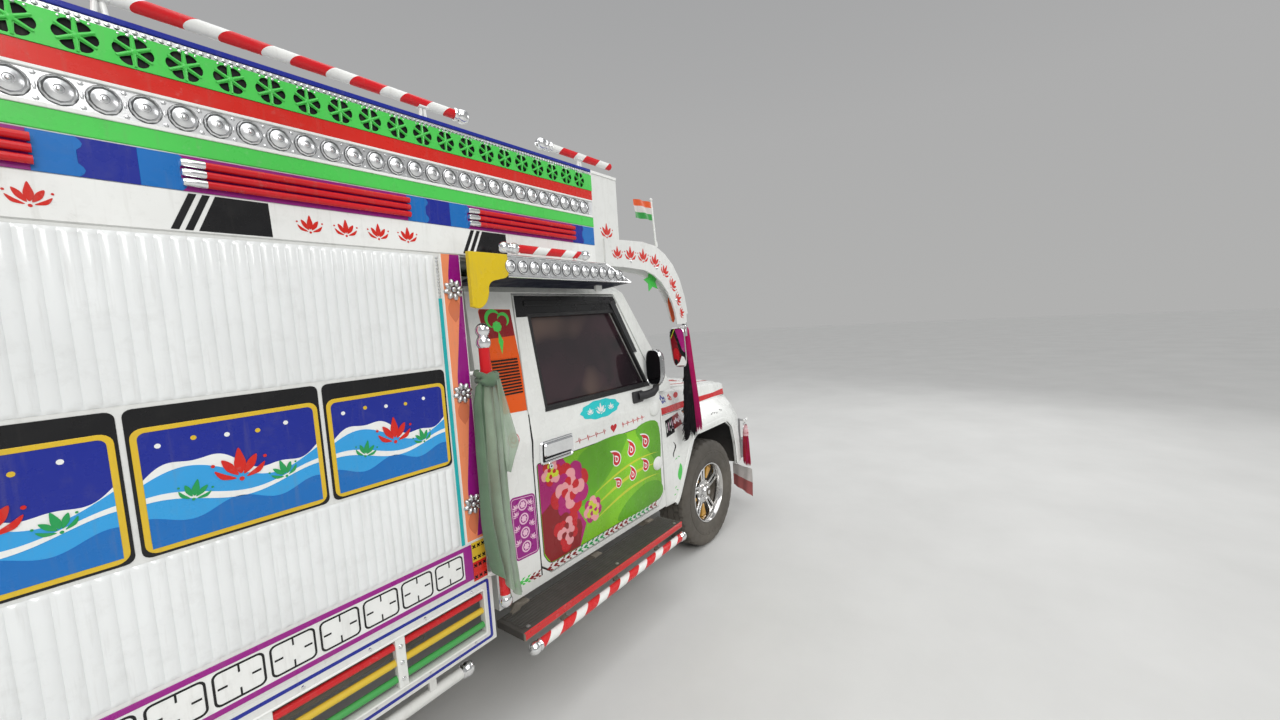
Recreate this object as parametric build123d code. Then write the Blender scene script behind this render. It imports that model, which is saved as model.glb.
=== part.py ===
from build123d import *
import os
from math import cos, sin, radians, sqrt, pi

os.makedirs("parts", exist_ok=True)

# Decorated light truck, millimetres. +X forward, +Y left, +Z up.
# Origin on the ground under the middle of the bounding box.

# ---------------------------------------------------------------- sizes
X_FRONT_AXLE = 1850.0      # front axle
X_REAR_AXLE = -1410.0      # rear axle, wheelbase 3260
TRACK_HALF = 718.0         # centre plane of every wheel
TYRE_R = 355.0             # 215 section on a 15 inch rim
TYRE_W = 215.0
RIM_R = 200.0              # outside of the rim barrel
HUB_R = 20.0               # bore of the hub
KINGPIN_Y = 640.0          # steering axis of a knuckle
KINGPIN_R = 12.0
RUN = 0.05                 # radial running clearance of pins and shafts

RAIL_Y = 350.0             # chassis rails
RAIL_W = 60.0
RAIL_H = 120.0
RAIL_Z_FRONT = 470.0       # underside of the rails under the cab
RAIL_Z_REAR = 560.0        # and under the load body

CAB_BACK = 130.0           # cab, back wall outside
DOOR_REAR = 358.0          # shut lines of the doors
DOOR_FRONT = 1327.0
CAB_HALF = 800.0           # half width up to the belt
BELT_Z = 1140.0
DRIP_Z = 1700.0            # drip edge of the roof
DRIP_HALF = 753.0          # half width there
ROOF_Z = 1785.0
SILL_Z = 439.0
FLOOR_Z = 600.0            # underside of the cab floor
WALL = 60.0                # side walls and doors
GAP = 8.0                  # shut gaps
GLASS = 6.0

BODY_FRONT = 38.0          # load body, outside of the front wall
BODY_REAR = -2560.0
BODY_HALF = 883.0
BODY_WALL = 30.0
SKIRT_Z = 660.0            # underside of the side walls
DECK_Z = 880.0             # top of the deck
BAND_Z = 1814.0            # underside of the banded top boards
TOP_Z = 2250.0             # and their top
BOX_FRONT = 940.0          # front end of the boards over the cab
OUTER_Y = 970.0            # outer edge of running boards and canopies
TOW_R = 13.0               # holes for towing pins
FRONT_END = 2620.0
REAR_END = -2620.0


def block(x0, x1, y0, y1, z0, z1):
    """Box between two corners."""
    return Pos((x0 + x1) / 2, (y0 + y1) / 2, (z0 + z1) / 2) * Box(abs(x1 - x0), abs(y1 - y0), abs(z1 - z0))


def side_plate(points, y0, y1):
    """Outline given as (x, z), from y0 to y1."""
    face = make_face(Polyline([(x, 0, z) for x, z in points], close=True))
    return Pos(0, min(y0, y1), 0) * extrude(face, amount=abs(y1 - y0), dir=(0, 1, 0))


def cross_plate(points, x0, x1):
    """Outline given as (y, z), from x0 to x1."""
    face = make_face(Polyline([(0, y, z) for y, z in points], close=True))
    return Pos(min(x0, x1), 0, 0) * extrude(face, amount=abs(x1 - x0), dir=(1, 0, 0))


def plan_plate(points, z0, z1):
    """Outline given as (x, y), from z0 to z1."""
    face = make_face(Polyline([(x, y, 0) for x, y in points], close=True))
    return Pos(0, 0, z0) * extrude(face, amount=z1 - z0, dir=(0, 0, 1))


def rod(p, q, r):
    """Round rod between two points."""
    a, b = Vector(*p), Vector(*q)
    plane = Plane(origin=a, z_dir=(b - a).normalized())
    return plane * Cylinder(r, (b - a).length, align=(Align.CENTER, Align.CENTER, Align.MIN))


def disc_y(x, y0, y1, z, r):
    """Round disc whose axis lies along Y."""
    return rod((x, min(y0, y1), z), (x, max(y0, y1), z), r)


def ball(p, r):
    return Pos(*p) * Sphere(r)


def other_side(shape):
    return mirror(shape, about=Plane.XZ)


def both(shape):
    """A piece of the right side and its like on the left side."""
    return [shape, other_side(shape)]


NODES = {}


def save(name, shapes):
    if not isinstance(shapes, (list, tuple)):
        shapes = [shapes]
    solids = []
    for s in shapes:
        solids += list(s.solids())
    NODES[name] = solids
    out = solids[0] if len(solids) == 1 else Compound(children=solids)
    out.label = name
    export_step(out, f"parts/{name}.step")


# ---------------------------------------------------------------- chassis
def chassis_frame():
    zf, zr, h = RAIL_Z_FRONT, RAIL_Z_REAR, RAIL_H
    rail = [(2400, zf), (2400, zf + h), (110, zf + h), (-150, zr + h), (-2500, zr + h),
            (-2500, zr), (-150, zr), (110, zf)]
    body = side_plate(rail, RAIL_Y - RAIL_W / 2, RAIL_Y + RAIL_W / 2)
    body += side_plate(rail, -RAIL_Y - RAIL_W / 2, -RAIL_Y + RAIL_W / 2)
    # crossmembers: x, width along x, z0, z1
    for x, w, z0, z1 in [(2360, 60, 480, 580), (900, 60, 362, 388), (560, 70, 540, 585),
                         (-330, 60, 580, 670), (-980, 60, 580, 670), (-1700, 60, 590, 670),
                         (-2470, 50, 570, 670)]:
        body += block(x - w / 2, x + w / 2, -325, 325, z0, z1)
    # hangers of the member under the gearbox
    for s in (-1, 1):
        body += block(870, 930, s * 295, s * 325, 362, 500)
    # brackets of the bumpers
    for s in (-1, 1):
        body += block(REAR_END + 55, -2440, s * 330, s * 380, 500, zr)
        body += block(REAR_END + 55, -2500, s * 330, s * 380, 500, 580)
        body += block(2400, 2510, s * 325, s * 375, 472, 560)
    # outriggers under the cab
    for x in (240, 1240):
        for s in (-1, 1):
            body += block(x - 30, x + 30, s * 375, s * 700, 555, FLOOR_Z - 1)
    return body


def front_suspension():
    x = X_FRONT_AXLE
    parts = block(x - 70, x + 70, -380, 380, 335, RAIL_Z_FRONT)
    for s in (-1, 1):
        # lower arm, carried by a lug, and upper arm, carried by the tower
        parts += block(x - 130, x + 130, s * 300, s * 372, 262, 345)
        parts += plan_plate([(x - 120, s * 372), (x + 120, s * 372), (x + 35, s * 640),
                             (x - 35, s * 640)], 262, 290)
        parts += block(x - 60, x + 60, s * 380, s * 430, 400, 560)
        parts += block(x - 60, x + 60, s * 360, s * 385, 400, RAIL_Z_FRONT)
        parts += plan_plate([(x - 60, s * 428), (x + 60, s * 428), (x + 30, s * 640),
                             (x - 30, s * 640)], 432, 455)
        for z0, z1, r in ((262, 290, 35), (432, 455, 30)):
            parts += Pos(x, s * KINGPIN_Y, (z0 + z1) / 2) * Cylinder(r, z1 - z0)
        # king pins
        parts += Pos(x, s * KINGPIN_Y, 312) * Cylinder(KINGPIN_R, 45)
        parts += Pos(x, s * KINGPIN_Y, 410) * Cylinder(KINGPIN_R, 45)
    return parts


def knuckle():
    """Right knuckle: upright, spindle, brake disc and steering arm."""
    x, y = X_FRONT_AXLE, -KINGPIN_Y
    k = block(x - 28, x + 28, y - 25, y + 25, 297, 425)
    k += disc_y(x, y - 20, y - 135, TYRE_R, HUB_R - RUN)
    k += disc_y(x, y - 24, y - 56, TYRE_R, 55)
    k += disc_y(x, y - 46, y - 60, TYRE_R, 135)
    k += block(x - 130, x - 20, y - 10, y + 12, 345, 367)
    k -= Pos(x, y, 360) * Cylinder(KINGPIN_R + RUN, 200)
    return k


def rear_axle():
    x, z = X_REAR_AXLE, TYRE_R
    a = disc_y(x, -610, 610, z, 45)
    a += disc_y(x, -85, 85, z, 125)
    a += rod((x - 135, 0, z), (x + 150, 0, z), 75)
    for s in (-1, 1):
        a += disc_y(x, s * 605, s * 668, z, 130)
        a += disc_y(x, s * 660, s * 775, z, HUB_R - RUN)
        # spring seats
        a += block(x - 70, x + 70, s * 320, s * 380, z + 30, z + 47)
    return a


def leaf_springs():
    x, z = X_REAR_AXLE, TYRE_R + 47
    zt = RAIL_Z_REAR
    out = []
    # leaves: half length, underside z at the seat; each one shorter
    pts = [(x - 500, zt), (x - 500, zt - 60), (x - 430, zt - 60), (x - 90, z), (x + 90, z),
           (x + 430, zt - 60), (x + 500, zt - 60), (x + 500, zt), (x + 440, zt),
           (x + 420, zt - 38), (x + 90, z + 46), (x - 90, z + 46), (x - 420, zt - 38), (x - 440, zt)]
    for s in (-1, 1):
        out.append(side_plate(pts, s * 320, s * 380))
    return out


def engine_block():
    e = block(1475, 2120, -235, 235, 480, 960)
    gear = loft([Plane(origin=(1500, 0, 465), z_dir=(-1, 0, 0)) * Rectangle(250, 230),
                 Plane(origin=(720, 0, 468), z_dir=(-1, 0, 0)) * Rectangle(110, 110)], ruled=True)
    return e + gear


def propshaft():
    a, b = (716, 0, 470), (X_REAR_AXLE + 152, 0, TYRE_R + 10)
    p = rod(a, b, 34)
    # joint collars
    for q, t in ((a, 0.012), (b, 0.985)):
        c = Vector(*a) + (Vector(*b) - Vector(*a)) * t
        d = (Vector(*b) - Vector(*a)).normalized()
        p += rod(tuple(c), tuple(c + d * 26), 46)
    return p


def fuel_tank():
    t = block(-760, -120, -690, -400, 420, 640)
    t = fillet(t.edges().filter_by(Axis.X), 35)
    for x in (-640, -250):
        t += block(x - 20, x + 20, -402, -380, 560, 640)
    return t


def exhaust():
    y = 230
    e = rod((1560, 235, 560), (1560, 262, 560), 22)
    e += ball((1560, 262, 560), 24)
    e += rod((1560, 262, 560), (1480, 262, 440), 24)
    e += ball((1480, 262, 440), 24)
    e += rod((1480, 262, 440), (700, y, 430), 24)
    e += Pos(420, y, 430) * Rot(0, 90, 0) * Cylinder(85, 600)
    e += rod((130, y, 430), (-420, y, 430), 22)
    e += ball((-420, y, 430), 22)
    e += rod((-420, y, 430), (-560, 700, 430), 22)
    return e


def tyre(x, s):
    """Rounded tyre section turned about the wheel's axis, then cut to the rim."""
    h, r = TYRE_W / 2, TYRE_R
    pts = [(RIM_R + 0.3, -h + 14), (RIM_R + 30, -h + 3), (r - 80, -h), (r - 35, -h + 3), (r - 12, -h + 14),
           (r - 3, -h + 34), (r, -h + 70), (r, h - 70), (r - 3, h - 34), (r - 12, h - 14), (r - 35, h - 3),
           (r - 80, h), (RIM_R + 30, h - 3), (RIM_R + 0.3, h - 14)]
    face = make_face(Polyline([(p, q, 0) for p, q in pts], close=True))
    solid = revolve(face, Axis.Y)
    return Pos(x, s * TRACK_HALF, TYRE_R) * solid


def rim(x, s):
    """Barrel, slotted disc and hub; s is the side, -1 right and 1 left."""
    c = s * TRACK_HALF
    b = disc_y(x, c - 96, c + 96, TYRE_R, RIM_R)
    b -= disc_y(x, c - 110, c + 110, TYRE_R, RIM_R - 12)
    b += disc_y(x, s * 742, s * 764, TYRE_R, RIM_R - 6)
    b += disc_y(x, s * 706, s * 786, TYRE_R, 58)
    for i in range(5):
        a = radians(90 + 72 * i + 36)
        b -= disc_y(x + 128 * cos(a), s * 700, s * 800, TYRE_R + 128 * sin(a), 38)
    b -= disc_y(x, s * 690, s * 776, TYRE_R, HUB_R)
    return b


def spare_wheel():
    x, z0 = -2110, 300
    w = Pos(x, 0, z0 + 100) * Cylinder(TYRE_R - 5, 200)
    w = chamfer(w.edges(), 30)
    w -= Pos(x, 0, z0 + 50) * Cylinder(150, 110)
    # carrier up to the crossmember
    w += block(x - 30, x + 30, -30, 30, z0 + 195, 585)
    w += block(x - 30, -1730 + 1, -30, 30, 560, 589)
    return w




# ---------------------------------------------------------------- cab
def cab_section(inset, low):
    """Half-width outline of the cab, (y, z), drawn all round."""
    i = inset
    half = [(CAB_HALF - i, low), (CAB_HALF - i, BELT_Z), (DRIP_HALF - i * 0.93, DRIP_Z - i * 0.3),
            (DRIP_HALF - 62 - i * 0.9, ROOF_Z - 20 - i * 0.75), (350, ROOF_Z - 2 - i * 0.75)]
    return half + [(-y, z) for y, z in reversed(half)]


SCREEN_TOP = (1085.0, 1728.0)
SCREEN_BASE = (1455.0, 1165.0)

DOOR_OUTLINE = [(DOOR_REAR, 520), (DOOR_REAR + 60, 470), (DOOR_FRONT - 70, 470), (DOOR_FRONT, 540),
                (DOOR_FRONT, 1150), (1018, 1688), (DOOR_REAR, 1688)]
WINDOW = [(458, 1196), (1222, 1196), (978, 1640), (412, 1640), (412, 1500)]


def offset_outline(points, d):
    w = Polyline([(x, 0, z) for x, z in points], close=True)
    f = make_face(w)
    f = offset(f, amount=d, kind=Kind.INTERSECTION)
    return f


def outline_prism(points, d, y0, y1):
    f = offset_outline(points, d) if d else make_face(Polyline([(x, 0, z) for x, z in points], close=True))
    f = f if isinstance(f, Face) else f.faces()[0]
    return Pos(0, min(y0, y1), 0) * extrude(f, amount=abs(y1 - y0), dir=(0, 1, 0))


def cab_shell():
    profile = [(CAB_BACK, SILL_Z), (CAB_BACK, 1700), (CAB_BACK + 40, ROOF_Z + 5), (985, ROOF_Z + 5),
               SCREEN_TOP, SCREEN_BASE, (1455, FLOOR_Z), (1335, FLOOR_Z), (1335, SILL_Z)]
    shell = cross_plate(cab_section(0, SILL_Z), CAB_BACK, 1460) & side_plate(profile, -820, 820)
    # cabin space
    room = [(CAB_BACK + 45, FLOOR_Z + 25), (CAB_BACK + 45, ROOF_Z - 60), (975, ROOF_Z - 60), (1052, 1680),
            (1392, 1165), (1392, FLOOR_Z + 25)]
    shell -= cross_plate(cab_section(WALL, FLOOR_Z + 25), CAB_BACK, 1400) & side_plate(room, -800, 800)
    # open below the floor between the sills
    shell -= block(CAB_BACK - 5, 1340, -700, 700, SILL_Z - 5, FLOOR_Z)
    # beside the footwell, under the wings
    for s in (-1, 1):
        shell -= block(1335, 1500, s * 700, s * 830, SILL_Z, 1128)
        shell += block(1335, 1402, s * 690, s * 735, FLOOR_Z, 1136)
        shell -= outline_prism(DOOR_OUTLINE, GAP, s * 676, s * 830)
    # rear window
    shell -= block(CAB_BACK - 5, CAB_BACK + 50, -520, 520, 1210, 1570)
    # windshield opening, right through the wall
    shell -= screen(120, 0)
    return shell


def screen(t, d):
    """Windshield slab of thickness t, its outline grown by d."""
    (xt, zt), (xb, zb) = SCREEN_TOP, SCREEN_BASE
    dx, dz = xt - xb, zt - zb
    n = sqrt(dx * dx + dz * dz)
    ux, uz = dx / n, dz / n
    out = (uz, 0, -ux)
    # across (y), up the slope (v)
    pts = [(-690 - d, 50 - d), (690 + d, 50 - d), (632 + d, n - 52 + d), (-632 - d, n - 52 + d)]
    plane = Plane(origin=(xb - 14 * uz, 0, zb + 14 * ux), x_dir=(0, 1, 0), z_dir=(-uz, 0, ux))
    # plane's y direction may point down the slope, so it is checked
    sgn = 1 if plane.y_dir.Z > 0 else -1
    face = make_face(Polyline([plane.from_local_coords((a, b * sgn, 0)) for a, b in pts], close=True))
    v = Vector(*out)
    solid = extrude(face, amount=t / 2, dir=out, both=True) if t > 20 else extrude(face, amount=t, dir=out)
    return solid


def door(s):
    """Door s: -1 right, 1 left. Hollow frame above the belt."""
    d = cross_plate(cab_section(0, SILL_Z), DOOR_REAR - 5, DOOR_FRONT + 5)
    d -= cross_plate(cab_section(WALL - 4, SILL_Z - 10), DOOR_REAR - 10, DOOR_FRONT + 10)
    d = d & outline_prism(DOOR_OUTLINE, 0, s * 690, s * 830)
    d -= outline_prism(WINDOW, 0, s * 690, s * 830)
    return d


def door_glass(s):
    g = cross_plate(cab_section(30, SILL_Z), 380, 1300) - cross_plate(cab_section(30 + GLASS, SILL_Z - 10), 370, 1310)
    return g & outline_prism(WINDOW, 0, s * 690, s * 830)


def door_mirror(s):
    m = loft([Plane(origin=(1195, s * 861, 1286), z_dir=(1, 0, 0)) * RectangleRounded(196, 104, 30),
              Plane(origin=(1255, s * 863, 1286), z_dir=(1, 0, 0)) * RectangleRounded(170, 84, 30)], ruled=True)
    m += rod((1215, s * 858, 1225), (1120, s * 820, 1122), 18)
    m += block(1076, 1150, s * 800, s * 814, 1100, 1140)
    return m


def dashboard():
    d = side_plate([(1392, 1120), (1180, 1120), (1130, 1060), (1160, 960), (1280, 900), (1392, 900)], -640, 640)
    # steering column
    c, u = COLUMN_TOP, COLUMN_DIR
    low = tuple(c[i] - u[i] * 420 for i in range(3))
    d += rod(low, tuple(c[i] - u[i] * 32 for i in range(3)), 24)
    d += rod(tuple(c[i] - u[i] * 40 for i in range(3)), tuple(c[i] + u[i] * 4 for i in range(3)), 10)
    return d & block(1000 - 300, 1392, -650, 650, FLOOR_Z + 26, 1300)


COLUMN_TOP = (960.0, -370.0, 1110.0)
COLUMN_DIR = (-0.8192, 0.0, 0.5736)


def steering_wheel():
    c, u = COLUMN_TOP, COLUMN_DIR
    plane = Plane(origin=c, x_dir=(0, 1, 0), z_dir=u)
    w = plane * Torus(185, 15)
    w += plane * Pos(0, 0, -6) * Cylinder(42, 34)
    for a in (0, 90, 180, 270):
        w += plane * (Rot(0, 0, a) * Pos(112, 0, -2) * Box(150, 26, 12))
    w -= plane * Pos(0, 0, -12) * Cylinder(10 + RUN, 36)
    w += plane * Pos(0, 0, 16) * Cylinder(38, 12)
    return w


def seats():
    cushion = block(420, 900, -640, 640, FLOOR_Z + 26, 880)
    cushion = chamfer(cushion.edges().filter_by(Axis.Y).group_by(Axis.Z)[-1], 30)
    back = side_plate([(250, 890), (420, 890), (345, 1420), (215, 1420)], -640, 640)
    return cushion, back


# fender sections: x, then (y, z) from the bonnet line down, right side as positive y
FENDER_SECTIONS = [
    (1338, [(672, 1128), (762, 1120), (796, 1060), (800, 900), (800, 700), (800, 430)]),
    (1700, [(656, 1092), (700, 1080), (712, 960), (780, 880), (826, 800), (830, 430)]),
    (2180, [(648, 1058), (690, 1046), (704, 940), (780, 870), (826, 795), (830, 430)]),
    (2400, [(640, 1030), (664, 1018), (678, 930), (735, 860), (780, 780), (800, 430)]),
]
ARCH = [(1430, 400), (1470, 440), (1650, 765), (1716, 788), (2110, 788), (2205, 725), (2264, 600),
        (2280, 440), (2280, 400)]
LINER = [(1418, 436), (1612, 800), (1680, 812), (2130, 812), (2236, 742), (2300, 606), (2316, 436)]


def fender(s):
    def lofted(t, x_shift, low, inner):
        secs = []
        for i, (x, pts) in enumerate(FENDER_SECTIONS):
            xx = x + (x_shift if i == len(FENDER_SECTIONS) - 1 else 0)
            if i == 0:
                xx -= t * 0.5
            q = [(y - (t if k else inner), z - (t if k < 4 else 0)) for k, (y, z) in enumerate(pts)]
            q[-1] = (q[-1][0], low)
            q = q + [(q[0][0], low)]
            secs.append(make_face(Polyline([(xx, s * y, z) for y, z in q], close=True)))
        return loft(secs, ruled=True)

    inside = lofted(12, -12, 415, 60)
    f = lofted(0, 0, 430, 0) - inside
    f -= side_plate(ARCH, s * 560, s * 860)
    # room for the cowl
    f -= block(1320, 1460, s * 560, s * 742, 400, 1200)
    return f, inside


def arch_liner(s):
    outer = [(x, z) for x, z in LINER]
    inner = [(x + dx, z + dz) for (x, z), (dx, dz) in
             zip(LINER, [(9, 0), (6, -8), (0, -8), (0, -8), (-6, -8), (-8, -2), (-8, 0)])]
    outline = outer + list(reversed(inner))
    room = fender(s)[1]
    a = side_plate(outline, s * 392, s * 640) + (side_plate(outline, s * 630, s * 830) & room)
    # inner wing panel up to the bonnet
    a += side_plate([(1620, 806), (1470, 812), (1470, 1060), (2405, 955), (2405, 560), (2330, 560),
                     (2312, 606), (2240, 745), (2134, 814)], s * 604, s * 614)
    return a


# bonnet sections: x, half width, z of the edge, z of the crown
BONNET = [(1463, 657, 1128, 1150), (1900, 643, 1086, 1110), (2300, 634, 1052, 1072), (2440, 628, 1012, 1026)]


def bonnet():
    def section(x, w, ze, zc, t):
        arc = ThreePointArc((x, -w, ze), (x, 0, zc), (x, w, ze))
        low = ThreePointArc((x, w, ze - t), (x, 0, zc - t), (x, -w, ze - t))
        return make_face([arc, Line((x, w, ze), (x, w, ze - t)), low, Line((x, -w, ze - t), (x, -w, ze))])
    return loft([section(x, w, ze, zc, 30) for x, w, ze, zc in BONNET], ruled=True)


def front_panel():
    p = block(2412, 2470, -628, 628, 560, 968)
    p -= block(2400, 2480, -330, 330, 690, 950)
    for s in (-1, 1):
        p -= rod((2400, s * 490, 820), (2480, s * 490, 820), 96)
    p -= block(2300, 2480, -330, 330, 590, 660)
    return p


def headlamps():
    return [rod((2416, s * 490, 820), (2474, s * 490, 820), 95) for s in (-1, 1)]


def front_bumper():
    b = block(2510, 2590, -800, 800, 420, 560)
    b = chamfer(b.edges().filter_by(Axis.Z).group_by(Axis.X)[-1], 60)
    b -= Pos(2550, 0, 490) * Cylinder(TOW_R, 300)
    return b


def bumper_guard():
    # posts and rods at the very front
    g = rod((2608, -300, 640), (2608, 300, 640), 12) + rod((2608, -300, 480), (2608, 300, 480), 12)
    for s in (-1, 1):
        g += block(2590, 2608, s * 235, s * 265, 425, 700)
    out = [g]
    for s in (-1, 1):
        # bumper's return with the ornament bar on the corner
        r = block(2400, 2510, s * 764, s * 784, 430, 550)
        r += rod((2440, s * 776, 530), (2440, s * 776, 742), 8)
        r += rod((2440, s * 776, 734), (2440, s * 830, 734), 7)
        out.append(r)
    return out


# ---------------------------------------------------------------- steps, racks, poles
def running_board(s):
    b = block(110, 1235, s * 806, s * OUTER_Y, 384, 414)
    for x in (240, 700, 1150):
        b += block(x - 25, x + 25, s * 325, s * 820, 392, 424)
        b += block(x - 25, x + 25, s * 325, s * 375, 410, RAIL_Z_FRONT)
    # stay plate at the rear end
    b += side_plate([(112, 400), (150, 400), (196, 440), (216, 438), (216, 425), (170, 384), (112, 384)],
                    s * 810, s * 830)
    return b


STEP_BAR = (152.0, 1190.0, 987.0, 350.0)       # x0, x1, y, z


def step_bar(s):
    x0, x1, y, z = STEP_BAR
    b = rod((x0, s * y, z), (x1, s * y, z), 19)
    for x in (x0 - 12, x1 + 12):
        b += ball((x, s * y, z), 26)
    for x in (300, 670, 1040):
        b += block(x - 12, x + 12, s * 955, s * 975, z + 5, 384)
        b += block(x - 12, x + 12, s * 955, s * 990, z - 5, z + 8)
    return b


# side racks: x0, x1 of each frame
RACKS = [(-985.0, 50.0), (-2500.0, -1850.0)]
RACK_Z = (410.0, SKIRT_Z)


def side_rack(s):
    out = []
    z0, z1 = RACK_Z
    for x0, x1 in RACKS:
        f = block(x0, x1, s * 858, s * BODY_HALF, z0, z1)
        f -= block(x0 + 42, x1 - 42, s * 850, s * 890, z0 + 42, z1 - 48)
        for k in range(3):
            z = z0 + 42 + (z1 - z0 - 90) * (k + 0.5) / 3
            f += rod((x0 + 30, s * 869, z), (x1 - 30, s * 869, z), 10)
        n = 3 if x1 - x0 > 800 else 2
        for k in range(1, n):
            x = x0 + (x1 - x0) * k / n
            f += block(x - 14, x + 14, s * 858, s * 866, z0 + 20, z1 - 20)
        out.append(f)
    # round tube hung below the front rack
    t = rod((-70, s * 862, 352), (-970, s * 862, 352), 19) + ball((-70, s * 862, 352), 19)
    for x in (-200, -850):
        t += block(x - 12, x + 12, s * 862, s * 874, 352, z0 + 5)
    out[0] = out[0] + t
    return out


def corner_pole(s):
    x, y = 76, 922
    p = rod((x, s * y, 560), (x, s * y, 1535), 19)
    for z in (550, 1548):
        p += ball((x, s * y, z), 28)
    for z in (690, 1420):
        p += block(x - 26, x + 14, s * 893, s * y, z - 12, z + 12)
        p += block(x - 70, x - 24, s * BODY_HALF, s * 905, z - 12, z + 12)
    return p


# ---------------------------------------------------------------- load body
def load_deck():
    d = block(BODY_REAR + 62, BODY_FRONT - BODY_WALL, -(BODY_HALF - BODY_WALL), BODY_HALF - BODY_WALL, 850, DECK_Z)
    # cross bearers, by x
    for x in (-2460, -2060, -1810, -1020, -640, -260, -30):
        d += block(x - 30, x + 30, -845, 845, 790, 850)
    for s in (-1, 1):
        d += block(-2490, -150, s * 312, s * 388, RAIL_Z_REAR + RAIL_H, 792)
    return d


def body_side(s):
    return block(BODY_REAR + 60, BODY_FRONT, s * (BODY_HALF - BODY_WALL), s * BODY_HALF, SKIRT_Z, BAND_Z)


def top_board(s):
    return block(BODY_REAR + 60, BOX_FRONT, s * (BODY_HALF - BODY_WALL), s * BODY_HALF, BAND_Z, TOP_Z)


def body_bulkhead():
    b = block(BODY_FRONT - BODY_WALL, BODY_FRONT, -853, 853, 700, 1800)
    b -= block(0, 50, -480, 480, 1200, 1580)
    return b


def head_box():
    h = block(BODY_FRONT - BODY_WALL, 905, -853, 853, 1800, BAND_Z)
    h += block(905, BOX_FRONT, -853, 853, 1800, TOP_Z)
    # knees that hold the front board
    for y in (-420, 420):
        h += side_plate([(906, 1810), (700, 1810), (906, 2060)], y - 12, y + 12)
    return h


def rear_frame():
    f = block(BODY_REAR, BODY_REAR + 60, -BODY_HALF, BODY_HALF, 700, TOP_Z)
    f -= block(BODY_REAR - 5, BODY_REAR + 70, -810, 810, GATE_PIN[1] - 18, 2130)
    # hinge lugs on the sill
    x, z = GATE_PIN
    for yc in GATE_HINGES:
        for dy in (-72, 72):
            lug = block(x - 12, x + 12, yc + dy - 7, yc + dy + 7, z - 25, z + 9)
            f += lug - rod((x, yc + dy - 20, z), (x, yc + dy + 20, z), 8 + RUN)
            f -= rod((x, yc + dy - 7, z), (x, yc + dy + 7, z), 8 + RUN)
    return f


GATE_PIN = (BODY_REAR + 10, 850.0)      # hinge line of the tailgate, x and z
GATE_HINGES = (-560, 0, 560)


def tailgate():
    x, z = GATE_PIN
    g = block(x - 12, x + 32, -800, 800, z + 18, 1420)
    for yc in GATE_HINGES:
        g += rod((x, yc - 80, z), (x, yc + 80, z), 8)
        g += block(x - 9, x + 9, yc - 52, yc + 52, z, z + 20)
    return g


def rear_bumper():
    b = block(REAR_END, REAR_END + 55, -800, 800, 470, 580)
    # hole for a towing pin
    b -= Pos(REAR_END + 28, 0, 525) * Cylinder(TOW_R, 200)
    return b


def tail_lamps():
    return [block(BODY_REAR - 40, BODY_REAR, s * 560, s * 840, 712, 800) for s in (-1, 1)]


def mud_flaps():
    return [block(-1813, -1807, s * 610, s * 830, 190, 790) for s in (-1, 1)]


# ---------------------------------------------------------------- decoration
def roof_rod(x0, x1, s, posts, balls):
    y, z = s * 868, 2300
    r = rod((x0, y, z), (x1, y, z), 16)
    for x in balls:
        r += ball((x, y, z), 26)
    for x in posts:
        r += block(x - 14, x + 14, y - 8, y + 8, TOP_Z, z)
    return r


def door_canopy(s):
    # section (y, z): outer lip, soffit, back
    sec = [(BODY_HALF, 1812), (OUTER_Y, 1812), (OUTER_Y, 1732), (792, 1716), (792, 1722), (900, 1738), (BODY_HALF, 1790)]
    c = cross_plate([(s * y, z) for y, z in sec], 62, 893)
    c -= side_plate([(715, 1830), (893, 1716), (893, 1700), (960, 1700), (960, 1830)], s * 700, s * 1000)
    # yellow bracket plate at the rear end, lobed
    br = [(24, 1812), (62, 1812), (170, 1812), (170, 1742), (128, 1722), (74, 1706), (58, 1650),
          (36, 1626), (14, 1630), (14, 1812)]
    c += side_plate(br, s * 958, s * 972)
    c += block(14, 62, s * BODY_HALF, s * 960, 1796, 1812)
    # striped rod on the lip
    c += rod((186, s * 952, 1842), (596, s * 952, 1842), 16)
    for x in (176, 606):
        c += ball((x, s * 952, 1842), 24)
    for x in (240, 540):
        c += block(x - 10, x + 10, s * 944, s * 958, 1810, 1832)
    return c


# arch outlines, (x, z)
ARCH_TOP = [(815, 1945), (985, 1953), (1120, 1958), (1240, 1947), (1330, 1910), (1410, 1853), (1472, 1778),
            (1520, 1680), (1548, 1575), (1532, 1572)]
ARCH_LOW = [(1532, 1514), (1424, 1514), (1410, 1580), (1382, 1640), (1338, 1700), (1282, 1752), (1215, 1789),
            (1130, 1812), (985, 1818), (815, 1818)]


def side_arch(s):
    a = side_plate(ARCH_TOP + ARCH_LOW, s * BODY_HALF, s * (BODY_HALF + 10))
    # second plate further in, carried by three spacers
    inner = [(940, 1900), (1180, 1900), (1300, 1850), (1390, 1760), (1440, 1650), (1462, 1570), (1446, 1530),
             (1424, 1560), (1392, 1640), (1340, 1706), (1262, 1762), (1170, 1790), (940, 1810)]
    a += side_plate(inner, s * 838, s * 848)
    for x, z in ((1010, 1860), (1240, 1830), (1430, 1660)):
        a += rod((x, s * 840, z), (x, s * 890, z), 10)
    # flag pole and tip rod
    a += rod((1258, s * 886, 1920), (1232, s * 886, 2190), 5)
    a += rod((1524, s * 888, 1520), (1524, s * 888, 1440), 7)
    return a


def hanging_mirror(s):
    # long head turned towards the rear and outwards, leaning a little, held by the tip rod
    m = Pos(1494, s * 850, 1374) * Rot(0, 0, -s * 15) * Rot(s * 4, 0, 0) * Rot(0, 90, 0) * extrude(RectangleRounded(236, 92, 20), amount=11, both=True)
    m -= rod((1524, s * 888, 1600), (1524, s * 888, 1438), 7.3)
    return m


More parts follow.
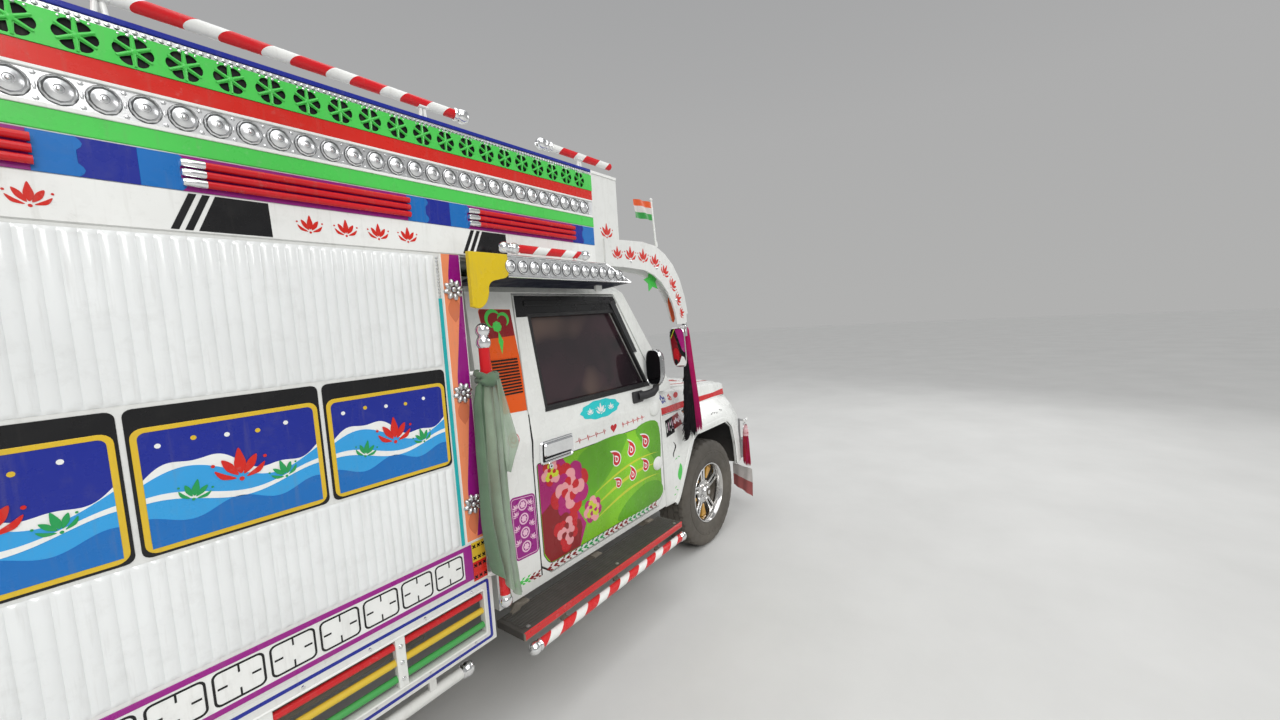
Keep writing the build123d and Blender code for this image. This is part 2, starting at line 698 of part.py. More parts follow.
def flags():
    out = []
    for s in (-1, 1):
        out.append(block(1070, 1226, s * 882, s * 890, 2082, 2180))
    return out


def tassels():
    out = []
    for s in (-1, 1):
        # arch tip, in front of the mirror
        out.append(loft([Pos(1588, s * 874, 812) * Rectangle(190, 56), Pos(1558, s * 872, 1480) * Rectangle(36, 30)],
                        ruled=True))
        # ornament on the front corner
        out.append(loft([Pos(2440, s * 830, 392) * Rectangle(76, 56), Pos(2432, s * 828, 680) * Rectangle(50, 38)],
                        ruled=True))
    return out


def cloths():
    out = []
    for s in (-1, 1):
        # scarf on the corner pole
        out.append(loft([Pos(104, s * 962, 590) * Rectangle(90, 34), Pos(112, s * 962, 1110) * Rectangle(110, 40),
                         Pos(84, s * 958, 1380) * Rectangle(50, 28)], ruled=True))
        # striped cloth on the front corner
        out.append(block(2436, 2444, s * 706, s * 868, 130, 388))
    return out


# ---------------------------------------------------------------- write
cushion, backrest = seats()
LIST = [
    ("chassis_frame", chassis_frame()),
    ("front_suspension", front_suspension()),
    ("knuckle_right", knuckle()),
    ("knuckle_left", other_side(knuckle())),
    ("rear_axle", rear_axle()),
    ("leaf_springs", leaf_springs()),
    ("engine_block", engine_block()),
    ("propshaft", propshaft()),
    ("fuel_tank", fuel_tank()),
    ("exhaust", exhaust()),
    ("spare_wheel", spare_wheel()),
    ("tyre_fr", tyre(X_FRONT_AXLE, -1)), ("tyre_fl", tyre(X_FRONT_AXLE, 1)),
    ("tyre_rr", tyre(X_REAR_AXLE, -1)), ("tyre_rl", tyre(X_REAR_AXLE, 1)),
    ("rim_fr", rim(X_FRONT_AXLE, -1)), ("rim_fl", rim(X_FRONT_AXLE, 1)),
    ("rim_rr", rim(X_REAR_AXLE, -1)), ("rim_rl", rim(X_REAR_AXLE, 1)),
    ("cab_shell", cab_shell()),
    ("windshield", screen(8, -0.5)),
    ("rear_window", block(CAB_BACK + 12, CAB_BACK + 12 + GLASS, -519.5, 519.5, 1210.5, 1569.5)),
    ("dashboard", dashboard()),
    ("steering_wheel", steering_wheel()),
    ("seat_cushion", cushion),
    ("seat_backrest", backrest),
    ("door_right", door(-1)), ("door_left", door(1)),
    ("door_glass_right", door_glass(-1)), ("door_glass_left", door_glass(1)),
    ("door_mirror_right", door_mirror(-1)), ("door_mirror_left", door_mirror(1)),
    ("front_fenders", both(fender(-1)[0])),
    ("arch_liners", both(arch_liner(-1))),
    ("bonnet", bonnet()),
    ("front_panel", front_panel()),
    ("headlamps", headlamps()),
    ("front_bumper", front_bumper()),
    ("bumper_guard", bumper_guard()),
    ("running_boards", both(running_board(-1))),
    ("step_bars", both(step_bar(-1))),
    ("side_racks", side_rack(-1) + side_rack(1)),
    ("corner_poles", both(corner_pole(-1))),
    ("load_deck", load_deck()),
    ("body_sides", both(body_side(-1))),
    ("body_bulkhead", body_bulkhead()),
    ("top_boards", both(top_board(-1))),
    ("head_box", head_box()),
    ("rear_frame", rear_frame()),
    ("tailgate", tailgate()),
    ("rear_bumper", rear_bumper()),
    ("tail_lamps", tail_lamps()),
    ("mud_flaps", mud_flaps()),
    ("roof_rods", [roof_rod(x0, x1, s, posts, balls) for s in (-1, 1) for x0, x1, posts, balls in
                   [(-2400, 92, (-2250, -1500, -750, -40), (-2410, 107)), (486, 915, (700,), (476,))]]),
    ("door_canopies", both(door_canopy(-1))),
    ("side_arches", both(side_arch(-1))),
    ("hanging_mirrors", both(hanging_mirror(-1))),
    ("tassels", tassels()),
    ("cloths", cloths() + flags()),
]
for name, shape in LIST:
    save(name, shape)

boxes = [s.bounding_box() for v in NODES.values() for s in v]
print("X %.1f %.1f" % (min(b.min.X for b in boxes), max(b.max.X for b in boxes)))
print("Y %.1f %.1f" % (min(b.min.Y for b in boxes), max(b.max.Y for b in boxes)))
print("Z %.1f %.1f" % (min(b.min.Z for b in boxes), max(b.max.Z for b in boxes)))
print("nodes", len(NODES))
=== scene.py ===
import math
import random
import bpy
import numpy as np
from math import cos, sin, pi, radians, sqrt, atan2, exp
from mathutils import Matrix, Vector, noise
from mathutils.geometry import tessellate_polygon


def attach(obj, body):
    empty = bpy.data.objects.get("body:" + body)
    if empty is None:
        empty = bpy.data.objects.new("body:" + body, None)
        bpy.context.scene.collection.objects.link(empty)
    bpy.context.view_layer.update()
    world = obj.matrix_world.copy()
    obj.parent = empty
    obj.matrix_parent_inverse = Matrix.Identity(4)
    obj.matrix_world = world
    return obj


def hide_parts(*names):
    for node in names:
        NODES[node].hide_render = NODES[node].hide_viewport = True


# Decorated light truck. Lengths in the tables below are millimetres in the frame's own axes:
# x forwards, y to the left, z up. "right" is the side at negative y.
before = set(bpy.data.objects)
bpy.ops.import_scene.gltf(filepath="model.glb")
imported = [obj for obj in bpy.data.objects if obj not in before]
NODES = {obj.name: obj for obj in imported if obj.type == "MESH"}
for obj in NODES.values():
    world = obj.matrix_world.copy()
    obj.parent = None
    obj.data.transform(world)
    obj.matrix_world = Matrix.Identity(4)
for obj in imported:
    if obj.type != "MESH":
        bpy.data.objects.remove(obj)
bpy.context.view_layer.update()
MM = 0.001


# ------------------------------------------------------------------ materials
class Graph:
    """A material with one Principled shader; the methods add nodes and return sockets."""

    def __init__(self, name, **sockets):
        self.m = bpy.data.materials.new(name)
        self.m.use_nodes = True
        self.t = self.m.node_tree
        self.t.nodes.clear()
        self.out = self.t.nodes.new("ShaderNodeOutputMaterial")
        self.b = self.t.nodes.new("ShaderNodeBsdfPrincipled")
        self.t.links.new(self.b.outputs[0], self.out.inputs[0])
        self.tc = self.t.nodes.new("ShaderNodeTexCoord").outputs["Object"]
        self.xyz = None
        for k, v in sockets.items():
            self.set(k.replace("_", " "), v)

    def link(self, value, socket):
        if isinstance(value, bpy.types.NodeSocket):
            self.t.links.new(value, socket)
        elif isinstance(value, (tuple, list)) and len(value) == 3 and socket.type == "RGBA":
            socket.default_value = (*value, 1)
        else:
            socket.default_value = value

    def set(self, name, value):
        self.link(value, self.b.inputs[name])

    def node(self, kind, props=None, ins=None):
        n = self.t.nodes.new(kind)
        for k, v in (props or {}).items():
            setattr(n, k, v)
        for k, v in (ins or {}).items():
            self.link(v, n.inputs[k])
        return n

    def math(self, op, a, b=0.0, c=0.0, clamp=False):
        return self.node("ShaderNodeMath", {"operation": op, "use_clamp": clamp}, {0: a, 1: b, 2: c}).outputs[0]

    def axis(self, k):
        if self.xyz is None:
            self.xyz = self.node("ShaderNodeSeparateXYZ", ins={0: self.tc}).outputs
        return self.xyz[k]

    def mapping(self, scale=(1, 1, 1), rot=(0, 0, 0), loc=(0, 0, 0)):
        return self.node("ShaderNodeMapping", ins={0: self.tc, 1: loc, 2: rot, 3: scale}).outputs[0]

    def noise(self, scale, detail=3.0, rough=0.5, dist=0.0, vec=None):
        return self.node("ShaderNodeTexNoise", ins={"Vector": vec or self.tc, "Scale": scale, "Detail": detail,
                                                    "Roughness": rough, "Distortion": dist}).outputs["Fac"]

    def voronoi(self, scale, vec=None, feature="F1", out="Distance", rnd=1.0):
        return self.node("ShaderNodeTexVoronoi", {"feature": feature},
                         {"Vector": vec or self.tc, "Scale": scale, "Randomness": rnd}).outputs[out]

    def wave(self, scale, axis="X", dist=0.0, detail=2.0, vec=None, kind="BANDS", profile="SIN", dscale=1.0):
        p = {"wave_type": kind, "wave_profile": profile}
        if kind == "BANDS":
            p["bands_direction"] = axis
        return self.node("ShaderNodeTexWave", p, {"Vector": vec or self.tc, "Scale": scale, "Distortion": dist,
                                                  "Detail": detail, "Detail Scale": dscale}).outputs["Fac"]

    def range(self, v, a, b, c=0.0, d=1.0, smooth=False):
        return self.node("ShaderNodeMapRange", {"interpolation_type": "SMOOTHSTEP" if smooth else "LINEAR"},
                         {0: v, 1: a, 2: b, 3: c, 4: d}).outputs[0]

    def mix(self, fac, a, b, blend="MIX"):
        n = self.node("ShaderNodeMix", {"data_type": "RGBA", "blend_type": blend})
        self.link(fac, n.inputs[0])
        self.link(a, n.inputs[6])
        self.link(b, n.inputs[7])
        return n.outputs[2]

    def ramp(self, fac, stops, mode="LINEAR"):
        n = self.node("ShaderNodeValToRGB")
        n.color_ramp.interpolation = mode
        e = n.color_ramp.elements
        while len(e) < len(stops):
            e.new(0.5)
        for k, (p, c) in enumerate(stops):
            e[k].position = p
            e[k].color = (*c, 1) if len(c) == 3 else c
        self.link(fac, n.inputs[0])
        return n.outputs[0]

    def bump(self, height, strength, dist=0.001, normal=None):
        n = self.node("ShaderNodeBump", ins={"Strength": strength, "Distance": dist, "Height": height})
        if normal is not None:
            self.link(normal, n.inputs["Normal"])
        self.b.inputs["Normal"].default_value = (0, 0, 0)
        self.t.links.new(n.outputs[0], self.b.inputs["Normal"])
        return n.outputs[0]


MATS = {}
DUST = (0.40, 0.35, 0.28)


def finish_dirt(g, colour, dust=0.25, low=0.9, grime=0.10, streak=0.06):
    """Adds what a road does to a colour: dust that thickens downwards, rain streaks and faint uneven grime."""
    n = g.noise(2.3, 5, 0.6)
    up = g.range(g.axis(2), 0.1, low, 1.0, 0.0, True)
    up = g.math("MULTIPLY", up, g.range(n, 0.25, 0.75, 0.45, 1.25), clamp=True)
    c = g.mix(g.math("MULTIPLY", up, dust), colour, DUST)
    s = g.noise(9.0, 4, 0.6, vec=g.mapping((7, 7, 0.55)))
    c = g.mix(g.range(s, 0.56, 0.82, 0.0, streak * 4), c, (0.23, 0.20, 0.16))
    k = g.noise(23.0, 6, 0.7)
    return g.mix(g.range(k, 0.52, 0.75, 0.0, grime * 2), c, (0.20, 0.18, 0.15))


def paint(name, colour, rough=0.28, dust=0.22, low=0.9, metallic=0.0, coat=0.16, peel=0.12, dent=0.0, grime=0.05,
          vary=0.05, chips=0.0, under=(0.32, 0.31, 0.30), streak=0.05):
    """Brushed or sprayed enamel over metal."""
    if name in MATS:
        return MATS[name]
    g = Graph(name, Metallic=metallic, Coat_Weight=coat, Coat_Roughness=0.12, Specular_IOR_Level=0.3)
    d = tuple(max(0.0, c * (1 - vary * 2)) for c in colour)
    l = tuple(min(1.0, c * (1 + vary)) for c in colour)
    base = g.mix(g.range(g.noise(1.7, 4, 0.6), 0.3, 0.7), d, l)
    if chips:
        v = g.noise(46, 8, 0.72)
        w = g.noise(5, 3, 0.6)
        chip = g.math("MULTIPLY", g.range(v, 0.60, 0.64), g.range(w, 0.42, 0.70), clamp=True)
        base = g.mix(g.math("MULTIPLY", chip, chips), base, under)
    g.set("Base Color", finish_dirt(g, base, dust, low, grime, streak))
    r = g.range(g.noise(14, 5, 0.65), 0.3, 0.75, rough * 0.75, min(1.0, rough * 1.6))
    dusty = g.range(g.axis(2), 0.15, low, 0.35 * min(1.0, dust * 3), 0.0, True)
    g.set("Roughness", g.math("ADD", r, dusty, clamp=True))
    h = g.math("MULTIPLY", g.noise(420, 2, 0.5), peel)
    if dent:
        h = g.math("ADD", h, g.math("MULTIPLY", g.noise(3.4, 2, 0.5), dent))
    g.bump(h, 0.35, 0.002)
    MATS[name] = g.m
    return g.m


def chrome(name="chrome", tint=(0.86, 0.87, 0.88), rough=0.07, pit=0.25, dust=0.10):
    if name in MATS:
        return MATS[name]
    g = Graph(name, Metallic=1.0)
    n = g.noise(30, 6, 0.7)
    base = g.mix(g.range(n, 0.45, 0.75, 0.0, 0.35), tint, tuple(c * 0.72 for c in tint))
    up = g.range(g.axis(2), 0.1, 0.8, dust * 2.4, dust, True)
    g.set("Base Color", g.mix(g.math("MULTIPLY", up, g.range(g.noise(4, 4, 0.6), 0.3, 0.7)), base, DUST))
    g.set("Roughness", g.range(g.noise(55, 6, 0.7), 0.35, 0.8, rough, rough + pit * 0.6))
    g.bump(g.noise(160, 4, 0.6), 0.04, 0.001)
    MATS[name] = g.m
    return g.m


def plastic(name, colour, rough=0.5, grain=0.3, dust=0.3, low=0.8, scale=600):
    if name in MATS:
        return MATS[name]
    g = Graph(name)
    base = g.mix(g.range(g.noise(6, 4, 0.6), 0.3, 0.7), tuple(c * 0.8 for c in colour), tuple(min(1, c * 1.25) for c in colour))
    g.set("Base Color", finish_dirt(g, base, dust, low, 0.03, 0.02))
    g.set("Roughness", g.range(g.noise(20, 5, 0.6), 0.3, 0.7, rough * 0.8, min(1, rough * 1.3)))
    g.bump(g.voronoi(scale), grain, 0.0006)
    MATS[name] = g.m
    return g.m


def metal(name, colour, rough=0.4, brushed=0.0, dust=0.25, low=0.8, rust=0.0, metallic=0.9, bump=0.15):
    if name in MATS:
        return MATS[name]
    g = Graph(name)
    base = g.mix(g.range(g.noise(9, 5, 0.65), 0.3, 0.75), tuple(c * 0.75 for c in colour), colour)
    m = metallic
    if rust:
        v = g.noise(7.5, 8, 0.72)
        k = g.range(v, 0.50, 0.66, 0.0, rust)
        base = g.mix(k, base, g.mix(g.noise(60, 5, 0.7), (0.20, 0.075, 0.03), (0.07, 0.035, 0.02)))
        m = g.math("SUBTRACT", metallic, g.math("MULTIPLY", k, metallic), clamp=True)
    g.set("Metallic", m)
    g.set("Base Color", finish_dirt(g, base, dust, low, 0.10, 0.04))
    if brushed:
        s = g.noise(40, 5, 0.6, vec=g.mapping((1.5, 40, 40)))
        g.set("Roughness", g.range(s, 0.3, 0.7, rough * 0.6, min(1.0, rough * 1.5)))
    else:
        g.set("Roughness", g.range(g.noise(30, 6, 0.7), 0.3, 0.75, rough * 0.75, min(1.0, rough * 1.5)))
    g.bump(g.noise(90, 6, 0.65), bump, 0.0015)
    MATS[name] = g.m
    return g.m


# ------------------------------------------------------------------ meshes
class Mesh:
    """Faces in millimetres; each has a material number and may be smooth."""

    def __init__(self):
        self.v, self.f, self.k, self.s = [], [], [], []

    def add(self, verts, faces, mat=0, smooth=True):
        n = len(self.v)
        self.v.extend([(float(p[0]), float(p[1]), float(p[2])) for p in verts])
        for f in faces:
            self.f.append(tuple(i + n for i in f))
        self.k.extend([mat] * len(faces))
        self.s.extend([smooth] * len(faces))
        return self

    def join(self, other, fn=None, flip=False, mat=None):
        n = len(self.v)
        self.v.extend([fn(p) for p in other.v] if fn else other.v)
        for f in other.f:
            g = tuple(i + n for i in f)
            self.f.append(g[::-1] if flip else g)
        self.k.extend(other.k if mat is None else [mat] * len(other.k))
        self.s.extend(other.s)
        return self

    def mirrored(self):
        return Mesh().join(self, lambda p: (p[0], -p[1], p[2]), True)

    # --- shapes
    def box(self, x0, x1, y0, y1, z0, z1, mat=0, c=0.0):
        """Box with its edges cut at 45 degrees by c."""
        x0, x1 = min(x0, x1), max(x0, x1)
        y0, y1 = min(y0, y1), max(y0, y1)
        z0, z1 = min(z0, z1), max(z0, z1)
        if not c:
            v = [(x, y, z) for x in (x0, x1) for y in (y0, y1) for z in (z0, z1)]
            f = [(0, 1, 3, 2), (4, 6, 7, 5), (0, 4, 5, 1), (2, 3, 7, 6), (0, 2, 6, 4), (1, 5, 7, 3)]
            return self.add(v, f, mat, False)
        c = min(c, (x1 - x0) * 0.49, (y1 - y0) * 0.49, (z1 - z0) * 0.49)
        v, idx = [], {}
        for i, x in enumerate((x0, x1)):
            for j, y in enumerate((y0, y1)):
                for k, z in enumerate((z0, z1)):
                    sx, sy, sz = (1, -1)[i], (1, -1)[j], (1, -1)[k]
                    for a, p in enumerate(((x, y + sy * c, z + sz * c), (x + sx * c, y, z + sz * c), (x + sx * c, y + sy * c, z))):
                        idx[i, j, k, a] = len(v)
                        v.append(p)
        f = []

        def face(pts):
            f.append(tuple(idx[p] for p in pts))
        for i in (0, 1):
            q = [(i, 0, 0, 0), (i, 0, 1, 0), (i, 1, 1, 0), (i, 1, 0, 0)]
            face(q if i == 0 else q[::-1])
            q = [(0, i, 0, 1), (1, i, 0, 1), (1, i, 1, 1), (0, i, 1, 1)]
            face(q if i == 0 else q[::-1])
            q = [(0, 0, i, 2), (0, 1, i, 2), (1, 1, i, 2), (1, 0, i, 2)]
            face(q if i == 0 else q[::-1])
        for i in (0, 1):
            for j in (0, 1):
                q = [(i, j, 0, 0), (i, j, 1, 0), (i, j, 1, 1), (i, j, 0, 1)]
                face(q if i == j else q[::-1])
                q = [(i, 0, j, 0), (i, 1, j, 0), (i, 1, j, 2), (i, 0, j, 2)]
                face(q[::-1] if i == j else q)
                q = [(0, i, j, 1), (1, i, j, 1), (1, i, j, 2), (0, i, j, 2)]
                face(q if i == j else q[::-1])
        for i in (0, 1):
            for j in (0, 1):
                for k in (0, 1):
                    q = [(i, j, k, 0), (i, j, k, 1), (i, j, k, 2)]
                    face(q if (i + j + k) % 2 else q[::-1])
        return self.add(v, f, mat, False)

    def prism(self, outline, place, h0, h1, mat=0, c=0.0, holes=(), side=None, back=True, smooth=False):
        """Plate between heights h0 and h1; place(a, b, h) gives the point in space. c cuts the upper edge."""
        loops = [list(outline)] + [list(h) for h in holes]
        loops = [l if (area2(l) > 0) == (k == 0) else l[::-1] for k, l in enumerate(loops)]
        top = [inset(l, c) for l in loops] if c else loops
        flat = [p for l in top for p in l]
        tris = tessellate_polygon([[Vector((a, b, 0)) for a, b in l] for l in top])
        def up(t):
            (ax, ay), (bx, by), (cx, cy) = flat[t[0]], flat[t[1]], flat[t[2]]
            return t if (bx - ax) * (cy - ay) - (by - ay) * (cx - ax) > 0 else t[::-1]
        tris = [up(t) for t in tris if len(set(t)) == 3]
        vt = [place(a, b, h1) for a, b in flat]
        # does (a, b, up) turn like a right-handed frame?
        o = Vector(place(0, 0, 0))
        right = (Vector(place(1, 0, 0)) - o).cross(Vector(place(0, 1, 0)) - o).dot(Vector(place(0, 0, 1)) - o) > 0
        m = Mesh()
        m.add(vt, tris, mat, smooth)
        low = [p for l in loops for p in l]
        if back:
            m.add([place(a, b, h0) for a, b in low], [t[::-1] for t in tris], mat, smooth)
        s = mat if side is None else side
        for l, t in zip(loops, top):
            n = len(l)
            v = [place(a, b, h0) for a, b in l]
            f = []
            if c:
                v += [place(a, b, h1 - (c if h1 > h0 else -c)) for a, b in l] + [place(a, b, h1) for a, b in t]
                for r in (0, n):
                    f += [(r + i, r + (i + 1) % n, r + n + (i + 1) % n, r + n + i) for i in range(n)]
            else:
                v += [place(a, b, h1) for a, b in l]
                f += [(i, (i + 1) % n, n + (i + 1) % n, n + i) for i in range(n)]
            m.add(v, f, s, smooth)
        return self.join(m, flip=not right)

    def tube(self, path, r, n=12, mat=0, caps=True, closed=False, smooth=True):
        """Round bar along points; r is a number or one radius a point."""
        p = [Vector(q) for q in path]
        rs = [r] * len(p) if isinstance(r, (int, float)) else list(r)
        t = []
        for i in range(len(p)):
            a = p[i - 1] if (i or closed) else p[i]
            b = p[(i + 1) % len(p)] if (i + 1 < len(p) or closed) else p[i]
            t.append((b - a).normalized())
        up = Vector((0, 0, 1)) if abs(t[0].z) < 0.9 else Vector((1, 0, 0))
        u = t[0].cross(up).normalized()
        v, f = [], []
        for i in range(len(p)):
            if i:
                u = (u - t[i] * u.dot(t[i])).normalized()
            w = t[i].cross(u)
            for k in range(n):
                a = 2 * pi * k / n
                v.append(p[i] + (u * cos(a) + w * sin(a)) * rs[i])
        rows = len(p) if closed else len(p) - 1
        for i in range(rows):
            j = (i + 1) % len(p)
            for k in range(n):
                f.append((i * n + k, i * n + (k + 1) % n, j * n + (k + 1) % n, j * n + k))
        m = Mesh().add(v, f, mat, smooth)
        if caps and not closed:
            m.add(v[:n], [tuple(range(n))[::-1]], mat, False)
            m.add(v[-n:], [tuple(range(n))], mat, False)
        return self.join(m)

    def lathe(self, profile, origin, axis, n=32, mat=0, up=None, smooth=True, arc=None):
        """Turned shape; the profile is (distance along the axis, radius). mat may be one number or one a span."""
        o, z = Vector(origin), Vector(axis).normalized()
        u = Vector(up) if up else (Vector((0, 0, 1)) if abs(z.z) < 0.9 else Vector((1, 0, 0)))
        x = (u - z * u.dot(z)).normalized()
        y = z.cross(x)
        v, f, ks = [], [], []
        a0, a1 = arc or (0, 2 * pi)
        cols = n if arc is None else n + 1
        for h, r in profile:
            for k in range(cols):
                a = a0 + (a1 - a0) * k / n
                v.append(o + z * h + (x * cos(a) + y * sin(a)) * max(r, 0.0))
        m = Mesh()
        for i in range(len(profile) - 1):
            kk = mat if isinstance(mat, int) else mat[i]
            q = []
            for k in range(n):
                k2 = (k + 1) % cols
                a, b, c, d = i * cols + k, i * cols + k2, (i + 1) * cols + k2, (i + 1) * cols + k
                if profile[i][1] <= 0:
                    q.append((a, c, d))
                elif profile[i + 1][1] <= 0:
                    q.append((a, b, c))
                else:
                    q.append((a, b, c, d))
            m.f += q
            m.k += [kk] * len(q)
            m.s += [smooth] * len(q)
        m.v = [tuple(p) for p in v]
        return self.join(m)

    def ball(self, c, r, n=20, mat=0, squash=(1, 1, 1), rows=None):
        rows = rows or max(6, n // 2)
        prof = [(-r * cos(pi * i / rows), r * sin(pi * i / rows)) for i in range(rows + 1)]
        prof[0] = (-r, 0)
        prof[-1] = (r, 0)
        m = Mesh().lathe(prof, (0, 0, 0), (0, 0, 1), n, mat)
        return self.join(m, lambda p: (c[0] + p[0] * squash[0], c[1] + p[1] * squash[1], c[2] + p[2] * squash[2]))

    def grid(self, rows, mat=0, wrap=False, smooth=True, flip=False):
        """Surface through rows of points, all of one length."""
        n = len(rows[0])
        v = [p for r in rows for p in r]
        f = []
        for i in range(len(rows) - 1):
            for k in range(n if wrap else n - 1):
                q = (i * n + k, i * n + (k + 1) % n, (i + 1) * n + (k + 1) % n, (i + 1) * n + k)
                f.append(q[::-1] if flip else q)
        return self.add(v, f, mat, smooth)


def area2(l):
    return sum(l[i][0] * l[(i + 1) % len(l)][1] - l[(i + 1) % len(l)][0] * l[i][1] for i in range(len(l)))


def inset(l, d):
    """The outline moved inwards (to the left of its direction) by d."""
    out = []
    n = len(l)
    for i in range(n):
        ax, ay = l[i - 1]
        bx, by = l[i]
        cx, cy = l[(i + 1) % n]
        e1 = Vector((bx - ax, by - ay))
        e2 = Vector((cx - bx, cy - by))
        if e1.length < 1e-9 or e2.length < 1e-9:
            out.append((bx, by))
            continue
        e1.normalize()
        e2.normalize()
        n1, n2 = Vector((-e1.y, e1.x)), Vector((-e2.y, e2.x))
        w = n1 + n2
        if w.length < 0.3:
            w = n1
        w = w / max(w.length_squared, 0.35) * 2
        out.append((bx + w.x * d, by + w.y * d))
    return out


def rounded(points, r, n=5):
    """The outline with its corners rounded; r is one radius or one a point."""
    out = []
    m = len(points)
    rs = [r] * m if isinstance(r, (int, float)) else r
    for i in range(m):
        a, b, c = Vector(points[i - 1]), Vector(points[i]), Vector(points[(i + 1) % m])
        e1, e2 = (a - b), (c - b)
        l1, l2 = e1.length, e2.length
        e1.normalize()
        e2.normalize()
        ang = math.acos(max(-1, min(1, e1.dot(e2))))
        if rs[i] <= 0 or ang > pi - 0.02:
            out.append((b.x, b.y))
            continue
        t = min(rs[i] / math.tan(ang / 2), l1 * 0.49, l2 * 0.49)
        rr = t * math.tan(ang / 2)
        o = b + (e1 + e2).normalized() * (rr / sin(ang / 2))
        p0, p1 = b + e1 * t, b + e2 * t
        a0, a1 = atan2(p0.y - o.y, p0.x - o.x), atan2(p1.y - o.y, p1.x - o.x)
        d = (a1 - a0 + pi) % (2 * pi) - pi
        for k in range(n + 1):
            q = a0 + d * k / n
            out.append((o.x + rr * cos(q), o.y + rr * sin(q)))
    return out


def circle(cx, cy, r, n=24, ry=None, a0=0.0):
    ry = ry or r
    return [(cx + r * cos(a0 + 2 * pi * i / n), cy + ry * sin(a0 + 2 * pi * i / n)) for i in range(n)]


def spline(points, n=6, closed=False):
    """Smooth line through the points."""
    p = [np.array(q, float) for q in points]
    m = len(p)
    out = []
    for i in range(m if closed else m - 1):
        a = p[(i - 1) % m] if (closed or i) else 2 * p[0] - p[1]
        b, c = p[i], p[(i + 1) % m]
        d = p[(i + 2) % m] if (closed or i + 2 < m) else 2 * p[-1] - p[-2]
        for k in range(n):
            t = k / n
            out.append(tuple(0.5 * ((2 * b) + (c - a) * t + (2 * a - 5 * b + 4 * c - d) * t * t + (3 * b - a - 3 * c + d) * t ** 3)))
    if not closed:
        out.append(tuple(p[-1]))
    return out


PIECES = {}


def make(name, mesh, mats, body="truck", slot=None, stands_for=(), angle=32, bevel=0.0):
    """One object from a Mesh: smooth faces break where they meet at more than the angle."""
    me = bpy.data.meshes.new(name)
    me.from_pydata((np.array(mesh.v, float) * MM).tolist(), [], mesh.f)
    mats = [mats] if not isinstance(mats, (list, tuple)) else mats
    for m in mats:
        me.materials.append(m)
    me.polygons.foreach_set("material_index", mesh.k)
    me.polygons.foreach_set("use_smooth", mesh.s)
    me.update()
    if any(mesh.s):
        me.set_sharp_from_angle(angle=radians(angle))
    o = bpy.data.objects.new(name, me)
    bpy.context.scene.collection.objects.link(o)
    if bevel:
        b = o.modifiers.new("edge", "BEVEL")
        b.width, b.segments, b.limit_method, b.angle_limit = bevel * MM, 2, "ANGLE", radians(40)
    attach(o, body)
    if stands_for:
        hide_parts(*([stands_for] if isinstance(stands_for, str) else stands_for))
    PIECES[name] = o
    return o


def both_sides(name, mesh, mats, bodies=("truck", "truck"), stands_for=((), ()), **kw):
    """The right-hand piece and its mirror image on the left."""
    if bodies[0] == bodies[1]:
        m = Mesh().join(mesh).join(mesh.mirrored())
        return [make(name, m, mats, bodies[0], stands_for=tuple(stands_for[0]) + tuple(stands_for[1]), **kw)]
    return [make(name + "_right", mesh, mats, bodies[0], stands_for=stands_for[0], **kw),
            make(name + "_left", mesh.mirrored(), mats, bodies[1], stands_for=stands_for[1], **kw)]


def on_side(y):
    """Right side face at distance y from the middle: a is x, b is z, h stands out."""
    return lambda a, b, h: (a, -(y + h), b)


def give(mat, *nodes, weld=True, bevel=2.0):
    """The material of CAD nodes, with a small radius on their edges."""
    for n in nodes:
        o = NODES[n]
        o.data.materials.clear()
        o.data.materials.append(mat)
        if bevel:
            w = o.modifiers.new("weld", "WELD")
            w.merge_threshold = 0.00005
            b = o.modifiers.new("edge", "BEVEL")
            b.width, b.segments, b.limit_method, b.angle_limit = bevel * MM, 2, "ANGLE", radians(38)
            b.harden_normals = True


# ------------------------------------------------------------------ camera, light and floor
def camera():
    yaw, pitch, roll = radians(36.51), radians(-4.76), radians(-3.49)
    f = Vector((cos(pitch) * cos(yaw), cos(pitch) * sin(yaw), sin(pitch)))
    r0 = Vector((sin(yaw), -cos(yaw), 0))
    u0 = r0.cross(f)
    r = r0 * cos(roll) + u0 * sin(roll)
    u = u0 * cos(roll) - r0 * sin(roll)
    cam = bpy.data.cameras.new("camera")
    cam.lens, cam.sensor_width, cam.sensor_fit = 13.5, 36.0, "HORIZONTAL"
    cam.clip_start, cam.clip_end = 0.05, 200
    o = bpy.data.objects.new("camera", cam)
    bpy.context.scene.collection.objects.link(o)
    m = Matrix((r, u, -f)).transposed().to_4x4()
    m.translation = Vector((-0.962, -2.373, 1.552))
    o.matrix_world = m
    bpy.context.scene.camera = o


def area(name, place, target, size, power, colour=(1, 1, 1), shape_y=None):
    d = bpy.data.lights.new(name, "AREA")
    d.energy, d.color, d.size = power, colour, size
    if shape_y:
        d.shape, d.size_y = "RECTANGLE", shape_y
    o = bpy.data.objects.new(name, d)
    o.location = place
    o.rotation_euler = (Vector(target) - Vector(place)).to_track_quat("-Z", "Y").to_euler()
    bpy.context.scene.collection.objects.link(o)


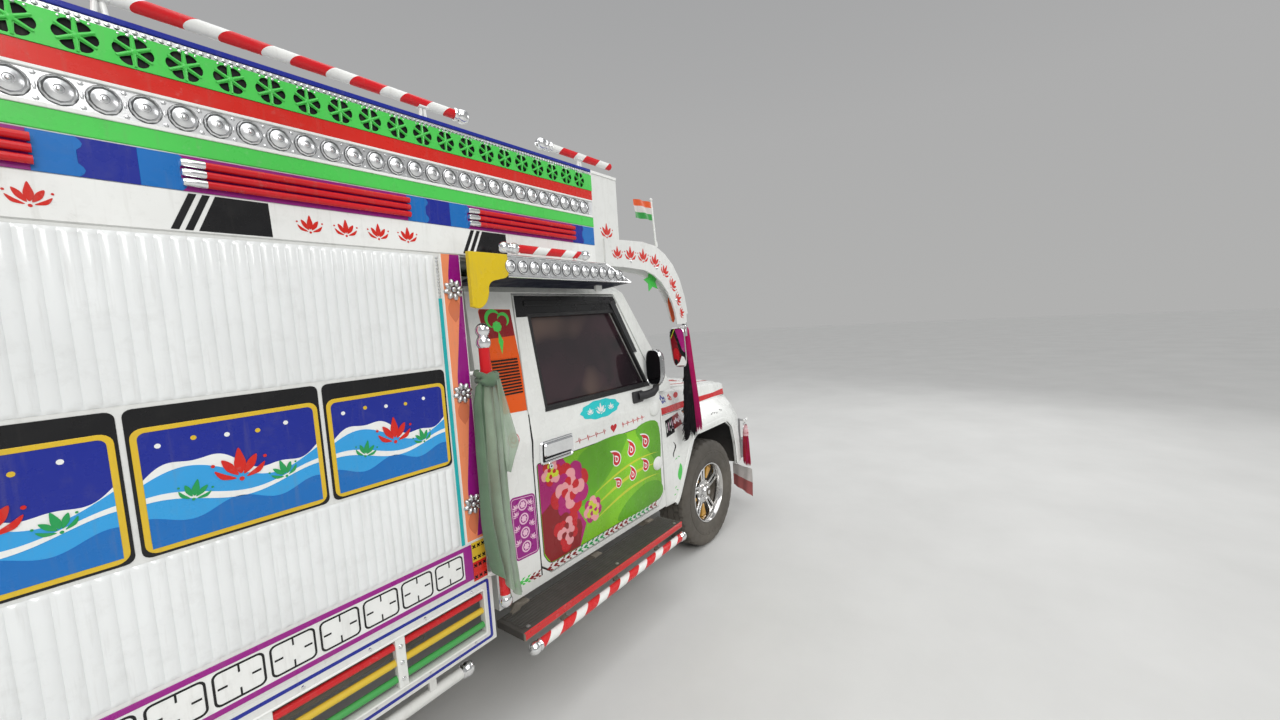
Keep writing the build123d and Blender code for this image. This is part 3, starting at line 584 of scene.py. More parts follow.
def lights():
    area("key", (-2.5, -7.0, 5.0), (0.6, -0.6, 1.1), 4.0, 212, (1.0, 0.985, 0.96), 2.4)
    area("top", (0.0, 0.0, 6.5), (0, 0, 0), 6.5, 90, (1, 1, 1), 4.0)
    area("front", (7.5, -3.0, 4.0), (1.0, 0, 1.0), 3.2, 90, (1, 1, 1), 2.0)
    area("left", (0.0, 7.5, 4.5), (0, 0, 1.0), 4.5, 100, (0.97, 0.985, 1.0), 2.4)
    area("rear", (-7.5, 2.0, 4.0), (-1, 0, 1.0), 3.2, 80, (1, 1, 1), 2.0)
    d = bpy.data.lights.new("sky", "SUN")
    d.energy, d.angle = 1.15, radians(60)
    o = bpy.data.objects.new("sky", d)
    o.rotation_euler = Vector((0.35, 0.75, -1.5)).to_track_quat("-Z", "Y").to_euler()
    bpy.context.scene.collection.objects.link(o)
    w = bpy.data.worlds.new("studio")
    bpy.context.scene.world = w
    w.use_nodes = True
    t = w.node_tree
    bg = t.nodes["Background"]
    co = t.nodes.new("ShaderNodeTexCoord")
    sep = t.nodes.new("ShaderNodeSeparateXYZ")
    ramp = t.nodes.new("ShaderNodeValToRGB")
    t.links.new(co.outputs["Generated"], sep.inputs[0])
    t.links.new(sep.outputs[2], ramp.inputs[0])
    t.links.new(ramp.outputs[0], bg.inputs[0])
    e = ramp.color_ramp.elements
    e[0].position, e[0].color = 0.0, (0.88, 0.88, 0.87, 1)
    e[1].position, e[1].color = 0.85, (0.62, 0.63, 0.65, 1)
    k = e.new(0.32)
    k.color = (0.84, 0.84, 0.84, 1)
    bg.inputs[1].default_value = 0.50


def floor():
    g = Graph("floor_pale", Roughness=0.62)
    n = g.noise(1.3, 6, 0.6)
    g.set("Base Color", g.mix(g.range(n, 0.3, 0.7), (0.60, 0.60, 0.585), (0.66, 0.66, 0.645)))
    g.bump(g.noise(180, 4, 0.6), 0.06, 0.001)
    me = bpy.data.meshes.new("floor")
    n, R = 96, 45.0
    v = [(0, 0, -0.0006)] + [(R * cos(2 * pi * i / n), R * sin(2 * pi * i / n), -0.0006) for i in range(n)]
    me.from_pydata(v, [], [(0, 1 + i, 1 + (i + 1) % n) for i in range(n)])
    me.materials.append(g.m)
    o = bpy.data.objects.new("floor", me)
    bpy.context.scene.collection.objects.link(o)


camera()
lights()
floor()
bpy.context.scene.view_settings.view_transform = "Standard"
bpy.context.scene.view_settings.look = "None"


# ------------------------------------------------------------------ finishes of the CAD pieces that stay
WHITE = (0.80, 0.815, 0.79)
white = paint("white_enamel", WHITE, 0.24, dust=0.30, low=0.75, dent=0.22, streak=0.04)
black_under = paint("black_underbody", (0.022, 0.022, 0.023), 0.5, dust=0.75, low=0.9, coat=0.0, peel=0.5, chips=0.5, under=(0.16, 0.07, 0.035))
cast = metal("cast_iron_worn", (0.20, 0.185, 0.17), 0.6, dust=0.5, rust=0.6, metallic=0.6, bump=0.5)
steel = metal("steel_worn", (0.42, 0.42, 0.43), 0.38, dust=0.35, rust=0.35, bump=0.2)
ch = chrome()
black_plastic = plastic("black_plastic", (0.022, 0.022, 0.024), 0.5, dust=0.35)
dash_plastic = plastic("dash_plastic", (0.055, 0.053, 0.05), 0.55, 0.5, dust=0.12)
rubber = plastic("black_rubber", (0.018, 0.018, 0.018), 0.7, 0.25, dust=0.6, scale=300)
red = paint("red_enamel", (0.60, 0.012, 0.018), 0.22, dust=0.07, chips=0.25, under=(0.5, 0.5, 0.5))
CAD_FINISH = [
    (white, "cab_shell bonnet front_fenders door_right door_left"),
    (black_under, "chassis_frame front_suspension fuel_tank rear_bumper running_boards"),
    (cast, "knuckle_right knuckle_left rear_axle engine_block"),
    (steel, "leaf_springs propshaft exhaust front_bumper bumper_guard"),
    (rubber, "tyre_fr tyre_fl tyre_rr tyre_rl spare_wheel mud_flaps"),
    (ch, "rim_fr rim_fl rim_rr rim_rl door_mirror_right door_mirror_left"),
    (black_plastic, "arch_liners front_panel steering_wheel"),
    (dash_plastic, "dashboard"),
    (red, "step_bars corner_poles roof_rods tail_lamps"),
    (paint("body_enamel", (0.74, 0.75, 0.73), 0.3, dust=0.3, dent=0.4, chips=0.15), "body_sides body_bulkhead top_boards head_box rear_frame tailgate side_racks side_arches"),
    (paint("soffit_dark", (0.008, 0.011, 0.028), 0.5, dust=0.06, coat=0.0), "door_canopies"),
    (paint("deck_grey", (0.20, 0.205, 0.21), 0.55, dust=0.5, chips=0.9, coat=0.0), "load_deck"),
]
for m, names in CAD_FINISH:
    for n in names.split():
        give(m, n)
g = Graph("window_film", Roughness=0.06, Specular_IOR_Level=0.6, IOR=1.5)
n = g.noise(1.9, 2, 0.45)
c = g.mix(g.range(n, 0.34, 0.56), (0.009, 0.010, 0.012), (0.040, 0.020, 0.026))
c = g.mix(g.range(g.noise(2.7, 2, 0.4), 0.50, 0.66), c, (0.115, 0.075, 0.060))
c = g.mix(g.range(g.noise(3.9, 2, 0.4), 0.58, 0.70), c, (0.014, 0.012, 0.014))
g.set("Base Color", c)
give(g.m, "door_glass_right", "door_glass_left", bevel=0)
g = Graph("clear_glass", Roughness=0.03, IOR=1.5, Alpha=0.20, Specular_IOR_Level=1.0)
g.set("Base Color", g.mix(g.range(g.noise(3, 3, 0.5), 0.4, 0.7), (0.035, 0.055, 0.050), (0.10, 0.11, 0.10)))
give(g.m, "windshield", "rear_window", bevel=0)


# ------------------------------------------------------------------ paints of the decoration
flat_white = paint("sign_white", (0.83, 0.84, 0.82), 0.3, dust=0.12, chips=0.12)
bright_green = paint("bright_green", (0.075, 0.58, 0.09), 0.26, dust=0.05, chips=0.2, under=(0.6, 0.62, 0.6))
deep_green = paint("deep_green", (0.016, 0.32, 0.085), 0.3, dust=0.05)
band_red = paint("band_red", (0.62, 0.018, 0.010), 0.25, dust=0.05, chips=0.15, under=(0.6, 0.6, 0.58))
navy = paint("navy_blue", (0.010, 0.022, 0.28), 0.25, dust=0.05)
mid_blue = paint("mid_blue", (0.008, 0.15, 0.48), 0.25, dust=0.05)
teal = paint("teal", (0.01, 0.40, 0.42), 0.3, dust=0.12)
yellow = paint("signal_yellow", (0.70, 0.50, 0.012), 0.26, dust=0.05, chips=0.12)
magenta = paint("magenta", (0.29, 0.007, 0.21), 0.28, dust=0.05)
purple = paint("purple", (0.30, 0.010, 0.23), 0.28, dust=0.05)
salmon = paint("salmon", (0.86, 0.28, 0.13), 0.3, dust=0.12)
orange = paint("orange_panel", (0.76, 0.10, 0.006), 0.28, dust=0.08)
dark_red = paint("dark_red", (0.24, 0.008, 0.012), 0.3, dust=0.06)
sign_black = paint("sign_black", (0.007, 0.007, 0.008), 0.25, dust=0.03, grime=0.01, streak=0.01)
pale_pink = paint("pale_pink", (0.80, 0.52, 0.66), 0.32, dust=0.1)
silver = chrome("pressed_silver", (0.80, 0.81, 0.82), 0.30, 0.14, 0.04)
# painted shade: dark grey for the rings round the pressed bosses
boss_painted_shade = metal("boss_painted_shade", (0.17, 0.175, 0.18), 0.4, dust=0.04, bump=0.05)
grey_shade = paint("silver_grey", (0.40, 0.42, 0.43), 0.22, dust=0.15, metallic=0.5)
# painted shade: near-black for the backing behind the pierced band, the handle's dished recess and the lock slot
recess = paint("recess_painted_shade", (0.008, 0.008, 0.009), 0.6, dust=0.2, coat=0.0)

FACE = on_side(883.0)
X0, X1 = -2496.0, 750.0            # length of the coloured bands


def strip(m, place, x0, x1, z0, z1, h, mat=0, c=0.8, h0=0.0):
    m.prism([(x0, z0), (x1, z0), (x1, z1), (x0, z1)], place, h0, h, mat, c, back=False)


def domes(m, place, points, r, rise, n=8, mat=0, rz=None, rings=2):
    """Small pressed domes at (a, b) points."""
    for a, b in points:
        v, f = [], []
        for i in range(rings):
            t = i / rings * pi / 2
            for k in range(n):
                q = 2 * pi * k / n
                v.append(place(a + r * cos(t) * cos(q), b + (rz or r) * cos(t) * sin(q), rise * sin(t)))
        v.append(place(a, b, rise))
        for i in range(rings - 1):
            for k in range(n):
                f.append((i * n + k, i * n + (k + 1) % n, (i + 1) * n + (k + 1) % n, (i + 1) * n + k))
        for k in range(n):
            f.append(((rings - 1) * n + k, (rings - 1) * n + (k + 1) % n, len(v) - 1))
        m.add(v, f, mat)


def turned(m, place, a, b, profile, n=24, mat=0, ra=1.0, rb=1.0, h0=0.0):
    """Pressed round shape: the profile is (radius, height) from the edge to the middle."""
    v, f = [], []
    for r, h in profile:
        if r <= 0:
            v.append(place(a, b, h0 + h))
        else:
            for k in range(n):
                q = 2 * pi * k / n
                v.append(place(a + ra * r * cos(q), b + rb * r * sin(q), h0 + h))
    rows = len(profile)
    for i in range(rows - 1):
        if profile[i + 1][0] <= 0:
            for k in range(n):
                f.append((i * n + k, i * n + (k + 1) % n, len(v) - 1))
        else:
            for k in range(n):
                f.append((i * n + k, i * n + (k + 1) % n, (i + 1) * n + (k + 1) % n, (i + 1) * n + k))
    m.add(v, f, mat)


def boss(m, place, a, b, rx=25.0, rz=28.0, n=20, mat=0, h0=0.0, painted_shade=None):
    """Pressed oval boss: a fluted rim round a dished middle with a raised bead. If a shade material is given, the
    outer wall, the dip inside the rim and the dip round the bead take it: painted shade rings.
    """
    v, f = [], []
    prof = [(1.0, 0.0), (0.94, 4.5), (0.84, 7.5), (0.72, 6.0), (0.60, 8.5), (0.46, 12.5), (0.30, 13.5),
            (0.26, 11.5), (0.17, 12.5), (0.10, 16.5), (0.0, 17.5)]
    for i, (r, h) in enumerate(prof[:-1]):
        for k in range(n):
            q = 2 * pi * k / n
            flute = 1.0 + (0.035 if (k % 2) else -0.02) * (i in (1, 2))
            v.append(place(a + rx * r * flute * cos(q), b + rz * r * flute * sin(q), h0 + h * 0.8))
    v.append(place(a, b, h0 + prof[-1][1] * 0.8))
    rows = len(prof) - 1
    for i in range(rows - 1):
        for k in range(n):
            f.append((i * n + k, i * n + (k + 1) % n, (i + 1) * n + (k + 1) % n, (i + 1) * n + k))
    for k in range(n):
        f.append(((rows - 1) * n + k, (rows - 1) * n + (k + 1) % n, len(v) - 1))
    n0 = len(m.k)
    m.add(v, f, mat)
    # painted shade: darker rings on the outer wall, inside the rim and round the bead
    if painted_shade is not None:
        for i in (0, 2, 6):
            m.k[n0 + i * n:n0 + (i + 1) * n] = [painted_shade] * n


def lattice(place, x0, x1, z0, z1, pitch, h0, h1):
    """Pierced sheet: rosettes of six openings with a boss in the middle of each; one cell after the other."""
    m = Mesh()
    zc = (z0 + z1) / 2
    count = int((x1 - x0) // pitch)
    lead = (x1 - x0 - count * pitch) / 2
    if lead > 1:
        strip(m, place, x0, x0 + lead, z0, z1, h1, 0, 0.6, h0)
        strip(m, place, x1 - lead, x1, z0, z1, h1, 0, 0.6, h0)
    for i in range(count):
        a = x0 + lead + i * pitch
        c = a + pitch / 2
        holes = []
        for k in range(6):
            q = radians(60 * k)
            pts = [(9.0, 0.0), (17.0, -5.4)]
            pts += [(r * cos(radians(w)), r * sin(radians(w))) for w, r in ((-22.5, 26.0), (-20.5, 30.0), (-10, 31.6), (0, 32.0), (10, 31.6), (20.5, 30.0), (22.5, 26.0))]
            pts += [(17.0, 5.4)]
            holes.append([(c + u * cos(q) - v * sin(q), zc + u * sin(q) + v * cos(q)) for u, v in pts])
        m.prism([(a, z0), (a + pitch, z0), (a + pitch, z1), (a, z1)], place, h0, h1, 0, 0.0, holes, back=False)
        turned(m, place, c, zc, [(8.0, 0), (6.5, 3), (3.5, 4.8), (0, 5.2)], 12, 0, h0=h1)
        # rounded ribs between the openings; silver beads along the top stand for glints there: painted highlights
        for k in range(6):
            q = radians(60 * k + 30)
            m.tube([place(c + 5 * cos(q), zc + 5 * sin(q), h1 + 2.2), place(c + 31 * cos(q), zc + 31 * sin(q), h1 + 0.8)], 2.4, 6, 0, caps=False)
        domes(m, lambda x, z, h: place(x, z, h + h1), [(c - 6, z1 - 4), (c + 6, z1 - 4)], 4.2, 4.0, 8, 1, rings=2)
        for b, r in ((z1 - 5, 5.5), (z0 + 5, 5.5)):
            domes(m, place, [(a + 1, b)], r, 5.0, 8, 1)
            m.add([], [])
        # more painted highlights: small silver beads along the top
        domes(m, lambda x, z, h: place(x, z, h + h1), [(c - pitch / 4, z1 - 5), (c + pitch / 4, z1 - 5)], 3.0, 3.0, 6, 1, rings=2)
    return m


def waves(m, place, x0, x1, z0, z1, cuts, mats, h, amp=5.0, turns=1.6, phase=0.0):
    """Field divided by wavy upright lines at the cuts; one paint a part."""
    edges = [x0] + list(cuts) + [x1]
    n = 14
    zs = [z0 + (z1 - z0) * i / n for i in range(n + 1)]

    def line(k):
        if k in (0, len(edges) - 1):
            return [(edges[k], z) for z in zs]
        return [(edges[k] + amp * sin(phase + k + turns * 2 * pi * (z - z0) / (z1 - z0)), z) for z in zs]
    for k in range(len(edges) - 1):
        l, r = line(k), line(k + 1)
        m.prism([*r, *l[::-1]], place, 0.0, h, mats[k % len(mats)], 0.5, back=False)


def bands():
    """Coloured bands along the top of the body and the box over the cab, right side."""
    trim, green, redm, silv, whit, blu = Mesh(), Mesh(), Mesh(), Mesh(), Mesh(), Mesh()
    place = FACE
    # top edge: blue flat, silver bead row
    strip(trim, place, X0, X1, 2238, 2250, 7, 0, 1.5)
    strip(trim, place, X0, X1, 2224, 2237, 4, 1, 1.0)
    n = int((X1 - X0) / 13.5)
    domes(trim, lambda a, b, h: place(a, b, h + 4), [(X0 + (i + 0.5) * (X1 - X0) / n, 2230.5) for i in range(n)], 5.4, 4.5, 7, 1)
    both_sides("top_edge_trim", trim, [navy, silver], slot="band_paint")
    # pierced band over a near-black backing sheet, painted shade for its openings
    back = Mesh()
    strip(back, place, X0, X1, 2152, 2224, 1.0, 0, 0)
    both_sides("lattice_recess", back, recess, slot="band_paint")
    both_sides("green_lattice", lattice(place, X0, X1, 2153, 2223, 81.15, 5.5, 8.0), [bright_green, silver], slot="band_paint")
    # red band and the white lines
    strip(redm, place, X0, X1, 2111, 2153, 6, 0, 1.2)
    both_sides("red_band", redm, band_red, slot="band_paint")
    for z0, z1, h in ((2104, 2111, 8), (2033, 2042, 8), (1988, 1991, 3)):
        strip(whit, place, X0, X1, z0, z1, h, 0, 1.2)
    # row of pressed bosses on a sheet with small beads; the bosses carry painted shade rings in a dark grey
    strip(silv, place, X0, X1, 2042, 2104, 2, 0, 0)
    pitch = 60.8
    k0 = int((X0 - 26) // pitch) + 1
    xs = [26 + pitch * k for k in range(k0, 100) if X0 + 28 < 26 + pitch * k < X1 - 12]
    for x in xs:
        boss(silv, place, x, 2073, 27, 29.5, 20, 0, 2, 1)
        domes(silv, lambda a, b, h: place(a, b, h + 2), [(x + pitch / 2, 2097), (x + pitch / 2, 2049)], 5, 4, 6, 0)
        domes(silv, lambda a, b, h: place(a, b, h + 2), [(x + pitch / 2, 2073)], 3, 3, 6, 0, rz=9)
    both_sides("boss_row", silv, [silver, boss_painted_shade], slot="band_paint")
    # plain green band
    strip(green, place, X0, X1, 1991, 2033, 5, 0, 1.2)
    both_sides("green_band", green, bright_green, slot="band_paint")
    # blue band: wave patches and groups of three tubes on a magenta ground
    PERIOD = 742.0
    mats = [navy, mid_blue, magenta]
    start = 757.0
    k = 0
    while start - PERIOD * (k + 1) > X0 - PERIOD:
        b = start - PERIOD * k               # front end of this group
        a = max(b - PERIOD, X0)
        # from the front: mid blue 87, navy 62, tubes 526, mid blue 66
        marks = [b - 87, b - 149, b - 675]
        e = [x for x in marks if x > a + 4]
        order = [0, 1, 2, 1] if k else [1, 0, 2, 1]
        edges = [min(b, X1)] + e + [a]
        for i in range(len(edges) - 1):
            lo, hi = edges[i + 1], edges[i]
            if hi - lo < 3:
                continue
            cut = [(lo, 1909), (hi, 1909), (hi, 1988), (lo, 1988)]
            blu.prism(cut, place, 0, 3, order[i], 0.5, back=False)
            if order[i] != 2:
                # wavy edge laid over the neighbour
                side_x = hi
                w = [(side_x, 1909)] + [(side_x + 9 * abs(sin(pi * t / 4.0)) * (1 if t % 8 < 4 else -0.2), 1909 + 79 * t / 12) for t in range(1, 12)] + [(side_x, 1988)]
                if i:
                    blu.prism(w + [(side_x - 4, 1988), (side_x - 4, 1909)], place, 3, 3.6, order[i], 0, back=False)
        k += 1
    both_sides("blue_band", blu, mats, slot="band_paint")
    tubes = Mesh()
    k = 0
    while start - PERIOD * k - 149 > X0 + 60:
        b = start - PERIOD * k
        t1, t0 = b - 149, max(b - 675, X0 + 8)
        if t1 < X1:
            for z in (1970, 1948.5, 1927):
                y = -(883 + 11)
                tubes.tube([(t0 + 40, y, z), (t1 + 4, y, z)], 8.6, 14, 0)
                tubes.tube([(t0, y, z), (t0 + 6, y, z), (t0 + 42, y, z)], [7.5, 9.3, 9.3], 14, 1)
                for x in (t0 + 20, (t0 + t1) / 2, t1 - 20):
                    tubes.box(x - 5, x + 5, y, -884, z - 4, z + 4, 1, 1)
        k += 1
    both_sides("band_tubes", tubes, [red, ch], slot="rod_paint")
    # white band with black slanted stripes and blocks
    strip(whit, place, X0, X1, 1816, 1907, 3, 0, 1.0)
    strip(whit, place, X1, 939, 2236, 2249, 4, 0, 1.0)
    both_sides("white_lines", whit, flat_white, slot="band_paint")
    marks = Mesh()
    k = 0
    while 241 - PERIOD * k > X0 + 60:
        b = -PERIOD * k
        for p0, p1 in ((52, 66), (76, 90)):
            q = [(b + p0, 1820), (b + p1, 1820), (b + p1 + 38, 1904), (b + p0 + 38, 1904)]
            marks.prism(q, place, 3, 3.8, 0, 0.2, back=False)
        marks.prism([(b + 100, 1820), (b + 243, 1820), (b + 241, 1904), (b + 137, 1904)], place, 3, 3.8, 0, 0.2, back=False)
        k += 1
    both_sides("black_marks", marks, sign_black, slot="band_paint")
    # traditional scrolls in red on the white parts
    scroll = Mesh()
    leaf(scroll, place, 846, 1985, 38, 0.0)
    for k in range(4):
        for x in (330, 420, 510, 600):
            xx = x - PERIOD * k - (0 if k else 0)
            if X0 + 40 < xx and (k or xx > 640):
                leaf(scroll, lambda a, b, h: place(a, b, h + 3), xx, 1862, 26, 0.0)
    both_sides("red_scrolls", scroll, band_red, slot="band_paint")


def leaf(m, place, a, b, r, turn):
    """Traditional lotus: a bud, two side leaves and two curls with dots."""
    def pt(u, v):
        return (a + (u * cos(turn) - v * sin(turn)) * r, b + (u * sin(turn) + v * cos(turn)) * r)

    def blob(points, k=6):
        out = spline(points, k, True)
        m.prism([pt(*p) for p in out], place, 0, 0.8, 0, 0, back=False)
    blob([(0, -0.5), (0.26, 0.0), (0.16, 0.55), (0, 0.95), (-0.16, 0.55), (-0.26, 0.0)])
    for s in (-1, 1):
        blob([(s * 0.12, -0.55), (s * 0.62, -0.2), (s * 0.78, 0.42), (s * 0.34, 0.12)])
        blob([(s * 0.22, -0.72), (s * 0.85, -0.62), (s * 1.12, -0.1), (s * 0.72, -0.36)])
        m.prism(circle(*pt(s * 1.15, 0.2), r * 0.09, 10), place, 0, 0.8, 0, 0, back=False)
    m.prism(circle(*pt(0, -0.8), r * 0.12, 10), place, 0, 0.8, 0, 0, back=False)


bands()


# ------------------------------------------------------------------ striped rods, posts and chrome knobs
rod_white = paint("rod_white", (0.84, 0.85, 0.83), 0.2, dust=0.18, chips=0.15)
rod_red = paint("rod_red", (0.64, 0.010, 0.016), 0.2, dust=0.07, chips=0.2, under=(0.5, 0.5, 0.5))
lip_red = paint("lip_red", (0.58, 0.012, 0.014), 0.3, dust=0.12, chips=0.2, under=(0.25, 0.2, 0.17))
soffit = paint("soffit_dark", (0.010, 0.014, 0.035), 0.25, dust=0.12)


def striped(m, x0, x1, y, z, r, marks, slant=22.0, n=20, phase=0.6):
    """Round bar along X with slanted bands; marks are (start, material) in rising order from x0."""
    edges = [x0] + [q for q, _ in marks[1:]] + [x1]
    for i, (_, k) in enumerate(marks):
        rows = []
        for e in (edges[i], edges[i + 1]):
            row = []
            for j in range(n):
                a = 2 * pi * j / n
                s = 0 if e in (x0, x1) else slant * sin(a + phase)
                row.append((e + s, y + r * cos(a), z + r * sin(a)))
            rows.append(row)
        m.grid(rows, k, wrap=True, flip=True)
    return m


def knob(m, c, r, axis=(1, 0, 0), mat=2, lobes=10, rows=10):
    """Pressed chrome ball with flutes."""
    z = Vector(axis).normalized()
    u = (Vector((0, 0, 1)) if abs(z.z) < 0.9 else Vector((1, 0, 0)))
    x = (u - z * u.dot(z)).normalized()
    y = z.cross(x)
    n = lobes * 3
    out = []
    for i in range(rows + 1):
        t = pi * i / rows
        row = []
        for k in range(n):
            a = 2 * pi * k / n
            q = r * (1 - 0.075 * abs(cos(lobes * a / 2)) * sin(t) ** 2)
            row.append(tuple(Vector(c) + z * (-r * cos(t)) + (x * cos(a) + y * sin(a)) * max(q * sin(t), 0.4)))
        out.append(row)
    m.grid(out, mat, wrap=True)
    return m


def ring(m, c, axis, r, w, mat=2, n=20):
    """Turned collar of width w round a bar."""
    m.lathe([(-w / 2, r * 0.72), (-w / 2, r * 0.9), (-w * 0.3, r), (0, r * 1.06), (w * 0.3, r), (w / 2, r * 0.9), (w / 2, r * 0.72)], c, axis, n, mat)
    return m


def alternating(x0, x1, white_len, red_len, start, first=0):
    """Stripe marks from x0 to x1 so that a white one starts at start."""
    out, x = [], start
    while x > x0:
        x -= white_len + red_len
    k = 0
    while x < x1:
        for ln, mt in ((white_len, 0), (red_len, 1)):
            if x + ln > x0 and x < x1:
                out.append((max(x, x0), mt))
            x += ln
    return out


def rods():
    m = Mesh()
    y = -868
    striped(m, 486, 915, y, 2300, 16, [(486, 0), (594, 1), (685, 0), (741, 1), (832, 0), (900, 1)])
    m.lathe([(0, 16), (5, 12), (7, 0)], (915, y, 2300), (1, 0, 0), 20, 1)
    ring(m, (503, y, 2300), (1, 0, 0), 21, 18)
    ring(m, (525, y, 2300), (1, 0, 0), 19, 12)
    knob(m, (477, y, 2300), 26)
    striped(m, -2400, 92, y, 2300, 16, alternating(-2400, 92, 62, 85, -10))
    for x, s in ((82, 1), (-2388, -1)):
        ring(m, (x - s * 2, y, 2300), (1, 0, 0), 21, 16)
        knob(m, (x + s * 26, y, 2300), 26)
    for x in (-2250, -1500, -750, -40, 700):
        for s in (-1, 1):
            m.tube([(x + s * 9, y, 2251), (x + s * 5, y, 2290)], 5.5, 10, 0)
        m.box(x - 22, x + 22, y - 10, y + 10, 2250, 2255, 0, 1)
        m.box(x - 16, x + 16, y - 13, y + 13, 2284, 2289, 0, 1)
    both_sides("roof_rod_trim", m, [rod_white, rod_red, ch], stands_for=(("roof_rods",), ()), slot="rod_paint")
    # rods on the lips over the doors
    m = Mesh()
    y, z = -952, 1842
    striped(m, 186, 596, y, z, 16, [(186, 2), (236, 1), (327, 0), (394, 1), (477, 0), (542, 1), (572, 2)])
    for x, r in ((176, 22), (221, 21), (606, 22), (578, 18)):
        knob(m, (x, y, z), r)
    ring(m, (200, y, z), (1, 0, 0), 17, 10)
    ring(m, (592, y, z), (1, 0, 0), 17, 8)
    for x in (240, 540):
        m.tube([(x, y, 1813), (x, y, 1830)], 7, 10, 0)
        m.box(x - 16, x + 16, y - 9, y + 9, 1812, 1817, 0, 1)
    both_sides("lip_rods", m, [rod_white, rod_red, ch], slot="rod_paint")
    # striped bars along the steps
    m = Mesh()
    y, z = -987, 350
    striped(m, 152, 1190, y, z, 19, alternating(152, 1190, 68, 76, 489), 26)
    for x, s in ((140, -1), (1202, 1)):
        knob(m, (x, y, z), 26)
        ring(m, (x - s * 22, y, z), (1, 0, 0), 22, 12)
    for x in (330, 670, 1010):
        m.box(x - 14, x + 14, y + 4, -940, z - 5, z + 5, 3, 1)
        m.box(x - 14, x + 14, -946, -938, z - 5, 386, 3, 1)
    both_sides("step_bar_trim", m, [rod_white, rod_red, ch, black_under], stands_for=(("step_bars",), ()), slot="rod_paint")
    # poles at the corner behind the doors
    m = Mesh()
    x, y = 76, -922
    m.tube([(x, y, 575), (x, y, 1488)], 19, 22, 1)
    m.tube([(x, y, 565), (x, y, 580)], 21, 22, 2)
    knob(m, (x, y, 552), 27, (0, 0, 1))
    knob(m, (x, y, 1506), 27, (0, 0, 1))
    ring(m, (x, y, 1528), (0, 0, 1), 17, 8)
    knob(m, (x, y, 1549), 26, (0, 0, 1))
    for zz in (660, 1400):
        m.tube([(x, y + 8, zz), (58, -900, zz), (36, -884, zz)], 8, 14, 0)
        m.tube([(x, y, zz - 7), (x, y, zz + 7)], 20.5, 22, 1)
    both_sides("pole_trim", m, [rod_white, rod_red, ch], stands_for=(("corner_poles",), ()), slot="rod_paint")


rods()


# ------------------------------------------------------------------ lips over the doors
def canopy():
    place = on_side(970.0)
    m = Mesh()                       # 0 silver, 1 chrome, 2 white, 3 yellow, 4 dark
    rows = []
    for x in (62, 300, 520, 715, 760, 805, 850, 892):
        top = 1812 if x <= 715 else 1812 - (x - 715) * 0.447
        rows.append([(x, -y, min(z, top)) for y, z in
                     ((883, 1812), (969.5, 1812), (969.5, 1732), (880, 1724), (792, 1716), (792, 1722), (900, 1738), (883, 1790))])
    m.grid(rows, 4, wrap=True, smooth=False)
    m.add(rows[0], [tuple(range(8))], 4, False)
    m.add(rows[-1], [tuple(range(8))[::-1]], 4, False)
    out = [(168, 1733), (893, 1733), (716, 1811), (168, 1811)]
    m.prism(out, place, 0, 2, 0, 0.5, back=False)
    # the bosses carry painted shade rings in material 5
    for k, x in enumerate([182 + 56.7 * i for i in range(12)]):
        rz = 27 if x < 760 else 24
        boss(m, place, x, 1772 - (0 if x < 700 else (x - 700) * 0.05), 25, rz, 20, 0, 2, 5)
        if x < 730:
            domes(m, lambda a, b, h: place(a, b, h + 2), [(x + 28.3, 1800), (x + 28.3, 1745)], 4.5, 3.5, 6, 0)
    boss(m, place, 846, 1749, 14, 13, 16, 0, 2, 5)
    # bright edges: half-round mouldings along the top, the slope and the bottom
    for pts in ([(168, 1810), (716, 1810)], [(168, 1736), (890, 1734)], [(716, 1810), (892, 1734)]):
        (a0, b0), (a1, b1) = pts
        m.tube([place(a0, b0, 2), place(a1, b1, 2)], 4.2, 10, 1)
    # white top and the inner gutter
    m.prism([(62, -883), (716, -883), (716, -970), (62, -970)], lambda a, b, h: (a, b, 1812 + h), 0, 2.5, 2, 0.8, back=False)
    m.prism([(716, -883), (893, -883), (893, -970), (716, -970)], lambda a, b, h: (a, b, 1812 - (a - 715) * 0.447 + h + 0.3), 0, 2.0, 2, 0.5, back=False)
    # lobed bracket plate
    lobes = [(12, 1814), (172, 1814), (173, 1748)] + spline([(173, 1746), (158, 1731), (128, 1724), (98, 1716), (84, 1700), (80, 1672), (66, 1642), (40, 1624), (12, 1630)], 6)[1:]
    m.prism(lobes, place, -14, 4, 3, 1.5)
    both_sides("door_lips", m, [silver, chrome(), flat_white, yellow, soffit, boss_painted_shade], stands_for=(("door_canopies",), ()), slot="band_paint")


canopy()


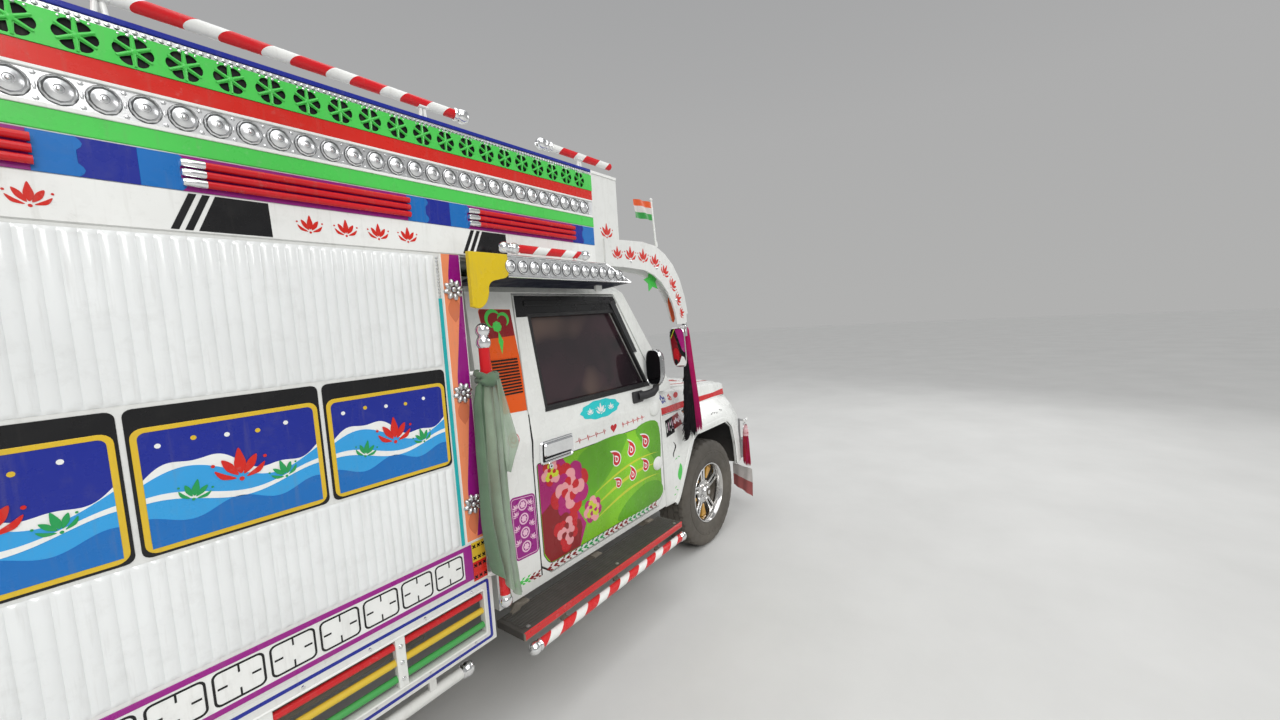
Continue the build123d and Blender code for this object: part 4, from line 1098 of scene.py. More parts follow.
# ------------------------------------------------------------------ arches with star, flame and flag pole
def arches():
    place = on_side(893.0)
    m = Mesh()                       # 0 red, 1 green, 2 orange, 3 white, 4 chrome
    for x, z, r, t in ((905, 1885, 34, 0), (1010, 1888, 40, 0.0), (1120, 1886, 40, -0.05), (1228, 1868, 40, -0.25), (1325, 1818, 38, -0.6), (1402, 1745, 38, -0.95), (1452, 1660, 34, -1.2), (1482, 1580, 28, -1.4)):
        leaf(m, place, x, z, r, t)
    inn = on_side(848.0)
    star = []
    for k in range(10):
        a = radians(90 + 36 * k + 12)
        r = (62, 31)[k % 2]
        star.append((1246 + r * cos(a) * 1.18, 1762 + r * sin(a)))
    m.prism(star, inn, 0, 4, 1, 0.8)
    m.prism(spline([(1434, 1700), (1404, 1650), (1418, 1592), (1446, 1526), (1478, 1570), (1480, 1620), (1456, 1652)], 5, True), inn, 0, 4, 2, 0.8)
    # pole socket and finials
    m.tube([(1258, -886, 1944), (1256, -886, 1972)], 9, 14, 3)
    m.tube([(1257, -886, 1940), (1232, -886, 2190)], 6.2, 14, 3)
    m.ball((1232, -886, 2192), 9, 14, 3)
    m.tube([(1524, -888, 1522), (1524, -888, 1440)], 7.6, 14, 4)
    for x, z in ((1010, 1850), (1240, 1828), (1430, 1655)):
        m.tube([(x, -842, z), (x, -892, z)], 11, 14, 3)
        domes(m, place, [(x, z)], 9, 5, 12, 4)
    both_sides("arch_ornament", m, [band_red, bright_green, orange, flat_white, ch], slot="band_paint")


arches()


# ------------------------------------------------------------------ painted load body
flute_white = paint("flute_white", (0.80, 0.82, 0.82), 0.16, dust=0.2, coat=0.6)
# painted shadow: darker salmon for the lens under each rosette
salmon_painted_shadow = paint("salmon_painted_shadow", (0.66, 0.19, 0.09), 0.3, dust=0.08)
sky_blue = paint("sky_blue", (0.035, 0.34, 0.72), 0.28, dust=0.15)
gold_yellow = paint("gold_yellow", (0.70, 0.47, 0.03), 0.28, dust=0.15)


cast_silver = chrome("cast_silver", (0.66, 0.67, 0.68), 0.34, 0.12, 0.05)


def rosette(m, place, a, b, r=37.0, mat=0, petals=8, h0=3.0):
    """Pressed flower: eight rounded petals round a domed middle."""
    turned(m, place, a, b, [(r * 0.72, 0), (r * 0.62, 5), (r * 0.36, 7)], 24, mat, h0=h0)
    for k in range(petals):
        q = 2 * pi * k / petals + 0.2
        cx, cz = a + r * 0.66 * cos(q), b + r * 0.66 * sin(q)
        v, f = [], []
        n, rings = 10, 3
        for i in range(rings):
            t = i / rings * pi / 2
            for j in range(n):
                w = 2 * pi * j / n
                u, s = r * 0.36 * cos(t) * cos(w), r * 0.245 * cos(t) * sin(w)
                v.append(place(cx + u * cos(q) - s * sin(q), cz + u * sin(q) + s * cos(q), h0 + 2 + 9.5 * sin(t)))
        v.append(place(cx, cz, h0 + 11.5))
        for i in range(rings - 1):
            for j in range(n):
                f.append((i * n + j, i * n + (j + 1) % n, (i + 1) * n + (j + 1) % n, (i + 1) * n + j))
        for j in range(n):
            f.append(((rings - 1) * n + j, (rings - 1) * n + (j + 1) % n, len(v) - 1))
        m.add(v, f, mat)
    turned(m, place, a, b, [(r * 0.27, 5), (r * 0.25, 10), (r * 0.16, 13.5), (0, 15)], 16, mat, h0=h0)
    turned(m, place, a, b, [(r * 0.1, 14), (r * 0.07, 17), (0, 18)], 10, mat, h0=h0)


def wave_strip(m, place, x0, x1, tops, bottom=806.0, top=1813.0):
    """Upright strip with white edges: salmon and magenta part along a curve that starts again at each rosette."""
    w = x1 - x0
    strip(m, place, x0, x1, bottom, top, 2.0, 0, 0.5)
    a, b = x0 + 4, x1 - 4
    strip(m, place, a, b, bottom + 4, top, 2.6, 1, 0, 2.0)
    marks = [top + 190] + list(tops) + [bottom - 150]
    for i in range(len(marks) - 1):
        hi, lo = marks[i], marks[i + 1]
        n = 26
        left, right = [], []
        for k in range(n + 1):
            t = k / n
            z = hi + (lo - hi) * t
            if z > top or z < bottom + 4:
                continue
            s = min(1.0, t / 0.86)
            x = b - (b - a) * (0.08 + 0.62 * (0.5 - 0.5 * cos(pi * s)) + 0.06 * sin(2 * pi * s))
            left.append((x, z))
            right.append((b, z))
        if len(left) > 2:
            m.prism(right + left[::-1], place, 2.6, 3.3, 2, 0, back=False)
        # painted shadow: a darker salmon lens below each rosette
        if i:
            lens = [(a + (b - a) * (0.50 + 0.36 * sin(pi * q) * s), hi - 20 - 92 * q) for s, qs in ((1, [j / 10 for j in range(11)]), (-1, [1 - j / 10 for j in range(11)])) for q in qs]
            lens = [p for j, p in enumerate(lens) if j == 0 or (abs(p[0] - lens[j - 1][0]) + abs(p[1] - lens[j - 1][1])) > 0.5]
            m.prism(lens[:-1], place, 2.6, 3.1, 3, 0, back=False)


def flutes(m, place, x0, x1, z0, z1, pitch=27.0, rise=5.0, mat=0):
    """Ribbed sheet with rounded rib ends."""
    n = max(1, int((x1 - x0) / pitch))
    p = (x1 - x0) / n
    rows = []
    for b, s in ((z0, 0), (z0 + 4, 0.6), (z0 + 12, 1), (z1 - 12, 1), (z1 - 4, 0.6), (z1, 0)):
        row = []
        for i in range(n):
            for k in range(7):
                t = k / 7
                row.append(place(x0 + (i + t) * p, b, 0.6 + rise * s * sin(pi * t) ** 0.8))
        row.append(place(x1, b, 0.6))
        rows.append(row)
    m.grid(rows, mat)


def painted_panel(m, place, x0, x1, z0, z1):
    """Framed picture field with hills, water and flowers; 0 black, 1 gold, 2 navy, 3 white, 4 blue, 5 mid blue, 6 red, 7 green."""
    m.prism(rounded([(x0, z0), (x1, z0), (x1, z1), (x0, z1)], 16, 4), place, 0, 2.0, 0, 0.5, back=False)
    top = z1 - 44
    fr = rounded([(x0 + 6, z0 + 6), (x1 - 6, z0 + 6), (x1 - 6, top), (x0 + 6, top)], 22, 5)
    inn = rounded([(x0 + 17, z0 + 17), (x1 - 17, z0 + 17), (x1 - 17, top - 11), (x0 + 17, top - 11)], 14, 5)
    m.prism(fr, place, 2, 3.6, 1, 0.6, [inn], back=False)
    m.prism(inn, place, 2, 2.5, 2, 0, back=False)
    a, b, c, d = x0 + 17, x1 - 17, z0 + 17, top - 11
    W, H = b - a, d - c

    def layer(mat, h, fn, lo=None, n=60):
        pts = [(a + W * i / n, c + H * fn(i / n)) for i in range(n + 1)]
        low = [(a + W * i / n, c + H * (lo(i / n) if lo else 0.0)) for i in range(n + 1)]
        m.prism(low + pts[::-1], place, h - 0.5, h, mat, 0, back=False)
    cyc = max(1, round(W / 380))
    layer(3, 3.0, lambda t: 0.60 + 0.12 * sin(2 * pi * t * cyc) + 0.03 * sin(6 * pi * t * cyc))
    layer(4, 3.5, lambda t: 0.53 + 0.12 * sin(2 * pi * t * cyc + 0.3))
    layer(3, 4.0, lambda t: 0.38 + 0.07 * sin(2 * pi * t * cyc + 1.2), lambda t: 0.33 + 0.07 * sin(2 * pi * t * cyc + 1.4))
    layer(5, 4.0, lambda t: 0.22 + 0.05 * sin(4 * pi * t * cyc + 2.0))
    n = max(1, round(W / 330))
    for i in range(n):
        x = a + W * (i + 0.5) / n
        leaf(Shift(m, 6), lambda p, q, h: place(p, q, h + 4.0), x, c + H * 0.56, 44, 0)
        for s in (-1, 1):
            leaf(Shift(m, 7), lambda p, q, h: place(p, q, h + 4.0), x + s * 86, c + H * 0.42, 26, s * 0.25)
    for i in range(int(W / 60)):
        m.prism(circle(a + 30 + 60 * i, c + H * 0.87 + 5 * sin(i * 1.7), 5.5, 10), place, 2.5, 3.2, (3, 1)[i % 2], 0, back=False)


class Shift:
    """Passes shapes on with another material number."""

    def __init__(self, mesh, mat):
        self.mesh, self.mat = mesh, mat

    def prism(self, outline, place, h0, h1, mat=0, c=0.0, holes=(), **kw):
        self.mesh.prism(outline, place, h0, h1, self.mat, c, holes, **kw)


def purple_strip(m, place, x0, x1, z0, z1, fy=14.0):
    """0 purple, 1 white, 2 black, 3 red, 4 green."""
    m.prism([(x0, z0), (x1, z0), (x1, z1), (x0, z1)], place, 0, 3.4, 0, 0.8, [[(x0 + 16, z0 + fy), (x0 + 16, z1 - fy), (x1 - 32, z1 - fy), (x1 - 32, z0 + fy)]], back=False)
    a, b, c, d = x0 + 16, x1 - 32, z0 + fy, z1 - fy
    m.prism([(a, c), (b, c), (b, d), (a, d)], place, 0, 1.2, 1, 0, back=False)
    n = max(1, int((b - a) / 110))
    hw = min(52.0, (b - a) / n / 2 - 5)
    for i in range(n):
        x = b - hw - 5 - (b - a - 2 * hw - 10) * i / max(1, n - 1)
        z = (c + d) / 2
        r = (d - c) / 2 - 6
        sq = rounded([(x - hw, z - r), (x + hw, z - r), (x + hw, z + r), (x - hw, z + r)], 14, 4)
        sq2 = rounded([(x - hw + 5, z - r + 5), (x + hw - 5, z - r + 5), (x + hw - 5, z + r - 5), (x - hw + 5, z + r - 5)], 10, 4)
        m.prism(sq, place, 1.2, 2.0, 2, 0, [sq2], back=False)
        for s in (-1, 1):
            m.prism([(x + s * 24, z - 2.5), (x + s * (hw - 9), z - 2.5), (x + s * (hw - 9), z + 2.5), (x + s * 24, z + 2.5)][::s], place, 1.2, 1.8, 2, 0, back=False)
        for s in (-1, 1):
            m.prism([(x - 2, z + s * 20), (x + 2, z + s * 20), (x + 2, z + s * (r - 5)), (x - 2, z + s * (r - 5))][::s], place, 1.2, 1.8, 2, 0, back=False)


def crosses(m, place, x0, x1, z0, z1):
    """Yellow block over a red one with rows of black crosses; 0 yellow, 1 red, 2 black, 3 white."""
    zm = (z0 + z1) / 2
    strip(m, place, x0, x1, zm, z1, 3, 0, 0.5)
    strip(m, place, x0, x1, z0, zm, 3, 1, 0.5)
    n = max(2, int((x1 - x0) / 18))
    for i in range(n):
        for j, z in enumerate((z1 - 14, zm + 14, zm - 14, z0 + 14)):
            x = x0 + (x1 - x0) * (i + (0.5 if j % 2 else 0.5)) / n
            for q in (pi / 4, -pi / 4):
                p = [(x + 8 * cos(q) + s * 2.2 * -sin(q), z + 8 * sin(q) + s * 2.2 * cos(q)) for s in (-1, 1)]
                o = [(x - 8 * cos(q) + s * 2.2 * -sin(q), z - 8 * sin(q) + s * 2.2 * cos(q)) for s in (1, -1)]
                m.prism(p + o, place, 3, 3.8, 2, 0, back=False)


def bays():
    place = FACE
    m = Mesh()
    for x0, x1, tops in ((-38.0, 36.5, (1693, 1337, 939)), (-1278.0, -1202.0, (1693, 1337, 939)), (-2499.0, -2424.0, (1693, 1337, 939))):
        wave_strip(m, place, x0, x1, tops)
    # material 3 is the painted shadow under the rosettes
    both_sides("wave_strips", m, [flat_white, salmon, magenta, salmon_painted_shadow], slot="band_paint")
    r = Mesh()
    for xc in (0.0, -1240.0, -2461.0):
        for z in (1693, 1337, 939):
            rosette(r, place, xc, z, 37)
    # bead chains beside the strips
    for x0, s in ((-50.0, 0), (-1190.0, 0), (-1290.0, 0), (-2412.0, 0)):
        domes(r, place, [(x0, 1672 + 11.5 * i) for i in range(12)], 5.0, 5.5, 8, 0)
    both_sides("rosettes", r, cast_silver, slot="chrome")
    t = Mesh()
    for x0 in (-57.0, -1197.0, -1296.0, -2420.0):
        strip(t, place, x0 + 1, x0 + 13, 806, 1664, 3.5, 0, 1.0)
    both_sides("teal_lines", t, teal, slot="band_paint")
    f, p, q = Mesh(), Mesh(), Mesh()
    for x0, x1 in ((-1186.0, -62.0), (-2404.0, -1300.0)):
        flutes(f, place, x0, x1, 1438, 1806, 27)
        flutes(f, place, x0, x1, 808, 1090, 27)
        n = 3
        w = (x1 - x0 + 10) / n
        for i in range(n):
            painted_panel(p, place, x0 + i * w, x0 + (i + 1) * w - 10, 1098, 1428)
        purple_strip(q, place, x0 - (18 if x0 > -1200 else 30), x1 + 40 if x1 > -100 else x1 + 30, 671, 797)
    both_sides("fluted_panels", f, flute_white, slot="band_paint")
    both_sides("picture_panels", p, [sign_black, gold_yellow, navy, flat_white, sky_blue, mid_blue, band_red, deep_green], slot="band_paint")
    both_sides("purple_strips", q, [purple, flat_white, sign_black, band_red, deep_green], slot="band_paint")
    c = Mesh()
    crosses(c, place, -21, 34, 660, 800)
    crosses(c, place, -1262, -1214, 660, 800)
    crosses(c, place, -2499, -2440, 660, 800)
    both_sides("cross_blocks", c, [gold_yellow, band_red, sign_black], slot="band_paint")


bays()


# ------------------------------------------------------------------ surfaces that carry the prints and skins
from mathutils.bvhtree import BVHTree


def surface(*names, side=-1):
    """Place function that lays (x, z) on the outermost skin of CAD nodes; h stands out from it."""
    v, f = [], []
    for n in names:
        me = NODES[n].data
        k = len(v)
        v += [p.co * 1000 for p in me.vertices]
        f += [[i + k for i in q.vertices] for q in me.polygons]
    tree = BVHTree.FromPolygons(v, f)

    def place(a, b, h):
        hit = tree.ray_cast(Vector((a, side * 1200, b)), Vector((0, -side, 0)))
        y = hit[0].y if hit[0] is not None else side * 800
        return (a, y + side * h, b)
    return place


def span(outline, z):
    """Left and right ends of a convex outline at height z."""
    xs = []
    n = len(outline)
    for i in range(n):
        (ax, az), (bx, bz) = outline[i], outline[(i + 1) % n]
        if (az - z) * (bz - z) <= 0 and az != bz:
            xs.append(ax + (bx - ax) * (z - az) / (bz - az))
    return (min(xs), max(xs)) if xs else None


def patch(m, outline, place, h, mat=0, step=20.0, levels=(), edge=0.0):
    """Thin sheet over a convex outline that follows the surface below it."""
    z0, z1 = min(b for _, b in outline), max(b for _, b in outline)
    n = max(1, int((z1 - z0) / step))
    zs = sorted(set([z0 + 0.01 + (z1 - z0 - 0.02) * i / n for i in range(n + 1)] + [b for _, b in outline if z0 + 0.5 < b < z1 - 0.5] +
                    [q for q in levels if z0 + 0.5 < q < z1 - 0.5]))
    w = max(b[1] - b[0] for b in [span(outline, z) for z in zs])
    c = max(1, int(w / step))
    rows = []
    for z in zs:
        a, b = span(outline, z)
        rows.append([place(a, z, edge)] + [place(a + (b - a) * i / c, z, h) for i in range(c + 1)] + [place(b, z, edge)])
    first = [(p[0], q[1], p[2]) for p, q in zip(rows[0], [place(r[0], r[2], edge) for r in rows[0]])]
    last = [(p[0], q[1], p[2]) for p, q in zip(rows[-1], [place(r[0], r[2], edge) for r in rows[-1]])]
    m.grid([first] + rows + [last], mat, flip=place(0, 0, 1)[1] > place(0, 0, 0)[1])
    return m


def crease(z):
    """How far the sides stand out from the flat below the windows."""
    t = [(400, 1.2), (962, 1.2), (974, 1.4), (986, 2.2), (1060, 8.6), (1068, 9.0), (1140, 1.5), (1178, -2.5), (1300, -12.7)]
    if z <= t[0][0]:
        return t[0][1]
    for (a, p), (b, q) in zip(t, t[1:]):
        if z <= b:
            return p + (q - p) * (z - a) / (b - a)
    return t[-1][1]


LEVELS = (930, 955, 962, 970, 974, 978, 986, 1000, 1030, 1050, 1060, 1064, 1068, 1072, 1080, 1110, 1140, 1160)


def lower(a, b, h):
    return (a, -(800 + crease(b) + h), b)


def upper(a, b, h):
    k = 47.0 / 560.0
    return (a, -(800 - k * (b - 1140) + h), b + h * k)


def sides(a, b, h):
    return lower(a, b, h) if b <= 1178 else upper(a, b, h)


def skin(m, xl, xr, z0, z1, mat=0):
    zs = sorted(set([z0 + (z1 - z0) * i / 24 for i in range(25)] + [q for q in LEVELS if z0 < q < z1]))
    rows = []
    for z in zs:
        a, b = xl(z), xr(z)
        hh = crease(z)
        base = min(0.0, -(z - 1140) * 47 / 560.0)
        xs = [a, a, a + 2.5, a + 6] + [a + (b - a) * i / 8 for i in range(1, 8)] + [b - 6, b - 2.5, b, b]
        ks = [None, 0.55, 0.9, 1.0] + [1.0] * 7 + [1.0, 0.9, 0.55, None]
        rows.append([(x, -(800 + base + ((hh - base) * k if k else -1.5)), z) for x, k in zip(xs, ks)])
    lo = [(x, -(800 - 1.5), zs[0] - 0.3) for x, _, _ in rows[0]]
    m.grid([lo] + rows, mat, flip=True)
    return m


rubber_seal = plastic("seal_rubber", (0.010, 0.010, 0.011), 0.5, 0.2, dust=0.08, scale=300)
smoked = paint("smoked", (0.018, 0.019, 0.021), 0.07, dust=0.05, coat=0.8, grime=0.01)
turquoise = paint("turquoise", (0.02, 0.58, 0.60), 0.3, dust=0.08)
print_green = paint("print_green", (0.20, 0.52, 0.010), 0.22, dust=0.06, low=1.1, vary=0.25)
print_leaf = paint("print_leaf", (0.11, 0.38, 0.008), 0.22, dust=0.06, vary=0.2)
print_yellow = paint("print_yellow", (0.55, 0.62, 0.03), 0.25, dust=0.15)
print_red = paint("print_red", (0.56, 0.010, 0.018), 0.22, dust=0.05, vary=0.2)
print_pink = paint("print_pink", (0.42, 0.008, 0.16), 0.22, dust=0.05, vary=0.2)
print_blush = paint("print_blush", (0.80, 0.34, 0.36), 0.25, dust=0.12, vary=0.12)
bright_white = paint("print_white", (0.86, 0.86, 0.84), 0.28, dust=0.15)


def flower(m, place, a, b, r, mats, petals=7, layers=3, h=1.2, turn=0.0):
    """Layered open flower seen from the front."""
    for q in range(layers):
        rr = r * (1 - 0.27 * q)
        for k in range(petals):
            w = 2 * pi * (k + 0.5 * q) / petals + turn
            c, s = cos(w), sin(w)
            pts = []
            for u, v in [(0.08, 0), (0.38, 0.24), (0.72, 0.34), (0.94, 0.22), (1.0, 0.0), (0.94, -0.22), (0.72, -0.34), (0.38, -0.24)]:
                pts.append((a + rr * (u * c - v * s), b + rr * (u * s + v * c)))
            m.prism(spline(pts, 3, True), place, h, h + 0.25 + 0.3 * q + 0.04 * k, mats[(q + k % 2) % len(mats)], 0, back=False)
    m.prism(circle(a, b, r * 0.13, 14), place, h, h + 0.3 * layers + 0.5, mats[-1], 0, back=False)


def clip_rect(pts, x0, x1, z0, z1):
    return [(min(max(a, x0), x1), min(max(b, z0), z1)) for a, b in pts]


def leaf_link(m, place, x, z, mat):
    """One diamond of a running line, with a leaf above and below."""
    m.prism([(x - 18, z), (x - 2, z + 8), (x + 15, z), (x - 2, z - 8)], place, 0, 0.5, mat, 0, back=False)
    for sgn in (-1, 1):
        m.prism([(x + 2, z + sgn * 6), (x + 12, z + sgn * 7), (x + 22, z + sgn * 15), (x + 8, z + sgn * 15)][::sgn], place, 0, 0.5, mat, 0, back=False)


def doors():
    s = Mesh()
    skin(s, lambda z: 360.0 if z >= 520 else 360 + (520 - z) * 1.2, lambda z: min(1325.0 if z >= 540 else 1325 - (540 - z), 1325 - (z - 1150) * 0.575), 473, 1184)
    both_sides("door_skin", s, white, ("door_right", "door_left"), slot="white_paint")
    d = Mesh()       # 0 green, 1 leaf, 2 yellow, 3 red, 4 pink, 5 blush, 6 white, 7 turquoise, 8 dark red, 9 deep green, 10 black
    P = lambda a, b, h: lower(a, b, h)
    # large painted field over the lower half
    out = rounded([(404, 505), (373, 560), (373, 966), (1300, 962), (1303, 505)], [90, 40, 14, 26, 46], 6)
    d.prism(out, P, 0, 0.7, 10, 0, back=False)
    d.prism(inset(out, 3.0) if area2(out) > 0 else inset(out[::-1], 3.0), P, 0.7, 1.0, 0, 0, back=False)
    # swathes of darker and lighter green
    for pts, mt in (([(720, 960), (1000, 952), (860, 800), (640, 690), (560, 760), (600, 900)], 1), ([(1292, 956), (1294, 700), (1200, 800), (1080, 956)], 1),
                    ([(900, 512), (1270, 512), (1292, 600), (1150, 640), (960, 590)], 1)):
        d.prism(spline(pts, 6, True), P, 1.0, 1.15, mt, 0, back=False)
    for z, w in ((650, 9), (585, 7), (712, 6)):
        line = [(700 + 590 * t, z + 60 * sin(2.4 * t) + 30 * t) for t in [i / 20 for i in range(21)]]
        pts = [(x, y - w * sin(pi * min(1, i / 20 + 0.02))) for i, (x, y) in enumerate(line)] + [(x, y + w * sin(pi * min(1, i / 20 + 0.02))) for i, (x, y) in list(enumerate(line))[::-1]]
        d.prism(pts[1:-1], P, 1.15, 1.35, 2, 0, back=False)
    # magenta and red field at the rear with large flowers
    rear = [(378, 962), (378, 568), (394, 539), (412, 513), (440, 510), (600, 509), (650, 600), (590, 700), (640, 800), (560, 900), (520, 963)]
    d.prism(rear, P, 1.0, 1.3, 4, 0, back=False)
    d.prism([(378, 740), (378, 568), (394, 539), (412, 513), (440, 510), (596, 510), (622, 596), (560, 690), (470, 790)], P, 1.3, 1.5, 8, 0, back=False)
    flower(d, lambda a, b, h: P(min(max(a, 379), 1300), min(max(b, 512), 958), h), 560, 800, 128, [3, 4, 5], 8, 3, 1.4, 0.3)
    flower(d, lambda a, b, h: P(min(max(a, 379), 1300), min(max(b, 512), 958), h), 525, 610, 92, [8, 3, 5], 7, 3, 1.9, 0.0)
    flower(d, lambda a, b, h: P(min(max(a, 379), 1300), min(max(b, 512), 958), h), 700, 650, 66, [4, 5, 2], 7, 3, 1.5, 0.6)
    flower(d, lambda a, b, h: P(min(max(a, 379), 1300), min(max(b, 512), 958), h), 452, 905, 60, [3, 5, 2], 6, 3, 1.6, 0.2)
    # red and white paisleys in two rows on the green
    for k, (x, z, r, t) in enumerate(((900, 850, 62, 0.5), (1030, 868, 62, 0.2), (1160, 880, 62, 0.5), (1030, 730, 54, 0.1), (1150, 745, 54, 0.4), (905, 720, 44, 0.6))):
        for q, mt, h in ((1.0, 6, 1.4), (0.84, 3, 1.7), (0.42, 6, 2.0), (0.24, 3, 2.2)):
            pts = []
            for u, v in [(0.0, -0.75), (0.45, -0.55), (0.62, -0.1), (0.45, 0.35), (0.12, 0.72), (-0.28, 0.98), (-0.12, 0.62), (-0.3, 0.2), (-0.55, -0.15), (-0.42, -0.58)]:
                u, v = u * q, (v + 0.15) * q - 0.15
                pts.append((x + r * (u * cos(t) - v * sin(t)), z + r * (u * sin(t) + v * cos(t))))
            d.prism(spline(pts, 4, True), P, h - 0.3, h, mt, 0, back=False)
    # blank turquoise plaque
    cl = []
    for k in range(40):
        a = 2 * pi * k / 40
        w = 1 + 0.045 * cos(10 * a)
        cl.append((807 + 143 * w * cos(a), 1126 + 45 * w * sin(a)))
    d.prism(cl, P, 0, 0.8, 7, 0, back=False)
    leaf(Shift(d, 6), lambda a, b, h: P(a, b, h + 0.7), 807, 1127, 30, 0)
    for sgn in (-1, 1):
        leaf(Shift(d, 6), lambda a, b, h: P(a, b, h + 0.7), 807 + sgn * 78, 1126, 19, 0)
    # pulse line with a heart
    pulse = [(615, 1003)]
    for x in (640, 700, 760, 820, 970, 1010, 1060, 1100, 1140):
        q = 1003 + (x - 615) * 0.018
        pulse += [(x - 6, q), (x - 2, q + 15), (x + 3, q - 14), (x + 7, q + 8), (x + 10, q)]
    pulse.append((1167, 1013))
    for (ax, az), (bx, bz) in zip(pulse, pulse[1:]):
        if 862 < (ax + bx) / 2 < 928:
            continue
        l = math.hypot(bx - ax, bz - az)
        nx, nz = -(bz - az) / l * 1.4, (bx - ax) / l * 1.4
        d.prism([(ax + nx, az + nz), (bx + nx, bz + nz), (bx - nx, bz - nz), (ax - nx, az - nz)], P, 0, 0.5, 3, 0, back=False)
    heart = []
    for k in range(30):
        t = 2 * pi * k / 30
        heart.append((895 + 1.55 * 16 * sin(t) ** 3, 1010 + 1.55 * (13 * cos(t) - 5 * cos(2 * t) - 2 * cos(3 * t) - cos(4 * t))))
    d.prism(heart, P, 0, 0.6, 3, 0, back=False)
    # running leaf line along the sill
    for k in range(22):
        leaf_link(d, P, 402 + 39 * k, 489, 9 if (k // 5) % 2 else 8)
    both_sides("door_prints", d, [print_green, print_leaf, print_yellow, print_red, print_pink, print_blush, bright_white, turquoise, dark_red, deep_green, sign_black],
               ("door_right", "door_left"), slot="band_paint")
    # handle: pressed surround, dished recess in near-black as painted shade, flap and lock
    h = Mesh()
    o = rounded([(392, 952), (591, 952), (591, 1056), (392, 1056)], 16, 6)
    i1 = rounded([(404, 964), (580, 964), (580, 1045), (404, 1045)], 10, 6)
    flat = lambda a, b, k: (a, -(807 + (b - 1010) * 0.06 + k), b)
    h.prism(o, flat, -8, 9, 0, 4, [i1])
    h.prism(i1, flat, -1, 0.5, 1, 0, back=False)
    flap = rounded([(409, 984), (588, 980), (588, 1046), (409, 1046)], 16, 6)
    h.prism(flap, flat, 3, 15, 0, 6)
    h.tube([flat(412, 973, 8), flat(574, 973, 8)], 4.0, 10, 0)
    turned(h, P, 452, 936, [(13, 0), (13, 5), (11, 8), (5, 8.5), (4.5, 6), (0, 6)], 20, 0)
    h.prism([(451, 932), (453, 932), (453, 940), (451, 940)], P, 6, 8.8, 1, 0)
    both_sides("door_handle", h, [ch, recess], ("door_right", "door_left"), slot="chrome")
    # bulged covers over the hinges
    c = Mesh()
    for x, z, rx, rz in ((1262, 1040, 50, 42), (1274, 717, 48, 40)):
        c.ball((x, -(800 + crease(z) - 2), z), 1.0, 28, 0, (rx, 17, rz))
    both_sides("hinge_covers", c, white, ("door_right", "door_left"), slot="white_paint")
    # black window surround, seal, sill strip
    w = Mesh()
    top = [(362, 1594), (1012, 1600), (1036, 1650), (1016, 1685), (362, 1685)]
    w.prism(top, upper, 0, 1.2, 0, 0.4)
    oo = [(452, 1190), (1234, 1190), (1008, 1616), (421, 1610)]
    ii = [(467, 1203), (1211, 1203), (996, 1598), (439, 1592)]
    w.prism([(400, 1602), (400, 1480), (446, 1190), (454, 1190), (426, 1602)], upper, -12, 0.8, 3, 0.5)
    w.prism(oo, upper, -16, 3, 1, 2, [ii])
    w.prism([(450, 1178), (1240, 1178), (1236, 1192), (452, 1192)], upper, 0, 6, 1, 2)
    # weather shield along the front edge
    sh = [(1124, 1378), (1158, 1378), (1012, 1666), (980, 1648)]
    w.prism(sh, upper, 2, 9, 2, 2.5)
    w.prism([(984, 1646), (1006, 1664), (408, 1664), (408, 1642)], upper, 1, 6, 0, 1.5)
    both_sides("window_frame", w, [sign_black, rubber_seal, smoked, white], ("door_right", "door_left"), slot="rubber")


